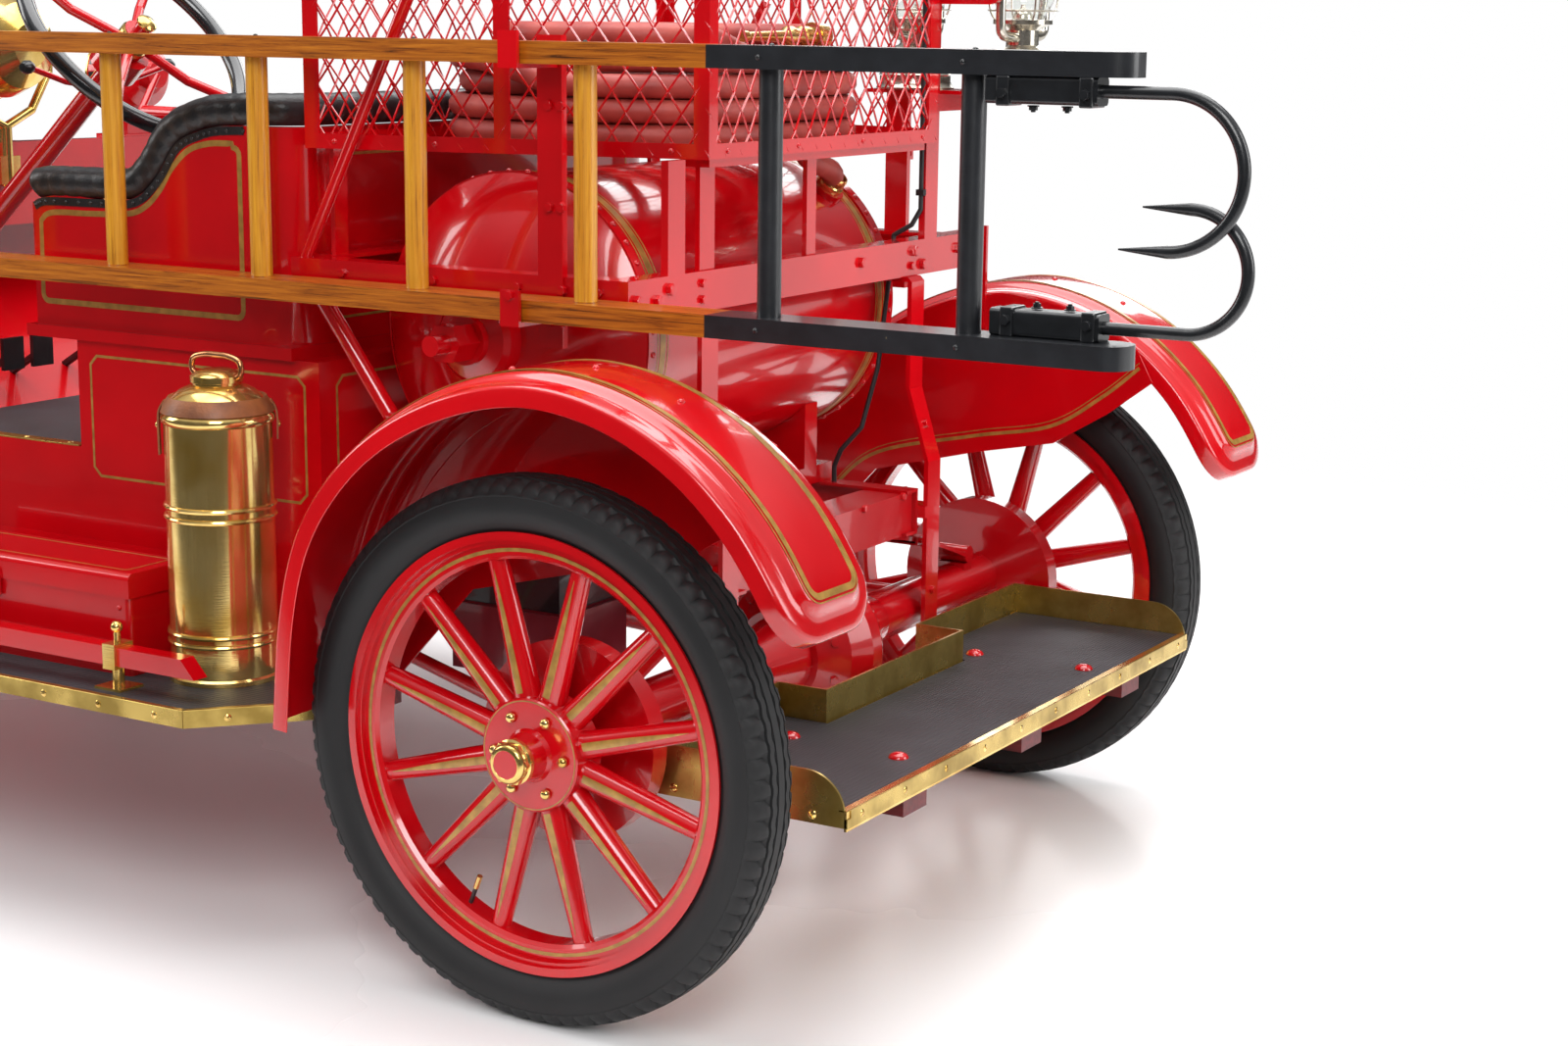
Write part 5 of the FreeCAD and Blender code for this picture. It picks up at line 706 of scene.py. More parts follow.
class FIRE_OT_stage(bpy.types.Operator):
    """Camera at the photograph's angle, pale studio floor and soft light"""
    bl_idname = "fire_engine.stage"
    bl_label = "Stage and camera"

    def execute(self, context):
        scene = context.scene
        scene.view_settings.view_transform = "Standard"
        self.camera(scene)
        self.floor()
        self.lamps()
        self.world(scene)
        return {"FINISHED"}

    def camera(self, scene):
        data = bpy.data.cameras.new("photo_camera")
        data.lens, data.sensor_width, data.clip_end = 58.91, 36.0, 200.0
        camera = linked("photo_camera", data)
        # Place and turn fitted to the photograph by its wheels, step and ladder
        yaw, pitch, roll = -1.0380, -0.1954, 0.0120
        place = (-3.0057, 3.4425, 1.3664)
        forward = Vector((math.cos(yaw) * math.cos(pitch), math.sin(yaw) * math.cos(pitch),
                          math.sin(pitch)))
        right = Vector((math.sin(yaw), -math.cos(yaw), 0.0))
        up = right.cross(forward)
        across = right * math.cos(roll) + up * math.sin(roll)
        upward = up * math.cos(roll) - right * math.sin(roll)
        camera.matrix_world = Matrix((*zip(across, upward, -forward, place), (0, 0, 0, 1)))
        scene.camera = camera

    def floor(self):
        """Painted studio floor: soft gloss and shadow near the engine, pure white beyond it,
        and a painted reflection on the camera's side: there it is dark to every ray but the
        camera's, so the flanks mirror a dark floor that the camera sees white."""
        material, tree, place = blank("white_studio_floor")
        xyz = add(tree, "ShaderNodeSeparateXYZ", {"Vector": place})
        seen = add(tree, "ShaderNodeLightPath").outputs["Is Camera Ray"]
        # Painted reflection: past 1.7 m on the camera's side the floor turns dark, and its glow
        # dims, to every ray but the camera's
        dark_except_to_camera = maths(tree, "MULTIPLY", mapped(tree, xyz.outputs["Y"], 0.0, 1.0, 1.7, 2.5),
                     maths(tree, "SUBTRACT", 1.0, seen))
        coat(material, {
            "Base Color": mixed(tree, dark_except_to_camera, srgb("F8F6F6"), srgb("3A3838")),
            "Roughness": mapped(tree, noise(tree, place, 0.8, 4.0), 0.2, 0.34),
            "Specular IOR Level": 0.3})
        away = add(tree, "ShaderNodeVectorMath", {0: place}, operation="LENGTH")
        fade = mapped(tree, away.outputs["Value"], 0.0, 1.0, 2.3, 4.2,
                      interpolation_type="SMOOTHSTEP")
        glow = add(tree, "ShaderNodeEmission", {"Color": (1, 1, 1, 1),
                                                "Strength": mapped(tree, dark_except_to_camera, 1.0, 0.06)})
        blend = add(tree, "ShaderNodeMixShader", {
            0: fade, 1: tree.nodes["Principled BSDF"].outputs[0], 2: glow.outputs[0]})
        tree.links.new(blend.outputs[0], tree.nodes["Material Output"].inputs["Surface"])
        mesh = bpy.data.meshes.new("studio_floor")
        mesh.from_pydata([(-30, -30, 0), (30, -30, 0), (30, 30, 0), (-30, 30, 0)], [],
                         [(0, 1, 2, 3)])
        mesh.materials.append(material)
        linked("studio_floor", mesh)

    def lamps(self):
        for name, spot, target, wide, long, power in (
                ("ceiling_softbox", (-0.4, -0.2, 5.0), (-0.2, 0.0, 0.4), 4.2, 6.0, 330.0),
                ("left_softbox", (-3.6, 4.8, 4.0), (-0.6, 0.0, 0.6), 2.2, 3.0, 190.0),
                ("rear_softbox", (-5.8, -1.4, 2.6), (-0.8, -0.2, 0.8), 2.4, 3.2, 120.0),
                ("front_softbox", (5.2, 2.6, 3.2), (0.5, 0.0, 0.7), 2.4, 3.0, 110.0),
                ("right_softbox", (0.8, -5.2, 3.4), (0.0, 0.0, 0.7), 3.0, 3.0, 110.0)):
            lamp = bpy.data.lights.new(name, "AREA")
            lamp.shape = "RECTANGLE"
            lamp.size, lamp.size_y, lamp.energy = wide, long, power
            aim = Vector(target) - Vector(spot)
            linked(name, lamp).matrix_world = (
                Matrix.Translation(spot) @ aim.to_track_quat("-Z", "Y").to_matrix().to_4x4())

    def world(self, scene):
        """White room to the eye, through glass and in diffuse light; glossy rays alone see a
        painted reflection: dark grey bands below and near the horizon, light grey overhead.
        """
        world = bpy.data.worlds.new("white_room")
        scene.world = world
        world.use_nodes = True
        tree = world.node_tree
        tree.nodes.clear()
        rays = add(tree, "ShaderNodeLightPath").outputs
        look = add(tree, "ShaderNodeTexCoord").outputs["Generated"]
        xyz = add(tree, "ShaderNodeSeparateXYZ", {"Vector": look})
        # Painted reflection: only glossy rays see these bands, dark below and near the horizon and
        # light overhead
        painted_reflection_bands = ramp(tree, xyz.outputs["Z"], (0.0, "343333"), (0.1, "5A5858"), (0.2, "201F1F"),
                     (0.42, "6E6E70"), (0.7, "D8D8DA"))
        light, mirror, white = [
            add(tree, "ShaderNodeBackground", {"Color": colour, "Strength": power}).outputs[0]
            for colour, power in ((srgb("F2F2F4"), 0.55), (painted_reflection_bands, 1.0), ((1, 1, 1, 1), 1.0))]
        shiny = add(tree, "ShaderNodeMixShader", {0: rays["Is Glossy Ray"], 1: light, 2: mirror})
        clear = maths(tree, "MAXIMUM", rays["Is Camera Ray"], rays["Is Transmission Ray"])
        final = add(tree, "ShaderNodeMixShader", {0: clear, 1: shiny.outputs[0], 2: white})
        add(tree, "ShaderNodeOutputWorld", {"Surface": final.outputs[0]})


class FIRE_OT_finishes(bpy.types.Operator):
    """Coat every solid of the frame in its own finish"""
    bl_idname = "fire_engine.finishes"
    bl_label = "Finishes"

    def execute(self, context):
        mix_finishes(context.scene.fire_colours)
        trees.update(fastener=fastener_tree(), line=line_tree(), wire=wire_tree())
        self.small_forms()
        chosen = {node: key for key, nodes in NODE_FINISH.items() for node in nodes}
        for name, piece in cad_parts.items():
            piece.data.materials.clear()
            piece.data.materials.append(finishes[chosen.get(name, "red")])
            for face in piece.data.polygons:
                face.material_index = 0
        return {"FINISHED"}

    def small_forms(self):
        """Rivet, nail, coach bolt, two hexagon bolts and a slotted screw, Z up."""
        def lathe(steps, *profile):
            return turned(profile, (0, 0, 0), Z, steps)

        hexagon = [(way.x * 9, way.z * 9) for way in spin(6)]
        slot_half = 0.9
        screw = [lathe(24, (6.2, -1.0), (6.2, 0.9), (0, 0.9))]
        for side in (1, -1):
            verts, faces = lathe(24, (6.6, -1.0), (6.6, 0.5), (4.8, 1.9), (1.2, 2.7), (0, 2.75))
            screw.append(([Vector((v.x, side * max(v.y * side, slot_half), v.z)) for v in verts],
                          faces))
        for name, shape in (
                ("rivet", lathe(12, (6, -1), (6, 0.6), (5, 2.4), (3, 3.7), (0, 4.2))),
                ("nail", lathe(8, (4, -0.5), (4, 0.5), (2.6, 2.2), (0, 2.9))),
                ("coach_bolt", lathe(20, (15, -1), (15, 1), (12, 5), (6, 7.6), (0, 8.4))),
                ("hex_bolt", joined(lathe(18, (12, -1), (12, 1.6), (11, 2), (0, 2)),
                                    slab(hexagon, 1.8, 9.0),
                                    lathe(10, (5, 8.8), (5, 12), (4, 13), (0, 13)))),
                ("bolt_head", joined(slab(hexagon, -1.0, 7.0),
                                     lathe(12, (7.6, 6.8), (7.2, 7.6), (0, 8.2)))),
                ("screw", joined(*screw))):
            mesh = welded(name, [Vector(v) / 1000 for v in shape[0]], shape[1], 0.00001)
            forms[name] = bpy.data.objects.new(name, mesh)


class FIRE_OT_wheels(bpy.types.Operator):
    """Treaded tyres, striping, brass caps, bolts and valves of the four wheels"""
    bl_idname = "fire_engine.wheels"
    bl_label = "Wheels and tyres"

    def execute(self, context):
        notches = context.scene.fire_sizes.tread_pitch
        for end, x in (("front", WHEELBASE), ("rear", 0.0)):
            for word, side in SIDES:
                name = "%s_%s" % (end, word)
                body = "wheel_%s_body" % name
                centre = Vector((x, side * TRACK / 2, TYRE_R))
                self.tyre(name, body, centre, side, notches)
                self.stripes(name, body, centre, side)
                self.brasswork(name, body, centre, side)
        return {"FINISHED"}

    def tyre(self, name, body, centre, side, notches):
        """Casing with side ribs, a notched shoulder and wavy ribs round the tread."""
        half = [(302.0, 27.0), (309.0, 31.0), (314.0, 34.5), (318.0, 39.5), (320.0, 41.0),
                (322.0, 42.5), (330.0, 47.5), (340.0, 49.8), (350.0, 48.6), (357.0, 46.2),
                (358.0, 46.6), (360.0, 46.2), (362.0, 44.4), (366.0, 42.8), (370.0, 40.6),
                (373.5, 37.4), (376.5, 32.6), (378.4, 28.6), (379.0, 25.6), (375.2, 24.8),
                (375.2, 21.6), (380.2, 20.8), (380.8, 11.6), (376.6, 10.8), (376.6, 7.6),
                (381.0, 6.8), (381.0, 0.0)]
        notch_deep, wave = 6.0, 1.3
        profile = half + [(r, -y) for r, y in reversed(half[:-1])]
        ways, verts = spin(4 * notches), []
        for radius, y in profile:
            edge = abs(y)
            shoulder, ribs = 27.0 < edge < 46.3 and radius > 359.0, 7.0 < edge < 26.0
            deep = notch_deep * min(1.0, (47.5 - edge) / 5.0) if shoulder else 0.0
            for step, way in enumerate(ways):
                r = radius - deep if step % 4 == 0 else radius
                bend = (wave if step % 4 < 2 else -wave) if ribs else 0.0
                verts.append(centre + way * r + Vector((0, (y + bend) * side, 0)))
        put("tyre_tread_" + name, (verts, ring_faces(len(profile), len(ways), looped=True)),
            "tyre", body, ("tyre_" + name,))

    def stripes(self, name, body, centre, side):
        """Lines round the felloe and the hub, and a long dart on each spoke."""
        up = Vector((0, side, 0))
        for word, r, lift, width in (("felloe", 281.0, 21.0, 5.0), ("hub", 75.308, 28.0, 1.6)):
            ring = [(centre + out * r + up * lift, up) for out in spin(96)]
            stripe("%s_line_%s" % (word, name), [ring], width, body=body, closed=True)
        near, far, broad, darts = 84, 256, 5.4, []
        for out in spin(SPOKES, 0.5):
            across, verts = Vector((-out.z, 0, out.x)), []
            for share in np.linspace(0, 1, 7):
                r = near + share * (far - near)
                spoke = SPOKE_ROOT - SPOKE_TAPER * (r - 65) / 211
                wide = broad * (1 - share ** 2.2) + 0.25
                lift = math.sqrt(spoke ** 2 - wide ** 2)
                verts += [centre + out * r + across * w + up * rise for w, rise in (
                    (-wide, lift + 0.25), (0.0, spoke + 0.45), (wide, lift + 0.25),
                    (wide, lift - 1.2), (-wide, lift - 1.2))]
            darts.append((verts, ring_faces(7, 5) + caps(7, 5)))
        put("spoke_darts_" + name, joined(*darts), "gold", body)

    def brasswork(self, name, body, centre, side):
        """Hub cap with its hexagon, hub bolts, and the tyre valve with its cap."""
        out = Vector((0, side, 0))
        cap = [(24, 58), (31, 58.5), (31.4, 62), (31.4, 66), (28.4, 68), (28.4, 77), (25.5, 81),
               (23.5, 82.4), (20, 82.6), (19, 81.4), (0, 81.2)]
        put("hub_cap_" + name, turned(cap, centre, out), "brass", body)
        flats = [[centre + way * 31.5 + out * rise for way in spin(6)] for rise in (67.0, 76.5)]
        put("hub_hexagon_" + name, prism(*flats), "brass", body, soft=False, bevel=0.0012)
        fasten("hub_bolts_" + name, "rivet", "brass",
               [(centre + way * 57 + out * 31.4, out) for way in spin(6)], body, 1.25)
        turn = math.radians(-63)  # of the valve, between two spokes
        way = Vector((math.cos(turn), 0, math.sin(turn)))
        foot = centre + way * 270 + out * 2
        for word, finish, radius, ends in (("stem", "black", 3.4, ((0, 0), (34, 5))),
                                           ("cap", "brass", 4.2, ((30, 4.4), (52, 8)))):
            tube = along_path([foot - way * a + out * b for a, b in ends], radius)
            put("valve_%s_%s" % (word, name), tube, finish, body)


class FIRE_OT_basket(bpy.types.Operator):
    """Woven wire sides of the hose basket"""
    bl_idname = "fire_engine.basket"
    bl_label = "Basket wire"

    def execute(self, context):
        rear, front = BASKET_REAR, BASKET_FRONT
        half_rear, half_front = BASKET_HALF_REAR, BASKET_HALF_FRONT
        for word, start, end in (
                ("left", (rear, half_rear - 2), (front, half_front - 2)),
                ("right", (rear, 2 - half_rear), (front, 2 - half_front)),
                ("rear", (rear + 2, 3 - half_rear), (rear + 2, half_rear - 3)),
                ("front", (front - 2, 3 - half_front), (front - 2, half_front - 3))):
            self.panel("basket_wire_" + word, start, end, context.scene.fire_sizes)
        return {"FINISHED"}

    def panel(self, name, start, end, sizes):
        low, tall = BASKET_BOTTOM + 4, (BASKET_TOP - BASKET_BOTTOM - 8) / 1000
        a, b = row(*start, low), row(*end, low)
        run, up = b - a, Vector(Z)
        across = run.normalized()
        out, centre = across.cross(up), (a + b) / 2 + up * tall / 2
        columns = round(run.length / sizes.wire_cell)
        layers = round(tall / (sizes.wire_cell * 1.45))
        place = Matrix((*zip(across, up, out, centre), (0, 0, 0, 1)))
        grown(name, "wire", "red", [(0, 0, 0)], place=place, Columns=columns, Rows=layers,
              **{"Cell Width": run.length / columns, "Cell Height": tall / layers,
                 "Wire": sizes.wire_radius, "Crimp": 0.0011})


class FIRE_OT_hose(bpy.types.Operator):
    """Rubber hose: up from the tank, laid in four layers of turns, nozzle on top"""
    bl_idname = "fire_engine.hose"
    bl_label = "Hose"

    def execute(self, context):
        points = self.lead() + self.turns()
        curve = bpy.data.curves.new("coiled_hose", "CURVE")
        curve.dimensions = "3D"
        curve.resolution_u = 3
        curve.bevel_depth = HOSE_R / 1000
        curve.bevel_resolution = 4
        curve.use_fill_caps = True
        line = curve.splines.new("NURBS")
        line.points.add(len(points) - 1)
        for spot, place in zip(points, line.points):
            place.co = (*row(*spot), 1.0)
        line.order_u = 3
        line.use_endpoint_u = True
        curve.materials.append(finishes["hose"])
        hose = linked("coiled_hose", curve)
        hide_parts("hose_lead", "hose_coil")
        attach(hose, "vehicle")
        pieces = self.couplings(points)
        return {"FINISHED"}

    def lead(self):
        """From the outlet on the tank's shoulder up through the basket's floor."""
        turn = math.radians(39.5)
        way = Vector((-math.sin(turn), 0, math.cos(turn)))
        start = Vector((TANK_X, -290, TANK_Z)) + way * (TANK_R + 10)
        second, fourth = start + way * 12, Vector((110, -159, COIL_LOW - 12))
        pull, lift = second + way * 40, fourth - Vector((0, 0, 36))
        points = [start]
        for t in (0.0, 0.25, 0.5, 0.75, 1.0):
            u = 1 - t
            points.append(second * u ** 3 + pull * (3 * u * u * t) + lift * (3 * u * t * t)
                          + fourth * t ** 3)
        return points + [Vector((110, -158, COIL_LOW + 6)), Vector((107, -150, COIL_LOW + 17))]

    def turns(self):
        """Even turns a hose's width apart; each layer steps over in its own short stretch."""
        insets, heights, step = [(0, COIL_INSETS[0])], [(0, 0)], 0.12
        for layer in range(COIL_LAYERS):
            late = 0.01 + 0.22 * layer
            rings = COIL_INSETS[::-1] if layer % 2 else COIL_INSETS
            for k in (1, 2):
                place = 3 * layer + k - late
                insets += [(place - step, rings[k - 1]), (place, rings[k])]
            rise = 3 * layer + 3 - late - step - 0.01
            heights += [(rise - 0.08, layer), (rise, layer + 1)]
        insets += [(11.75, COIL_INSETS[0]), (11.98, 56.0)]
        points, total, per_turn = [], 12.03, 28
        for index in range(2, int(total * per_turn)):
            place = index / per_turn
            height = COIL_LOW + 18.1 + LAYER_RISE * min(self.along(heights, place), 3.985)
            points.append(self.ring(place - 0.0526, self.along(insets, place), height))
        end = Vector((57, -95, COIL_LOW + COIL_HEIGHT + HOSE_R - 2))
        while points[-1].y > end.y - 8 or points[-1].x > 120:
            points.pop()
        return points + [end - Vector((0, 5, 0)), end]

    def along(self, keys, place):
        """Value between (place, value) keys, easing in and out of each step."""
        for (a, low), (b, high) in zip(keys, keys[1:]):
            if place < b:
                share = max(0.0, (place - a) / (b - a))
                eased = share * share * (3 - 2 * share) * 0.55 + share * 0.45
                return low + (high - low) * eased
        return keys[-1][1]

    def ring(self, turn, inset, height):
        """Point on the rounded oval, turn from the rear side's right end, by share of it."""
        half_x, half_y, corner = 229.5, 266.5, 175.0
        sides = (2 * (half_y - corner), 2 * (half_x - corner))
        bend = corner * math.pi / 2
        left = (turn % 1.0) * (2 * sum(sides) + 4 * bend)
        spot = Vector((COIL_X - half_x, -sides[0] / 2, height))
        way, out = Vector((0, 1, 0)), Vector((-1, 0, 0))
        for side in range(4):
            run = sides[side % 2]
            if left <= run:
                return spot + way * left + out * (COIL_INSETS[1] - inset)
            left -= run
            centre = spot + way * run - out * corner
            if left <= bend:
                aim = out * math.cos(left / corner) + way * math.sin(left / corner)
                return centre + aim * (corner + COIL_INSETS[1] - inset)
            left -= bend
            spot = centre + way * corner
            way, out = -out, way
        return spot

    def couplings(self, points):
        """Brass sleeve on the outlet and ferrule before the nozzle."""
        sleeve = [(18.2, 0), (23, 0), (24, 3), (24, 9), (21.5, 11), (21.5, 24), (20, 27),
                  (18.2, 27)]
        ferrule = [(18.2, -34), (19.6, -34), (20.4, -31), (20.4, -6), (21.6, -5), (21.6, 0),
                   (18.2, 0)]
        return [put(name, turned(profile, spot, way, 40, True), "brass")
                for name, profile, spot, way in (
                    ("outlet_sleeve", sleeve, points[0], points[1] - points[0]),
                    ("nozzle_ferrule", ferrule, points[-1], (0, 1, 0)))]


class FIRE_OT_striping(bpy.types.Operator):
    """Gold lines on the tank, the seat and the seat box"""
    bl_idname = "fire_engine.striping"
    bl_label = "Striping"

    def execute(self, context):
        width = context.scene.fire_sizes.stripe_width
        for word, side in SIDES:
            for name, y, wide in (("band", 330, 15.0), ("inner", 317, 2.4), ("outer", 343, 2.4)):
                middle = Vector((TANK_X, side * y, TANK_Z))
                stripe("tank_%s_%s" % (name, word),
                       [[(middle + out * TANK_R, out) for out in spin(120)]], wide, closed=True)
        self.seat(width)
        for word, side in SIDES:
            stripe("seat_box_line_" + word, [
                [((x, side * BODY_HALF, z), (0, side, 0))
                 for x, z in self.clipped(590, 1036)]], width, closed=True)
        stripe("seat_box_line_back", [[((561, y, z), (-1, 0, 0))
                                       for y, z in self.clipped(-460, 460)]], width, closed=True)
        return {"FINISHED"}

    def clipped(self, a, b, low=626, high=820, cut=14):
        """Rectangle with its corners cut off."""
        return [(a, low + cut), (a, high - cut), (a + cut, high), (b - cut, high),
                (b, high - cut), (b, low + cut), (b - cut, low), (a + cut, low)]

    def seat(self, width):
        """Broad line inside the edge of each side, and a fine one on the back."""
        top = [(1132, 1030), (1118, 1041), (1090, 1045), (1020, 1046), (940, 1050), (902, 1064),
               (872, 1090), (848, 1122), (812, 1152), (770, 1164), (722, 1166)]
        loop = [(p.x, p.z) for p in smooth_line(top, 6)]
        loop += [(x, z) for x, z in rounded(708, 1134, 902, 1160, 12, 4)[5:]
                 if z < 1030 or x < 760]
        for word, side in SIDES:
            line = met("seat_body", [((x, side * 560, z), (0, -side, 0)) for x, z in loop], 90)
            stripe("seat_line_" + word, [line], 2 * width, closed=True)
        back = met("seat_body", [((560, y, z), X) for y, z in (
            (-380, 1150), (380, 1150), (396, 1136), (396, 914), (382, 900), (-382, 900),
            (-396, 914), (-396, 1136))], 90)
        stripe("seat_line_back", [back], width, closed=True)


FENDER_Y, FENDER_HALF, TONGUE_R = 710.0, 110.0, 72.0
REAR_FENDER = [(388, 366), (370, 541), (333, 664), (260, 763), (169, 832), (55, 880), (-61, 898),
               (-180, 878), (-286, 827), (-370, 755), (-430, 672), (-462, 604)]
FRONT_FENDER = [(2090, 366), (2108, 450), (2156, 572), (2226, 696), (2328, 798), (2450, 854),
                (2576, 862), (2700, 832), (2812, 766), (2898, 684), (2958, 590)]
# Pressed section: (distance in from the edge, height), outside and then inside
FENDER_CROWN = [(110, 17.0), (80, 16.4), (60, 15.9), (48, 15.0), (42, 13.2), (37.5, 9.6),
                (33, 5.4), (28, 3.2), (20, 2.0), (8, 1.0), (3, -0.6), (0.8, -3.2), (0, -6.0)]
SKIRT = [(384, 379), (382, 500), (340, 660), (262, 761), (168, 829), (56, 877), (-60, 895),
         (-180, 875), (-300, 815), (-330, 760), (-250, 700), (-150, 640), (0, 610), (200, 560),
         (330, 420), (352, 379)]


class FIRE_OT_fenders(bpy.types.Operator):
    """Pressed fenders with a raised crown, a rounded tongue, a wrapped lip and gold lines"""
    bl_idname = "fire_engine.fenders"
    bl_label = "Fenders"

    def execute(self, context):
        wide = 2 * context.scene.fire_sizes.stripe_width
        inside = [(max(d, 3.0), o - 3.0) for d, o in reversed(FENDER_CROWN[:-1])]
        section = FENDER_CROWN + [(0, -27.2), (0.8, -28), (2.2, -28), (3, -27.2)] + inside
        for word, path, hub in (("rear", REAR_FENDER, 0.0), ("front", FRONT_FENDER, WHEELBASE)):
            self.line = smooth_line(path, 10)
            self.steps = [(b - a).length for a, b in zip(self.line, self.line[1:])]
            self.hub = hub
            for name, side in SIDES:
                rows = [self.loop(side, d, o) for d, o in section]
                count = len(rows[0])
                faces = ring_faces(len(rows), count, False)
                faces += [tuple(r * count + end for r in range(len(rows)))
                          for end in (0, count - 1)]
                put("%s_fender_%s" % (word, name), ([spot for one in rows for spot, _ in one],
                                                    faces), "red",
                    replaces=(word + "_fenders",) if side > 0 else ())
                for inset, height, size in ((54.0, 15.5, wide), (46.0, 14.4, 1.6)):
                    stripe("%s_fender_line_%s_%d" % (word, name, inset),
                           [self.loop(side, inset, height + 0.5)], size)
                fasten("%s_fender_screws_%s" % (word, name), "nail", "red", [
                    self.spot(side, share * sum(self.steps), 0.0, 17.0)
                    for share in (0.52, 0.62, 0.72)], size=1.3)
                if word == "rear":
                    self.skirt(name, side)
        return {"FINISHED"}

    def spot(self, side, s, across, height):
        """Point of the fender at s along it and across it, height above its sheet."""
        index = 0
        while index < len(self.steps) - 1 and s > self.steps[index]:
            s -= self.steps[index]
            index += 1
        a, b = self.line[index], self.line[index + 1]
        before = self.line[max(index - 1, 0)]
        after = self.line[min(index + 2, len(self.line) - 1)]
        share = s / self.steps[index]
        bend = (b - before).normalized() * (1 - share) + (after - a).normalized() * share
        out = Vector((-bend.z, 0, bend.x)).normalized()
        if out.dot(a - Vector((self.hub, 0, 300))) < 0:
            out = -out
        point = a + (b - a).normalized() * s + out * height
        return Vector((point.x, side * (FENDER_Y + across), point.z)), out

    def loop(self, side, inset, height):
        """Once round the fender at an inset: out along one edge, round its tongue and back."""
        half, radius = FENDER_HALF - inset, max(TONGUE_R - inset, 3.0)
        radius = min(radius, max(half, 0.0))
        last = sum(self.steps) - inset - radius
        ways = [(s, half) for s in np.linspace(13.0, last, 70)]
        ways += [(last + radius * math.sin(t), half - radius + radius * math.cos(t))
                 for t in np.linspace(0.0, math.pi / 2, 11)[1:]]
        middle = [(last + radius, a) for a in np.linspace(half - radius, radius - half, 9)[1:-1]]
        return [self.spot(side, s, a, height)
                for s, a in ways + middle + [(s, -a) for s, a in reversed(ways)]]

    def skirt(self, name, side):
        """Plate that closes the gap between the fender and the body, with its double line."""
        plates = [[Vector((x, side * y, z)) for x, z in SKIRT] for y in (597, 600.5)]
        put("rear_skirt_" + name, prism(*plates), "red", soft=False)
        low = smooth_line([(-306, 784), (-238, 728), (-142, 669), (4, 639), (196, 592),
                           (286, 520), (330, 452)])
        for index, (rise, size) in enumerate(((0, 6.0), (9, 1.5))):
            stripe("rear_skirt_line_%s_%d" % (name, index), [[
                ((p.x, side * 597, p.z + rise), (0, -side, 0)) for p in low]], size)


class FIRE_OT_boards(bpy.types.Operator):
    """Mats, brass edging and screws of the running boards and the rear step"""
    bl_idname = "fire_engine.boards"
    bl_label = "Boards and step"

    def execute(self, context):
        for word, side in SIDES:
            self.running_board(word, side)
        self.rear_step()
        return {"FINISHED"}

    def running_board(self, word, side):
        top, low = BOARD_TOP, BOARD_TOP - BOARD_T
        outline = [(BOARD_REAR + 2, BOARD_INNER), (BOARD_REAR + 2, BOARD_CUT_Y - 66),
                   (BOARD_CUT_X + 3, BOARD_OUTER - 8), (BOARD_FRONT - 3, BOARD_OUTER - 8),
                   (BOARD_FRONT - 3, BOARD_INNER)]
        put("running_board_mat_" + word,
            slab([(x, side * y) for x, y in outline], top - 0.5, top + 2.4), "mat", bevel=0.0008)
        corners = [Vector((x, side * y, 0)) for x, y in (
            (BOARD_REAR, BOARD_CUT_Y - 60), (BOARD_CUT_X, BOARD_OUTER),
            (BOARD_FRONT, BOARD_OUTER))]
        ring = [(0.0, low - 0.4), (1.1, low - 0.4), (1.1, top + 3.0), (0.3, top + 3.9),
                (-9.0, top + 3.9), (-9.0, top + 2.0), (0.0, top + 2.0)]
        shapes, screws = [], []
        for a, b in zip(corners, corners[1:]):
            way = (b - a).normalized()
            out = Vector((-way.y, way.x, 0)) * side
            shapes.append(prism(*[[end + out * o + Vector((0, 0, z)) for o, z in ring]
                                  for end in (a, b)]))
            number = max(2, round((b - a).length / 112))
            screws += [(a + (b - a) * (k + 0.5) / number + out * 1.1
                        + Vector((0, 0, (low + top) / 2 + 1)), out) for k in range(number)]
        # Tread plate where the driver steps up
        tread = [(x, side * y) for x, y in rounded(1430, 1880, 572, 740, 14)]
        shapes.append(slab(tread, top - 0.2, top + 3.4))
        put("running_board_edge_" + word, joined(*shapes), "sheet_brass",
            replaces=("board_brass",) if side < 0 else (), soft=False)
        fasten("running_board_screws_" + word, "screw", "brass", screws, size=0.84)

    def rear_step(self):
        half = [(STEP_REAR + 7, STEP_HALF - 3), (STEP_FRONT - 4, STEP_HALF - 3),
                (STEP_FRONT - 4, STEP_JOG_HALF + 3), (STEP_JOG_X - 4, STEP_JOG_HALF + 3)]
        mat = slab(half + [(x, -y) for x, y in reversed(half)], STEP_TOP - 0.5, STEP_TOP + 3)
        put("step_mat", mat, "step_mat", bevel=0.0008)
        low, top = STEP_TOP - STEP_T - 4, STEP_TOP + 4.6
        ring = [(1, low), (-2.6, low), (-2.6, top - 1), (-1.6, top), (9, top), (9, top - 1.6),
                (1, top - 1.6)]
        edge = [[Vector((STEP_REAR + x, y, z)) for x, z in ring]
                for y in (-STEP_HALF - 4, STEP_HALF + 4)]
        put("step_brass_edge", prism(*edge), "brass", soft=False)
        spots = [((STEP_REAR - 2.6, y, STEP_TOP - 8), (-1, 0, 0))
                 for y in np.linspace(-555, 555, 10)]
        spots += [((x, side * (STEP_HALF + 4), STEP_TOP - 8), (0, side, 0))
                  for side in (-1, 1) for x in (-360, -250, -140)]
        fasten("step_screws", "screw", "brass", spots)
        fasten("step_coach_bolts", "coach_bolt", "red", [
            ((x, y, STEP_TOP + 3), Z)
            for x, y in ((-169, -272), (-361, -281), (-348, 330), (-165, 322))])


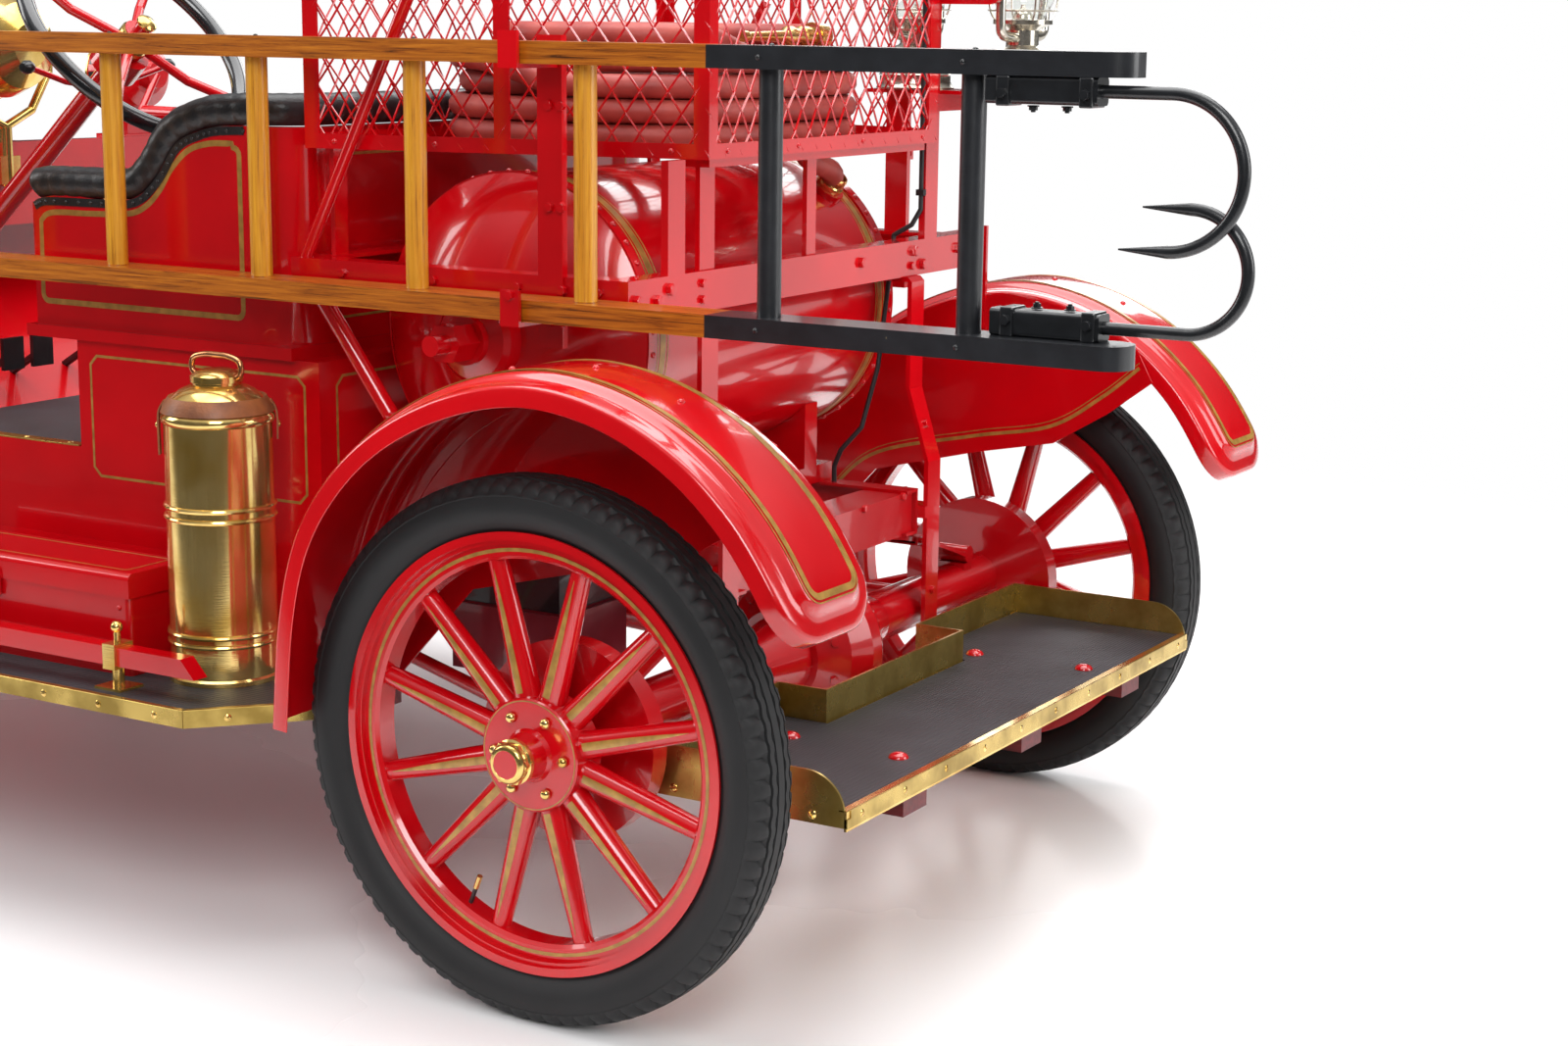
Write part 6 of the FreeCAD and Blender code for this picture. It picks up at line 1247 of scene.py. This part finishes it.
class FIRE_OT_hardware(bpy.types.Operator):
    """Bolts, rivets and clips of the frames, basket, tank, axle and springs"""
    bl_idname = "fire_engine.hardware"
    bl_label = "Bolts and rivets"

    def execute(self, context):
        mid = CHANNEL_TOP - CHANNEL_HEIGHT / 2
        fasten("channel_bolts", "bolt_head", "red", [
            ((CHANNEL_REAR, y, mid + dz), (-1, 0, 0)) for y, dz in (
                (492, 0), (440, -4), (408, 10), (128, 2), (-150, 6), (-330, 12), (-360, -12),
                (-488, 6))])
        fasten("upright_bolts", "bolt_head", "red", met("equipment_frame", [
            ((x, 700, z), (0, -1, 0)) for x in (100, 121) for z in (940, 985, 1100, 1240)],
            220), size=0.85)
        fasten("tank_rivets", "rivet", "red", [
            (Vector((TANK_X, side * 360, TANK_Z)) + out * (TANK_R + 3), out)
            for side in (-1, 1) for out in spin(44, 0.5)], size=0.8)
        self.running_gear()
        self.frame_bolts()
        return {"FINISHED"}

    def running_gear(self):
        """Case and drum bolts of the rear axle, spring clips and their nuts."""
        fasten("axle_bolts", "bolt_head", "chassis", met("rear_axle", [
            (Vector((0, side * y, TYRE_R)) + out * reach, (0, -side, 0))
            for side in (-1, 1) for out in spin(10, 0.5) for y, reach in ((330, 97), (560, 128))],
            330), size=0.8)
        half, bar, clips, nuts = 33.5, 4.0, [], []
        for x in (0.0, WHEELBASE):
            for y in (-330, -190, 190, 330):
                ends = met("springs", [((x, y, 760), (0, 0, -1)), ((x, y, 300), Z)], 500)
                if len(ends) < 2:
                    continue
                a, b = ends[0][0].z + 2, ends[1][0].z - 2
                clips += [brick(x + x0, x + x1, y - 12, y + 12, z0, z1) for x0, x1, z0, z1 in (
                    (-half, bar - half, b, a), (half - bar, half, b, a),
                    (-half, half, a - 1.5, a + 2), (-half, half, b - 2, b + 1.5))]
                nuts += [((x + s * half, y, (a + b) / 2), (s, 0, 0)) for s in (-1, 1)]
        put("spring_clips", joined(*clips), "chassis", soft=False, bevel=0.0008)
        fasten("spring_clip_nuts", "bolt_head", "chassis", nuts, size=0.6)

    def frame_bolts(self):
        """Bolts where the equipment frame, rails, radiator and cowl are joined."""
        ends, low = (-1, 1), BASKET_BOTTOM + 11
        spots = []
        for node, looks in (
                ("equipment_frame", [((-120, y, z), X) for y in (-322, 322)
                                     for z in (986, 962, 700, 420)]
                 + [((x, 700, 985), (0, -1, 0)) for x in (40, 180, 330, 500)]),
                ("chassis_frame", [((x, side * 600, 590), (0, -side, 0))
                                   for x in (-20, 330, 640, 980, 1330, 1680, 2020, 2380)
                                   for side in ends]
                 + [((-140, y, 588), X) for y in (-250, -120, 120, 250)]),
                ("radiator", [((RADIATOR_FACE + 60, side * 214, z), (-1, 0, 0))
                              for z in (640, 760, 880, 1000) for side in ends]),
                ("cowl", [((x, side * 640, 700), (0, -side, 0)) for x in (1760, 1830)
                          for side in ends])):
            spots += met(node, looks, 420)
        fasten("frame_bolts", "bolt_head", "red", spots, size=0.75)
        fasten("basket_rivets", "rivet", "red", met("hose_basket", [
            ((x, side * 600, low), (0, -side, 0)) for x in (20, 200, 380, 540) for side in ends]
            + [((-140, y, low), X) for y in (-300, -100, 100, 300)], 420), size=0.7)


def swell(name, shape, held, voxel, cap, finish="leather"):
    """Closed leather form blown up as cloth from its held places, then kept as a mesh."""
    item = linked(name + "_cut", welded(name + "_cut", [row(*v) for v in shape[0]], shape[1]))
    even = item.modifiers.new("even", "REMESH")
    even.mode = "VOXEL"
    even.voxel_size = voxel
    made = item.data = plain_mesh(item)
    start = [v.co.copy() for v in made.vertices]
    pins = item.vertex_groups.new(name="held")
    for vertex in made.vertices:
        if held(vertex.co.x * 1000 - AXLE_SHIFT, vertex.co.y * 1000, vertex.co.z * 1000):
            pins.add([vertex.index], 1.0, "REPLACE")
    cloth = item.modifiers.new("swell", "CLOTH")
    cloth.settings.use_pressure = True
    cloth.settings.uniform_pressure_force = 4.0
    cloth.settings.effector_weights.gravity = 0.0
    cloth.settings.vertex_group_mass = "held"
    for step in range(1, 21):
        bpy.context.scene.frame_set(step)
    made = plain_mesh(item)
    for vertex, old in zip(made.vertices, start):
        move = vertex.co - old
        if move.length > cap:
            vertex.co = old + move.normalized() * cap
    bpy.context.scene.frame_set(1)
    bpy.data.objects.remove(item)
    made.name = name
    return settle(name, made, finish, "vehicle", (name.replace("_soft", ""),), subdivide=1)


class FIRE_OT_upholstery(bpy.types.Operator):
    """Tufted cushion and back, and the puckered roll along the seat's edge"""
    bl_idname = "fire_engine.upholstery"
    bl_label = "Upholstery"

    def execute(self, context):
        # Buttons stand in three staggered rows, each held down over the radius tuft
        x0, x1, tuft = SEAT_REAR + 132, SEAT_FRONT - 10, 15
        spots = [(x0 + 72 + 128 * i, -400 + 160 * j + 80 * (i % 2))
                 for i in range(3) for j in range(6 - i % 2)]
        cushion = slab(rounded(x0 + 8, x1 - 4, -462, 462, 34), 890, 982)
        piece = swell("seat_cushion_soft", cushion, lambda x, y, z: z < 900 or (
            z > 970 and any((x - a) ** 2 + (y - b) ** 2 < tuft ** 2 for a, b in spots)),
            0.009, 0.018)
        self.buttons("cushion_buttons", [((x, y, 984), Z) for x, y in spots])
        heights = [(z, -330 + 132 * j + 66 * (i % 2)) for i, z in enumerate((960, 1040, 1115))
                   for j in range(6 - i % 2)]
        back = prism(*[[Vector((x, y, z)) for x, z in (
            (640, 892), (728, 892), (688, 1162), (640, 1176))] for y in (-400, 400)])
        piece = swell("seat_back_pad_soft", back, lambda x, y, z: x < 648 or z < 900 or any(
            (z - a) ** 2 + (y - b) ** 2 < tuft ** 2 for a, b in heights), 0.009, 0.016)
        self.buttons("back_buttons", [
            ((728 - (z - 892) * 40 / 270 + 1, y, z), (1, 0, 0.15)) for z, y in heights])
        self.roll()
        return {"FINISHED"}

    def buttons(self, name, spots):
        fasten(name, "coach_bolt", "leather", spots, size=0.8)

    def roll(self):
        """Leather roll gathered by its stitching, with a nailed binding under it."""
        line = smooth_line([(SEAT_FRONT, 1058), (SEAT_FRONT - 30, 1068), (1020, 1070),
                            (930, 1074), (880, 1108), (838, 1160), (790, 1182), (730, 1192),
                            (SEAT_REAR - 40, SEAT_BACK_Z)])
        y, turn_x = BODY_HALF - SEAT_SHELL_T / 2, SEAT_REAR + SEAT_CORNER
        lift = 25.3  # of the roll's middle above the edge
        left, binding = [], []
        for before, here, after in zip(line, line[1:], line[2:]):
            way = (after - before).normalized()
            out = Vector((way.z, 0, -way.x))
            spot = here + out * lift
            if spot.x > turn_x + 12:
                left.append(Vector((spot.x, y, spot.z)))
            if here.x > turn_x - 6:
                binding.append(Vector((here.x, BODY_HALF, here.z)) - out * 7)
        turn_r = SEAT_CORNER - SEAT_SHELL_T / 2
        for step in range(9):
            turn = math.radians(90 * step / 8)
            left.append(Vector((turn_x - turn_r * math.sin(turn),
                                BODY_HALF - SEAT_CORNER + turn_r * math.cos(turn),
                                SEAT_BACK_Z + lift)))
        path = self.even(left + [Vector((p.x, -p.y, p.z)) for p in reversed(left)], 5.0)
        sides, half_wide, deep, seated = 26, 23.6, 27.0, -25.1
        verts, last = [], len(path) - 1
        for index, point in enumerate(path):
            way = (path[min(index + 1, last)] - path[max(index - 1, 0)]).normalized()
            across = way.cross(Vector(Z)).normalized()
            up = across.cross(way)
            end = max(min(1.0, math.sqrt(min(index, last - index) / 4)), 0.25)
            pucker = abs(math.sin(index * 0.52 + 0.7 * math.sin(index * 0.11))) ** 0.6
            for k in range(sides):
                turn = 2 * math.pi * k / sides
                low = max(0.0, -math.sin(turn))
                wide = half_wide - (1.0 - pucker) * (1.2 + 4.2 * low)
                high = max(seated, math.sin(turn) * (deep if low else wide))
                verts.append(point + (across * math.cos(turn) * wide + up * high) * end)
        faces = ring_faces(len(path), sides) + caps(len(path), sides)
        piece = put("seat_roll_soft", (verts, faces), "leather", replaces=("seat_roll",))
        nails = []
        for word, side in SIDES:
            up = Vector((0, side, 0))
            spots = [(Vector((p.x, side * p.y, p.z)), up) for p in binding]
            stripe("seat_binding_" + word, [spots], 13.0, "leather", thick=2.2, lift=0.7)
            nails += [(p + up * 1.6, up) for p, _ in spots[1::2]]
        fasten("seat_nails", "nail", "black", nails, size=0.8)

    def even(self, path, gap):
        """The same path with points at an even gap."""
        made, left = [path[0]], gap
        for a, b in zip(path, path[1:]):
            run = (b - a).length
            while left <= run:
                made.append(a + (b - a) * (left / run))
                left += gap
            left -= run
        return made


class FIRE_OT_equipment(bpy.types.Operator):
    """Extinguishers, toolbox latch, floor mats and hook fittings"""
    bl_idname = "fire_engine.equipment"
    bl_label = "Side equipment"

    def execute(self, context):
        for word, side in SIDES:
            self.extinguisher(word, side)
        self.toolbox()
        self.footwell()
        self.ladder_irons()
        return {"FINISHED"}

    def extinguisher(self, word, side):
        """Brass bottle with beads round it, a copper ring, a strap, its tails and buckles."""
        base = Vector((BOTTLE_X, side * BOTTLE_Y, BOARD_TOP + 0.2))
        wall = 79.4
        half = [(0, 0), (80, 0), (83.6, 2.5), (83.6, 9), (80, 12), (wall, 58)]
        for z in (62, 76, 250, 266):
            half += [(wall, z - 4), (wall + 3, z - 2.6), (wall + 4.2, z), (wall + 3, z + 2.6),
                     (wall, z + 4)]
        half += [(79.2, 388), (82.6, 391), (83.8, 396), (82.6, 401), (79.6, 404), (76, 414),
                 (67, 427), (55, 437), (42, 443), (36, 445), (36, 448), (39, 449), (39, 458),
                 (36, 460), (30, 464), (20, 467.4), (0, 468)]
        put("extinguisher_" + word, turned(half, base, Z, 72), "brass",
            replaces=("extinguishers",) if side > 0 else ())
        ring = smooth_line([base + Vector((x, 0, z)) for x, z in (
            (-30, 452), (-47, 462), (-45, 480), (-24, 487), (0, 488), (24, 487), (45, 480),
            (47, 462), (30, 452))], 6)
        put("extinguisher_ring_" + word, along_path(ring, 4.6, 12), "copper")
        band = [(79, 404.5), (83.2, 405.4), (79.6, 416.2), (71.6, 427.8), (67.2, 426),
                (75, 413)]
        put("extinguisher_strap_" + word, turned(band, base, Z, 56, True), "strap")
        for index, turn in enumerate((0.95, -2.3)):
            out = Vector((math.sin(turn), side * math.cos(turn), 0))
            tail = smooth_line([base + out * r + Vector((0, 0, z)) for r, z in (
                (77, 421), (84, 409), (86.4, 392), (86, 340 + 22 * index))], 5)
            stripe("strap_tail_%s_%d" % (word, index), [[(p, out) for p in tail]], 17.0,
                   "strap", thick=2.6, lift=0.0)
            fasten("strap_buckle_%s_%d" % (word, index), "nail", "brass",
                   [(base + out * 87.4 + Vector((0, 0, 384)), out)], size=1.5)

    def toolbox(self):
        """Hasp, staple and line of the lid, and rivets of the box."""
        body, middle, y = "toolbox_lid_body", TOOLBOX_REAR + TOOLBOX_LONG / 2, TOOLBOX_OUTER + 3
        hasp = prism(*[[Vector((middle + x, y + 2.6 + out, LID_LOW + z))
                        for x, z in rounded(-13, 13, -27, 19, 11)] for out in (0, 3.4)])
        put("toolbox_hasp", hasp, "red", body, bevel=0.0006)
        loop = smooth_line([(middle + x, y + out, LID_LOW + z) for x, out, z in (
            (0, 5, -4), (-8, 9, -12), (0, 10, -20), (8, 9, -12))], 5, True)
        put("toolbox_staple", along_path(loop, 2.2, 8, True), "red", body)
        line = [((x, z, TOOLBOX_TOP), Z) for x, z in rounded(
            TOOLBOX_REAR + 22, TOOLBOX_REAR + TOOLBOX_LONG - 22, TOOLBOX_INNER + 22,
            TOOLBOX_OUTER - 20, 8, 3)]
        stripe("toolbox_line", [line], 2.0, body=body, closed=True)
        fasten("toolbox_rivets", "rivet", "red", [
            ((x, TOOLBOX_OUTER + 0.2, z), (0, 1, 0))
            for x in (TOOLBOX_REAR + 20, TOOLBOX_REAR + TOOLBOX_LONG - 20)
            for z in (BOARD_TOP + 16, LID_LOW - 16)], size=0.7)

    def footwell(self):
        """Mat on the floor, and a brass sill on each side of it."""
        put("footwell_mat", brick(1066, 1558, -476, 476, 651.5, 655), "mat", bevel=0.0008)
        for word, side in SIDES:
            sill = brick(1070, 1722, *sorted((side * 477, side * 500.8)), 669.6, 672)
            put("sill_brass_" + word, sill, "sheet_brass", soft=False, bevel=0.0006)
            fasten("sill_screws_" + word, "screw", "brass", [
                ((x, side * 489, 671.8), Z) for x in range(1100, 1720, 100)], size=0.8)

    def ladder_irons(self):
        """Rivets through the rails at each rung, and clamps with bolts on the hook sockets."""
        painted, plain = [], []
        for k in range(RUNGS):
            x = RUNG_REAR + RUNG_PITCH * k
            heads = painted if k < PAINTED_RUNGS else plain
            heads += [((x, 565, z), (0, 0, up)) for z, up in ((1328, 1), (948, -1))]
            if k < PAINTED_RUNGS:
                heads += [((x, 599, z), (0, 1, 0)) for z in (963, 1313)]
        fasten("ladder_rivets_dark", "nail", "black", painted)
        fasten("ladder_rivets", "nail", "iron", plain, size=0.9, slot="black_paint")
        for word, y, z, up in (("upper", 579, 1281, -1), ("lower", 551, 995, 1)):
            clamps = [brick(x - 9, x + 9, y - 20, y + 20, *sorted((z - up * 17, z + up * 19.5)))
                      for x in (-722, -612)]
            put("socket_clamps_" + word, joined(*clamps), "black", soft=False, bevel=0.002)
            fasten("socket_bolts_" + word, "bolt_head", "black", [
                ((x, y + s * 20, z + up * 4), (0, s, 0)) for x in (-722, -612)
                for s in (-1, 1)], size=0.8)
            fasten("socket_nuts_" + word, "hex_bolt", "black", [
                ((x, y, z + up * 19), (0, 0, up)) for x in (-690, -645)], size=0.6)


class FIRE_OT_lamps(bpy.types.Operator):
    """Lanterns with globes and guards, lamp lenses, radiator core and hood fittings"""
    bl_idname = "fire_engine.lamps"
    bl_label = "Lamps and front"

    def execute(self, context):
        for index, x in enumerate((-123, 76)):
            self.lantern(index, Vector((x, -482, 1246)))
        self.lenses()
        self.front()
        self.cockpit()
        self.engine()
        return {"FINISHED"}

    def lantern(self, index, base):
        """Font, burner and hood, side tubes, guard wires, bail, and the globe of glass."""
        def at(*spot):
            return base + Vector(spot)

        font = [(0, 0), (66, 0), (66, 3), (63, 6), (60, 12), (60, 22), (62, 24), (60, 26),
                (60, 52), (56, 62), (45, 69), (30, 73), (27, 76), (27, 100), (33, 104), (49, 110),
                (49, 117), (44, 118), (30, 114), (0, 112)]
        burner = [(0, 108), (15, 108), (17, 116), (17, 124), (12, 132), (5, 136), (3.4, 142),
                  (0, 142)]
        hood = [(0, 236), (33, 236), (35, 230), (38, 231), (38, 236), (46, 240), (47, 258),
                (42, 264), (32, 278), (34, 292), (36, 296), (30, 304), (22, 314), (10, 320),
                (0, 321)]
        shapes = [turned(profile, base, Z, 44) for profile in (font, burner, hood)]
        for side in (-1, 1):
            tube = smooth_line([at(0, side * y, z) for y, z in (
                (24, 88), (62, 90), (76, 95), (83, 108), (84, 180), (83, 262), (76, 275),
                (62, 283), (28, 289))], 5)
            shapes.append(along_path(tube, 8.4, 14))
        for z, r in ((132, 57), (176, 62), (214, 57)):
            shapes.append(along_path([at(r * way.x, r * way.z, z) for way in spin(30)], 1.7, 8,
                                     True))
        for way in spin(4, 0.5):
            wire = smooth_line([at(way.x * r, way.z * r, z) for r, z in (
                (46, 114), (57, 132), (62, 176), (57, 214), (44, 244))], 5)
            shapes.append(along_path(wire, 1.7, 8))
        bail = smooth_line([at(x, y, z) for x, y, z in (
            (0, -76, 268), (-30, -70, 300), (-46, -30, 326), (-48, 0, 331), (-46, 30, 326),
            (-30, 70, 300), (0, 76, 268))], 5)
        shapes.append(along_path(bail, 1.9, 8))
        put("lantern_%d" % index, joined(*shapes), "nickel",
            replaces=("lanterns",) if index == 0 else ())
        outer = [(33, 113), (39, 126), (50, 146), (54.6, 172), (50, 200), (40, 222), (35, 233)]
        globe = outer + [(r - 2, z) for r, z in reversed(outer)]
        put("lantern_globe_%d" % index, turned(globe, base, Z, 44, True), "glass")

    def lenses(self):
        """Bright bowl, bulb, glass and rim in front of each lamp's face."""
        for name, centre, face, r in (("search", (1714, 30, 1295), 66.0, 96.0),
                                      ("head_left", (2600, 392, 842), 46.0, 102.0),
                                      ("head_right", (2600, -392, 842), 46.0, 102.0)):
            for part, finish, steps, closed, profile in (
                    ("bowl", "nickel", 56, True, [
                        (r - 2, 0.4), (r - 3, 6.4), (r * 0.8, 2.2), (r * 0.5, 1.0), (0.0, 0.8),
                        (0.0, -1.0), (r - 2, -1.0)]),
                    ("bulb", "glass", 24, False, [(0, 0), (9, 0), (12, 6), (10, 11), (0, 12)]),
                    ("lens", "glass", 56, False, [
                        (r - 2, 8), (r * 0.7, 13), (r * 0.35, 16), (0, 17), (0, 14.6),
                        (r * 0.35, 13.6), (r * 0.7, 10.6), (r - 2, 6)]),
                    ("rim", "brass", 56, True, [
                        (r - 4, -2), (r + 6, -2), (r + 8, 2), (r + 6, 9), (r - 1, 11),
                        (r - 4, 8)])):
                put("%s_%s" % (name, part), turned([(q, face + a) for q, a in profile], centre,
                                                   X, steps, closed), finish)

    def front(self):
        """Radiator core, its brass cap, hood louvres and handles."""
        face, fin_pitch, tubes = RADIATOR_FACE - 16, 8.6, 25
        fins = [brick(face, face + 5, -190, 190, z, z + 1.6)
                for z in np.arange(646, 994, fin_pitch)]
        fins += [brick(face - 1, face + 8, y - 2.2, y + 2.2, 643, 995)
                 for y in np.linspace(-181, 181, tubes)]
        put("radiator_fins", joined(*fins), "core", soft=False)
        cap = [(0, 0), (38, 0), (40, 4), (40, 14), (36, 19), (24, 22), (9, 24), (7, 30), (10, 36),
               (0, 40)]
        put("radiator_cap", turned(cap, (2530, 0, 1122), Z, 40), "brass")
        for word, side in SIDES:
            node, body, way = "hood_" + word, "hood_%s_body" % word, (0, -side, 0)
            lip, shelf = Vector((13, side * 7, 0)), Vector((16, 0, 0))
            shapes = []
            for x in range(1990, 2390, 40):
                ends = met(node, [((x, side * 500, z), way) for z in (770, 930)])
                if len(ends) == 2:
                    a, b = ends[0][0], ends[1][0]
                    shapes.append(([a, b, b + lip, a + lip, a + shelf, b + shelf],
                                   [(0, 1, 2, 3), (3, 2, 5, 4), (0, 3, 4), (1, 5, 2),
                                    (0, 4, 5, 1)]))
            put("hood_louvres_" + word, joined(*shapes), "red", body, bevel=0.0012)
            here = on_surface(node, (2180, side * 500, 730), way)[0]
            bow = smooth_line([here + Vector((x, side * o, 0)) for x, o in (
                (-52, 1), (-50, 20), (0, 28), (50, 20), (52, 1))], 6)
            put("hood_handle_" + word, along_path(bow, 5, 12), "brass", body)

    def engine(self):
        """Cylinder head, plugs and leads, manifold branches and the fan under the hood."""
        head = [brick(1965, 2395, -95, 95, 898, 928)]
        plugs, leads = [], []
        pipes = [along_path([(1990, -176, 830), (2380, -176, 830)], 24, 20)]
        plug = [(0, 0), (12, 0), (12, 12), (8, 14), (7, 34), (3, 36), (3, 44), (0, 45)]
        for k in range(CYLINDERS):
            x = CYLINDER_REAR + CYLINDER_PITCH * k
            head.append(brick(x - 34, x + 34, -60, 60, 926, 940))
            spot = Vector((x, 0, 938))
            plugs.append(turned(plug, spot, Z, 16))
            leads.append(along_path(smooth_line([spot + Vector(p) for p in (
                (0, 0, 42), (4, 30, 62), (10, 80, 50), (14, 120 + 6 * k, -10))], 6), 3, 8))
            pipes.append(along_path([(x, -140, 850), (x, -176, 834)], 19, 16))
        put("cylinder_head", joined(*head), "iron", soft=False, bevel=0.003)
        fasten("head_bolts", "hex_bolt", "iron", [
            ((1985 + 65 * k, y, 928), Z) for k in range(7) for y in (-80, 80)], size=0.7)
        put("spark_plugs", joined(*plugs), "nickel")
        put("plug_leads", joined(*leads), "cable")
        put("manifold", joined(*pipes), "iron")
        hub = Vector((2446, 0, 800))
        blades = [turned([(0, -8), (26, -8), (26, 8), (0, 8)], hub, X, 24)]
        for way in spin(4, 0.5):
            out = Vector((0, way.x, way.z))
            flat = Vector((9, -26 * out.z, 26 * out.y))
            rim = [hub + out * r + flat * w for r, w in ((22, -1), (22, 1), (150, 1), (150, -1))]
            blades.append(prism(rim, [p + Vector((2, 0, 0)) for p in rim]))
        put("cooling_fan", joined(*blades), "iron", soft=False)
        hose = smooth_line([(2395, 0, 925), (2425, 0, 940), (2460, 0, 1000), (2488, 0, 1020)], 6)
        put("water_outlet", along_path(hose, 19, 18), "cable")

    def cockpit(self):
        """Brass wheel nut and boss, the quadrant levers' knobs, siren fittings and dials."""
        body = "steering_wheel_body"
        nut = [(0, 33), (15, 33), (17, 36), (17, 40), (11, 45), (0, 47)]
        cup = [(26.4, -20), (29, -16), (29, 10), (26.4, 14)]
        put("wheel_nut", turned(nut, STEERING_TOP, STEERING_AXIS, 30), "brass", body)
        put("wheel_boss", turned(cup, STEERING_TOP, STEERING_AXIS, 40, True), "brass", body)
        knob = [(0, -12), (7, -11), (11, -4), (11, 4), (7, 11), (0, 12)]
        for word, y in (("spark", -159), ("throttle", 159)):
            spot = STEERING_TOP - STEERING_AXIS * 110 + Vector((0, y, 28))
            put(word + "_knob", turned(knob, spot, (0, 1, 0), 24), "black")
        # Painted shade: black pads on the siren's drum stand for the dark openings of its slots
        slot_shades = []
        for way in spin(18):
            out, side = Vector((0, way.x, way.z)), Vector((0, -way.z, way.x))
            slot_shades.append(prism(*[[SIREN + out * r + Vector((x, 0, 0)) + side * w for x, w in (
                (-6, -5), (-6, 5), (34, 5), (34, -5))] for r in (70.4, 66.0)]))
        put("siren_slots", joined(*slot_shades), "black", soft=False)
        painted_reflection_bands = [turned([(66, x), (72, x), (72, x + 5), (66, x + 5)], SIREN, X, 48, True)
                 for x in (-14, 37)]
        nose = turned([(0, 60), (16, 60), (18, 64), (12, 72), (0, 74)], SIREN, X, 32)
        put("siren_brass", joined(*painted_reflection_bands, nose), "brass")
        dial = [(0, 0), (34, 0), (36, 3), (34, 8), (0, 8)]
        for index, y in enumerate((120, 210)):
            put("dash_dial_%d" % index, turned(dial, (1730.5, y, 1010), (-1, 0, 0), 40), "brass")


class FIRE_PT_panel(bpy.types.Panel):
    """Steps of the fire engine, in order"""
    bl_idname = "FIRE_PT_panel"
    bl_label = "Fire Engine"
    bl_space_type = "VIEW_3D"
    bl_region_type = "UI"
    bl_category = "Fire Engine"

    def draw(self, context):
        for operator in OPERATORS:
            self.layout.operator(operator.bl_idname)
        for group in (context.scene.fire_colours, context.scene.fire_sizes):
            for key in group.bl_rna.properties.keys():
                if key not in ("rna_type", "name"):
                    self.layout.prop(group, key)


OPERATORS = (FIRE_OT_stage, FIRE_OT_finishes, FIRE_OT_wheels, FIRE_OT_basket, FIRE_OT_hose,
             FIRE_OT_striping, FIRE_OT_fenders, FIRE_OT_boards, FIRE_OT_hardware,
             FIRE_OT_upholstery, FIRE_OT_equipment, FIRE_OT_lamps)
CLASSES = (EngineColours, EngineSizes) + OPERATORS + (FIRE_PT_panel,)


def register():
    for item in CLASSES:
        bpy.utils.register_class(item)
    bpy.types.Scene.fire_colours = bpy.props.PointerProperty(type=EngineColours)
    bpy.types.Scene.fire_sizes = bpy.props.PointerProperty(type=EngineSizes)


def unregister():
    del bpy.types.Scene.fire_sizes
    del bpy.types.Scene.fire_colours
    for item in reversed(CLASSES):
        bpy.utils.unregister_class(item)


def main():
    register()
    for operator in OPERATORS:
        group, name = operator.bl_idname.split(".")
        getattr(getattr(bpy.ops, group), name)()


if __name__ == "__main__":
    main()
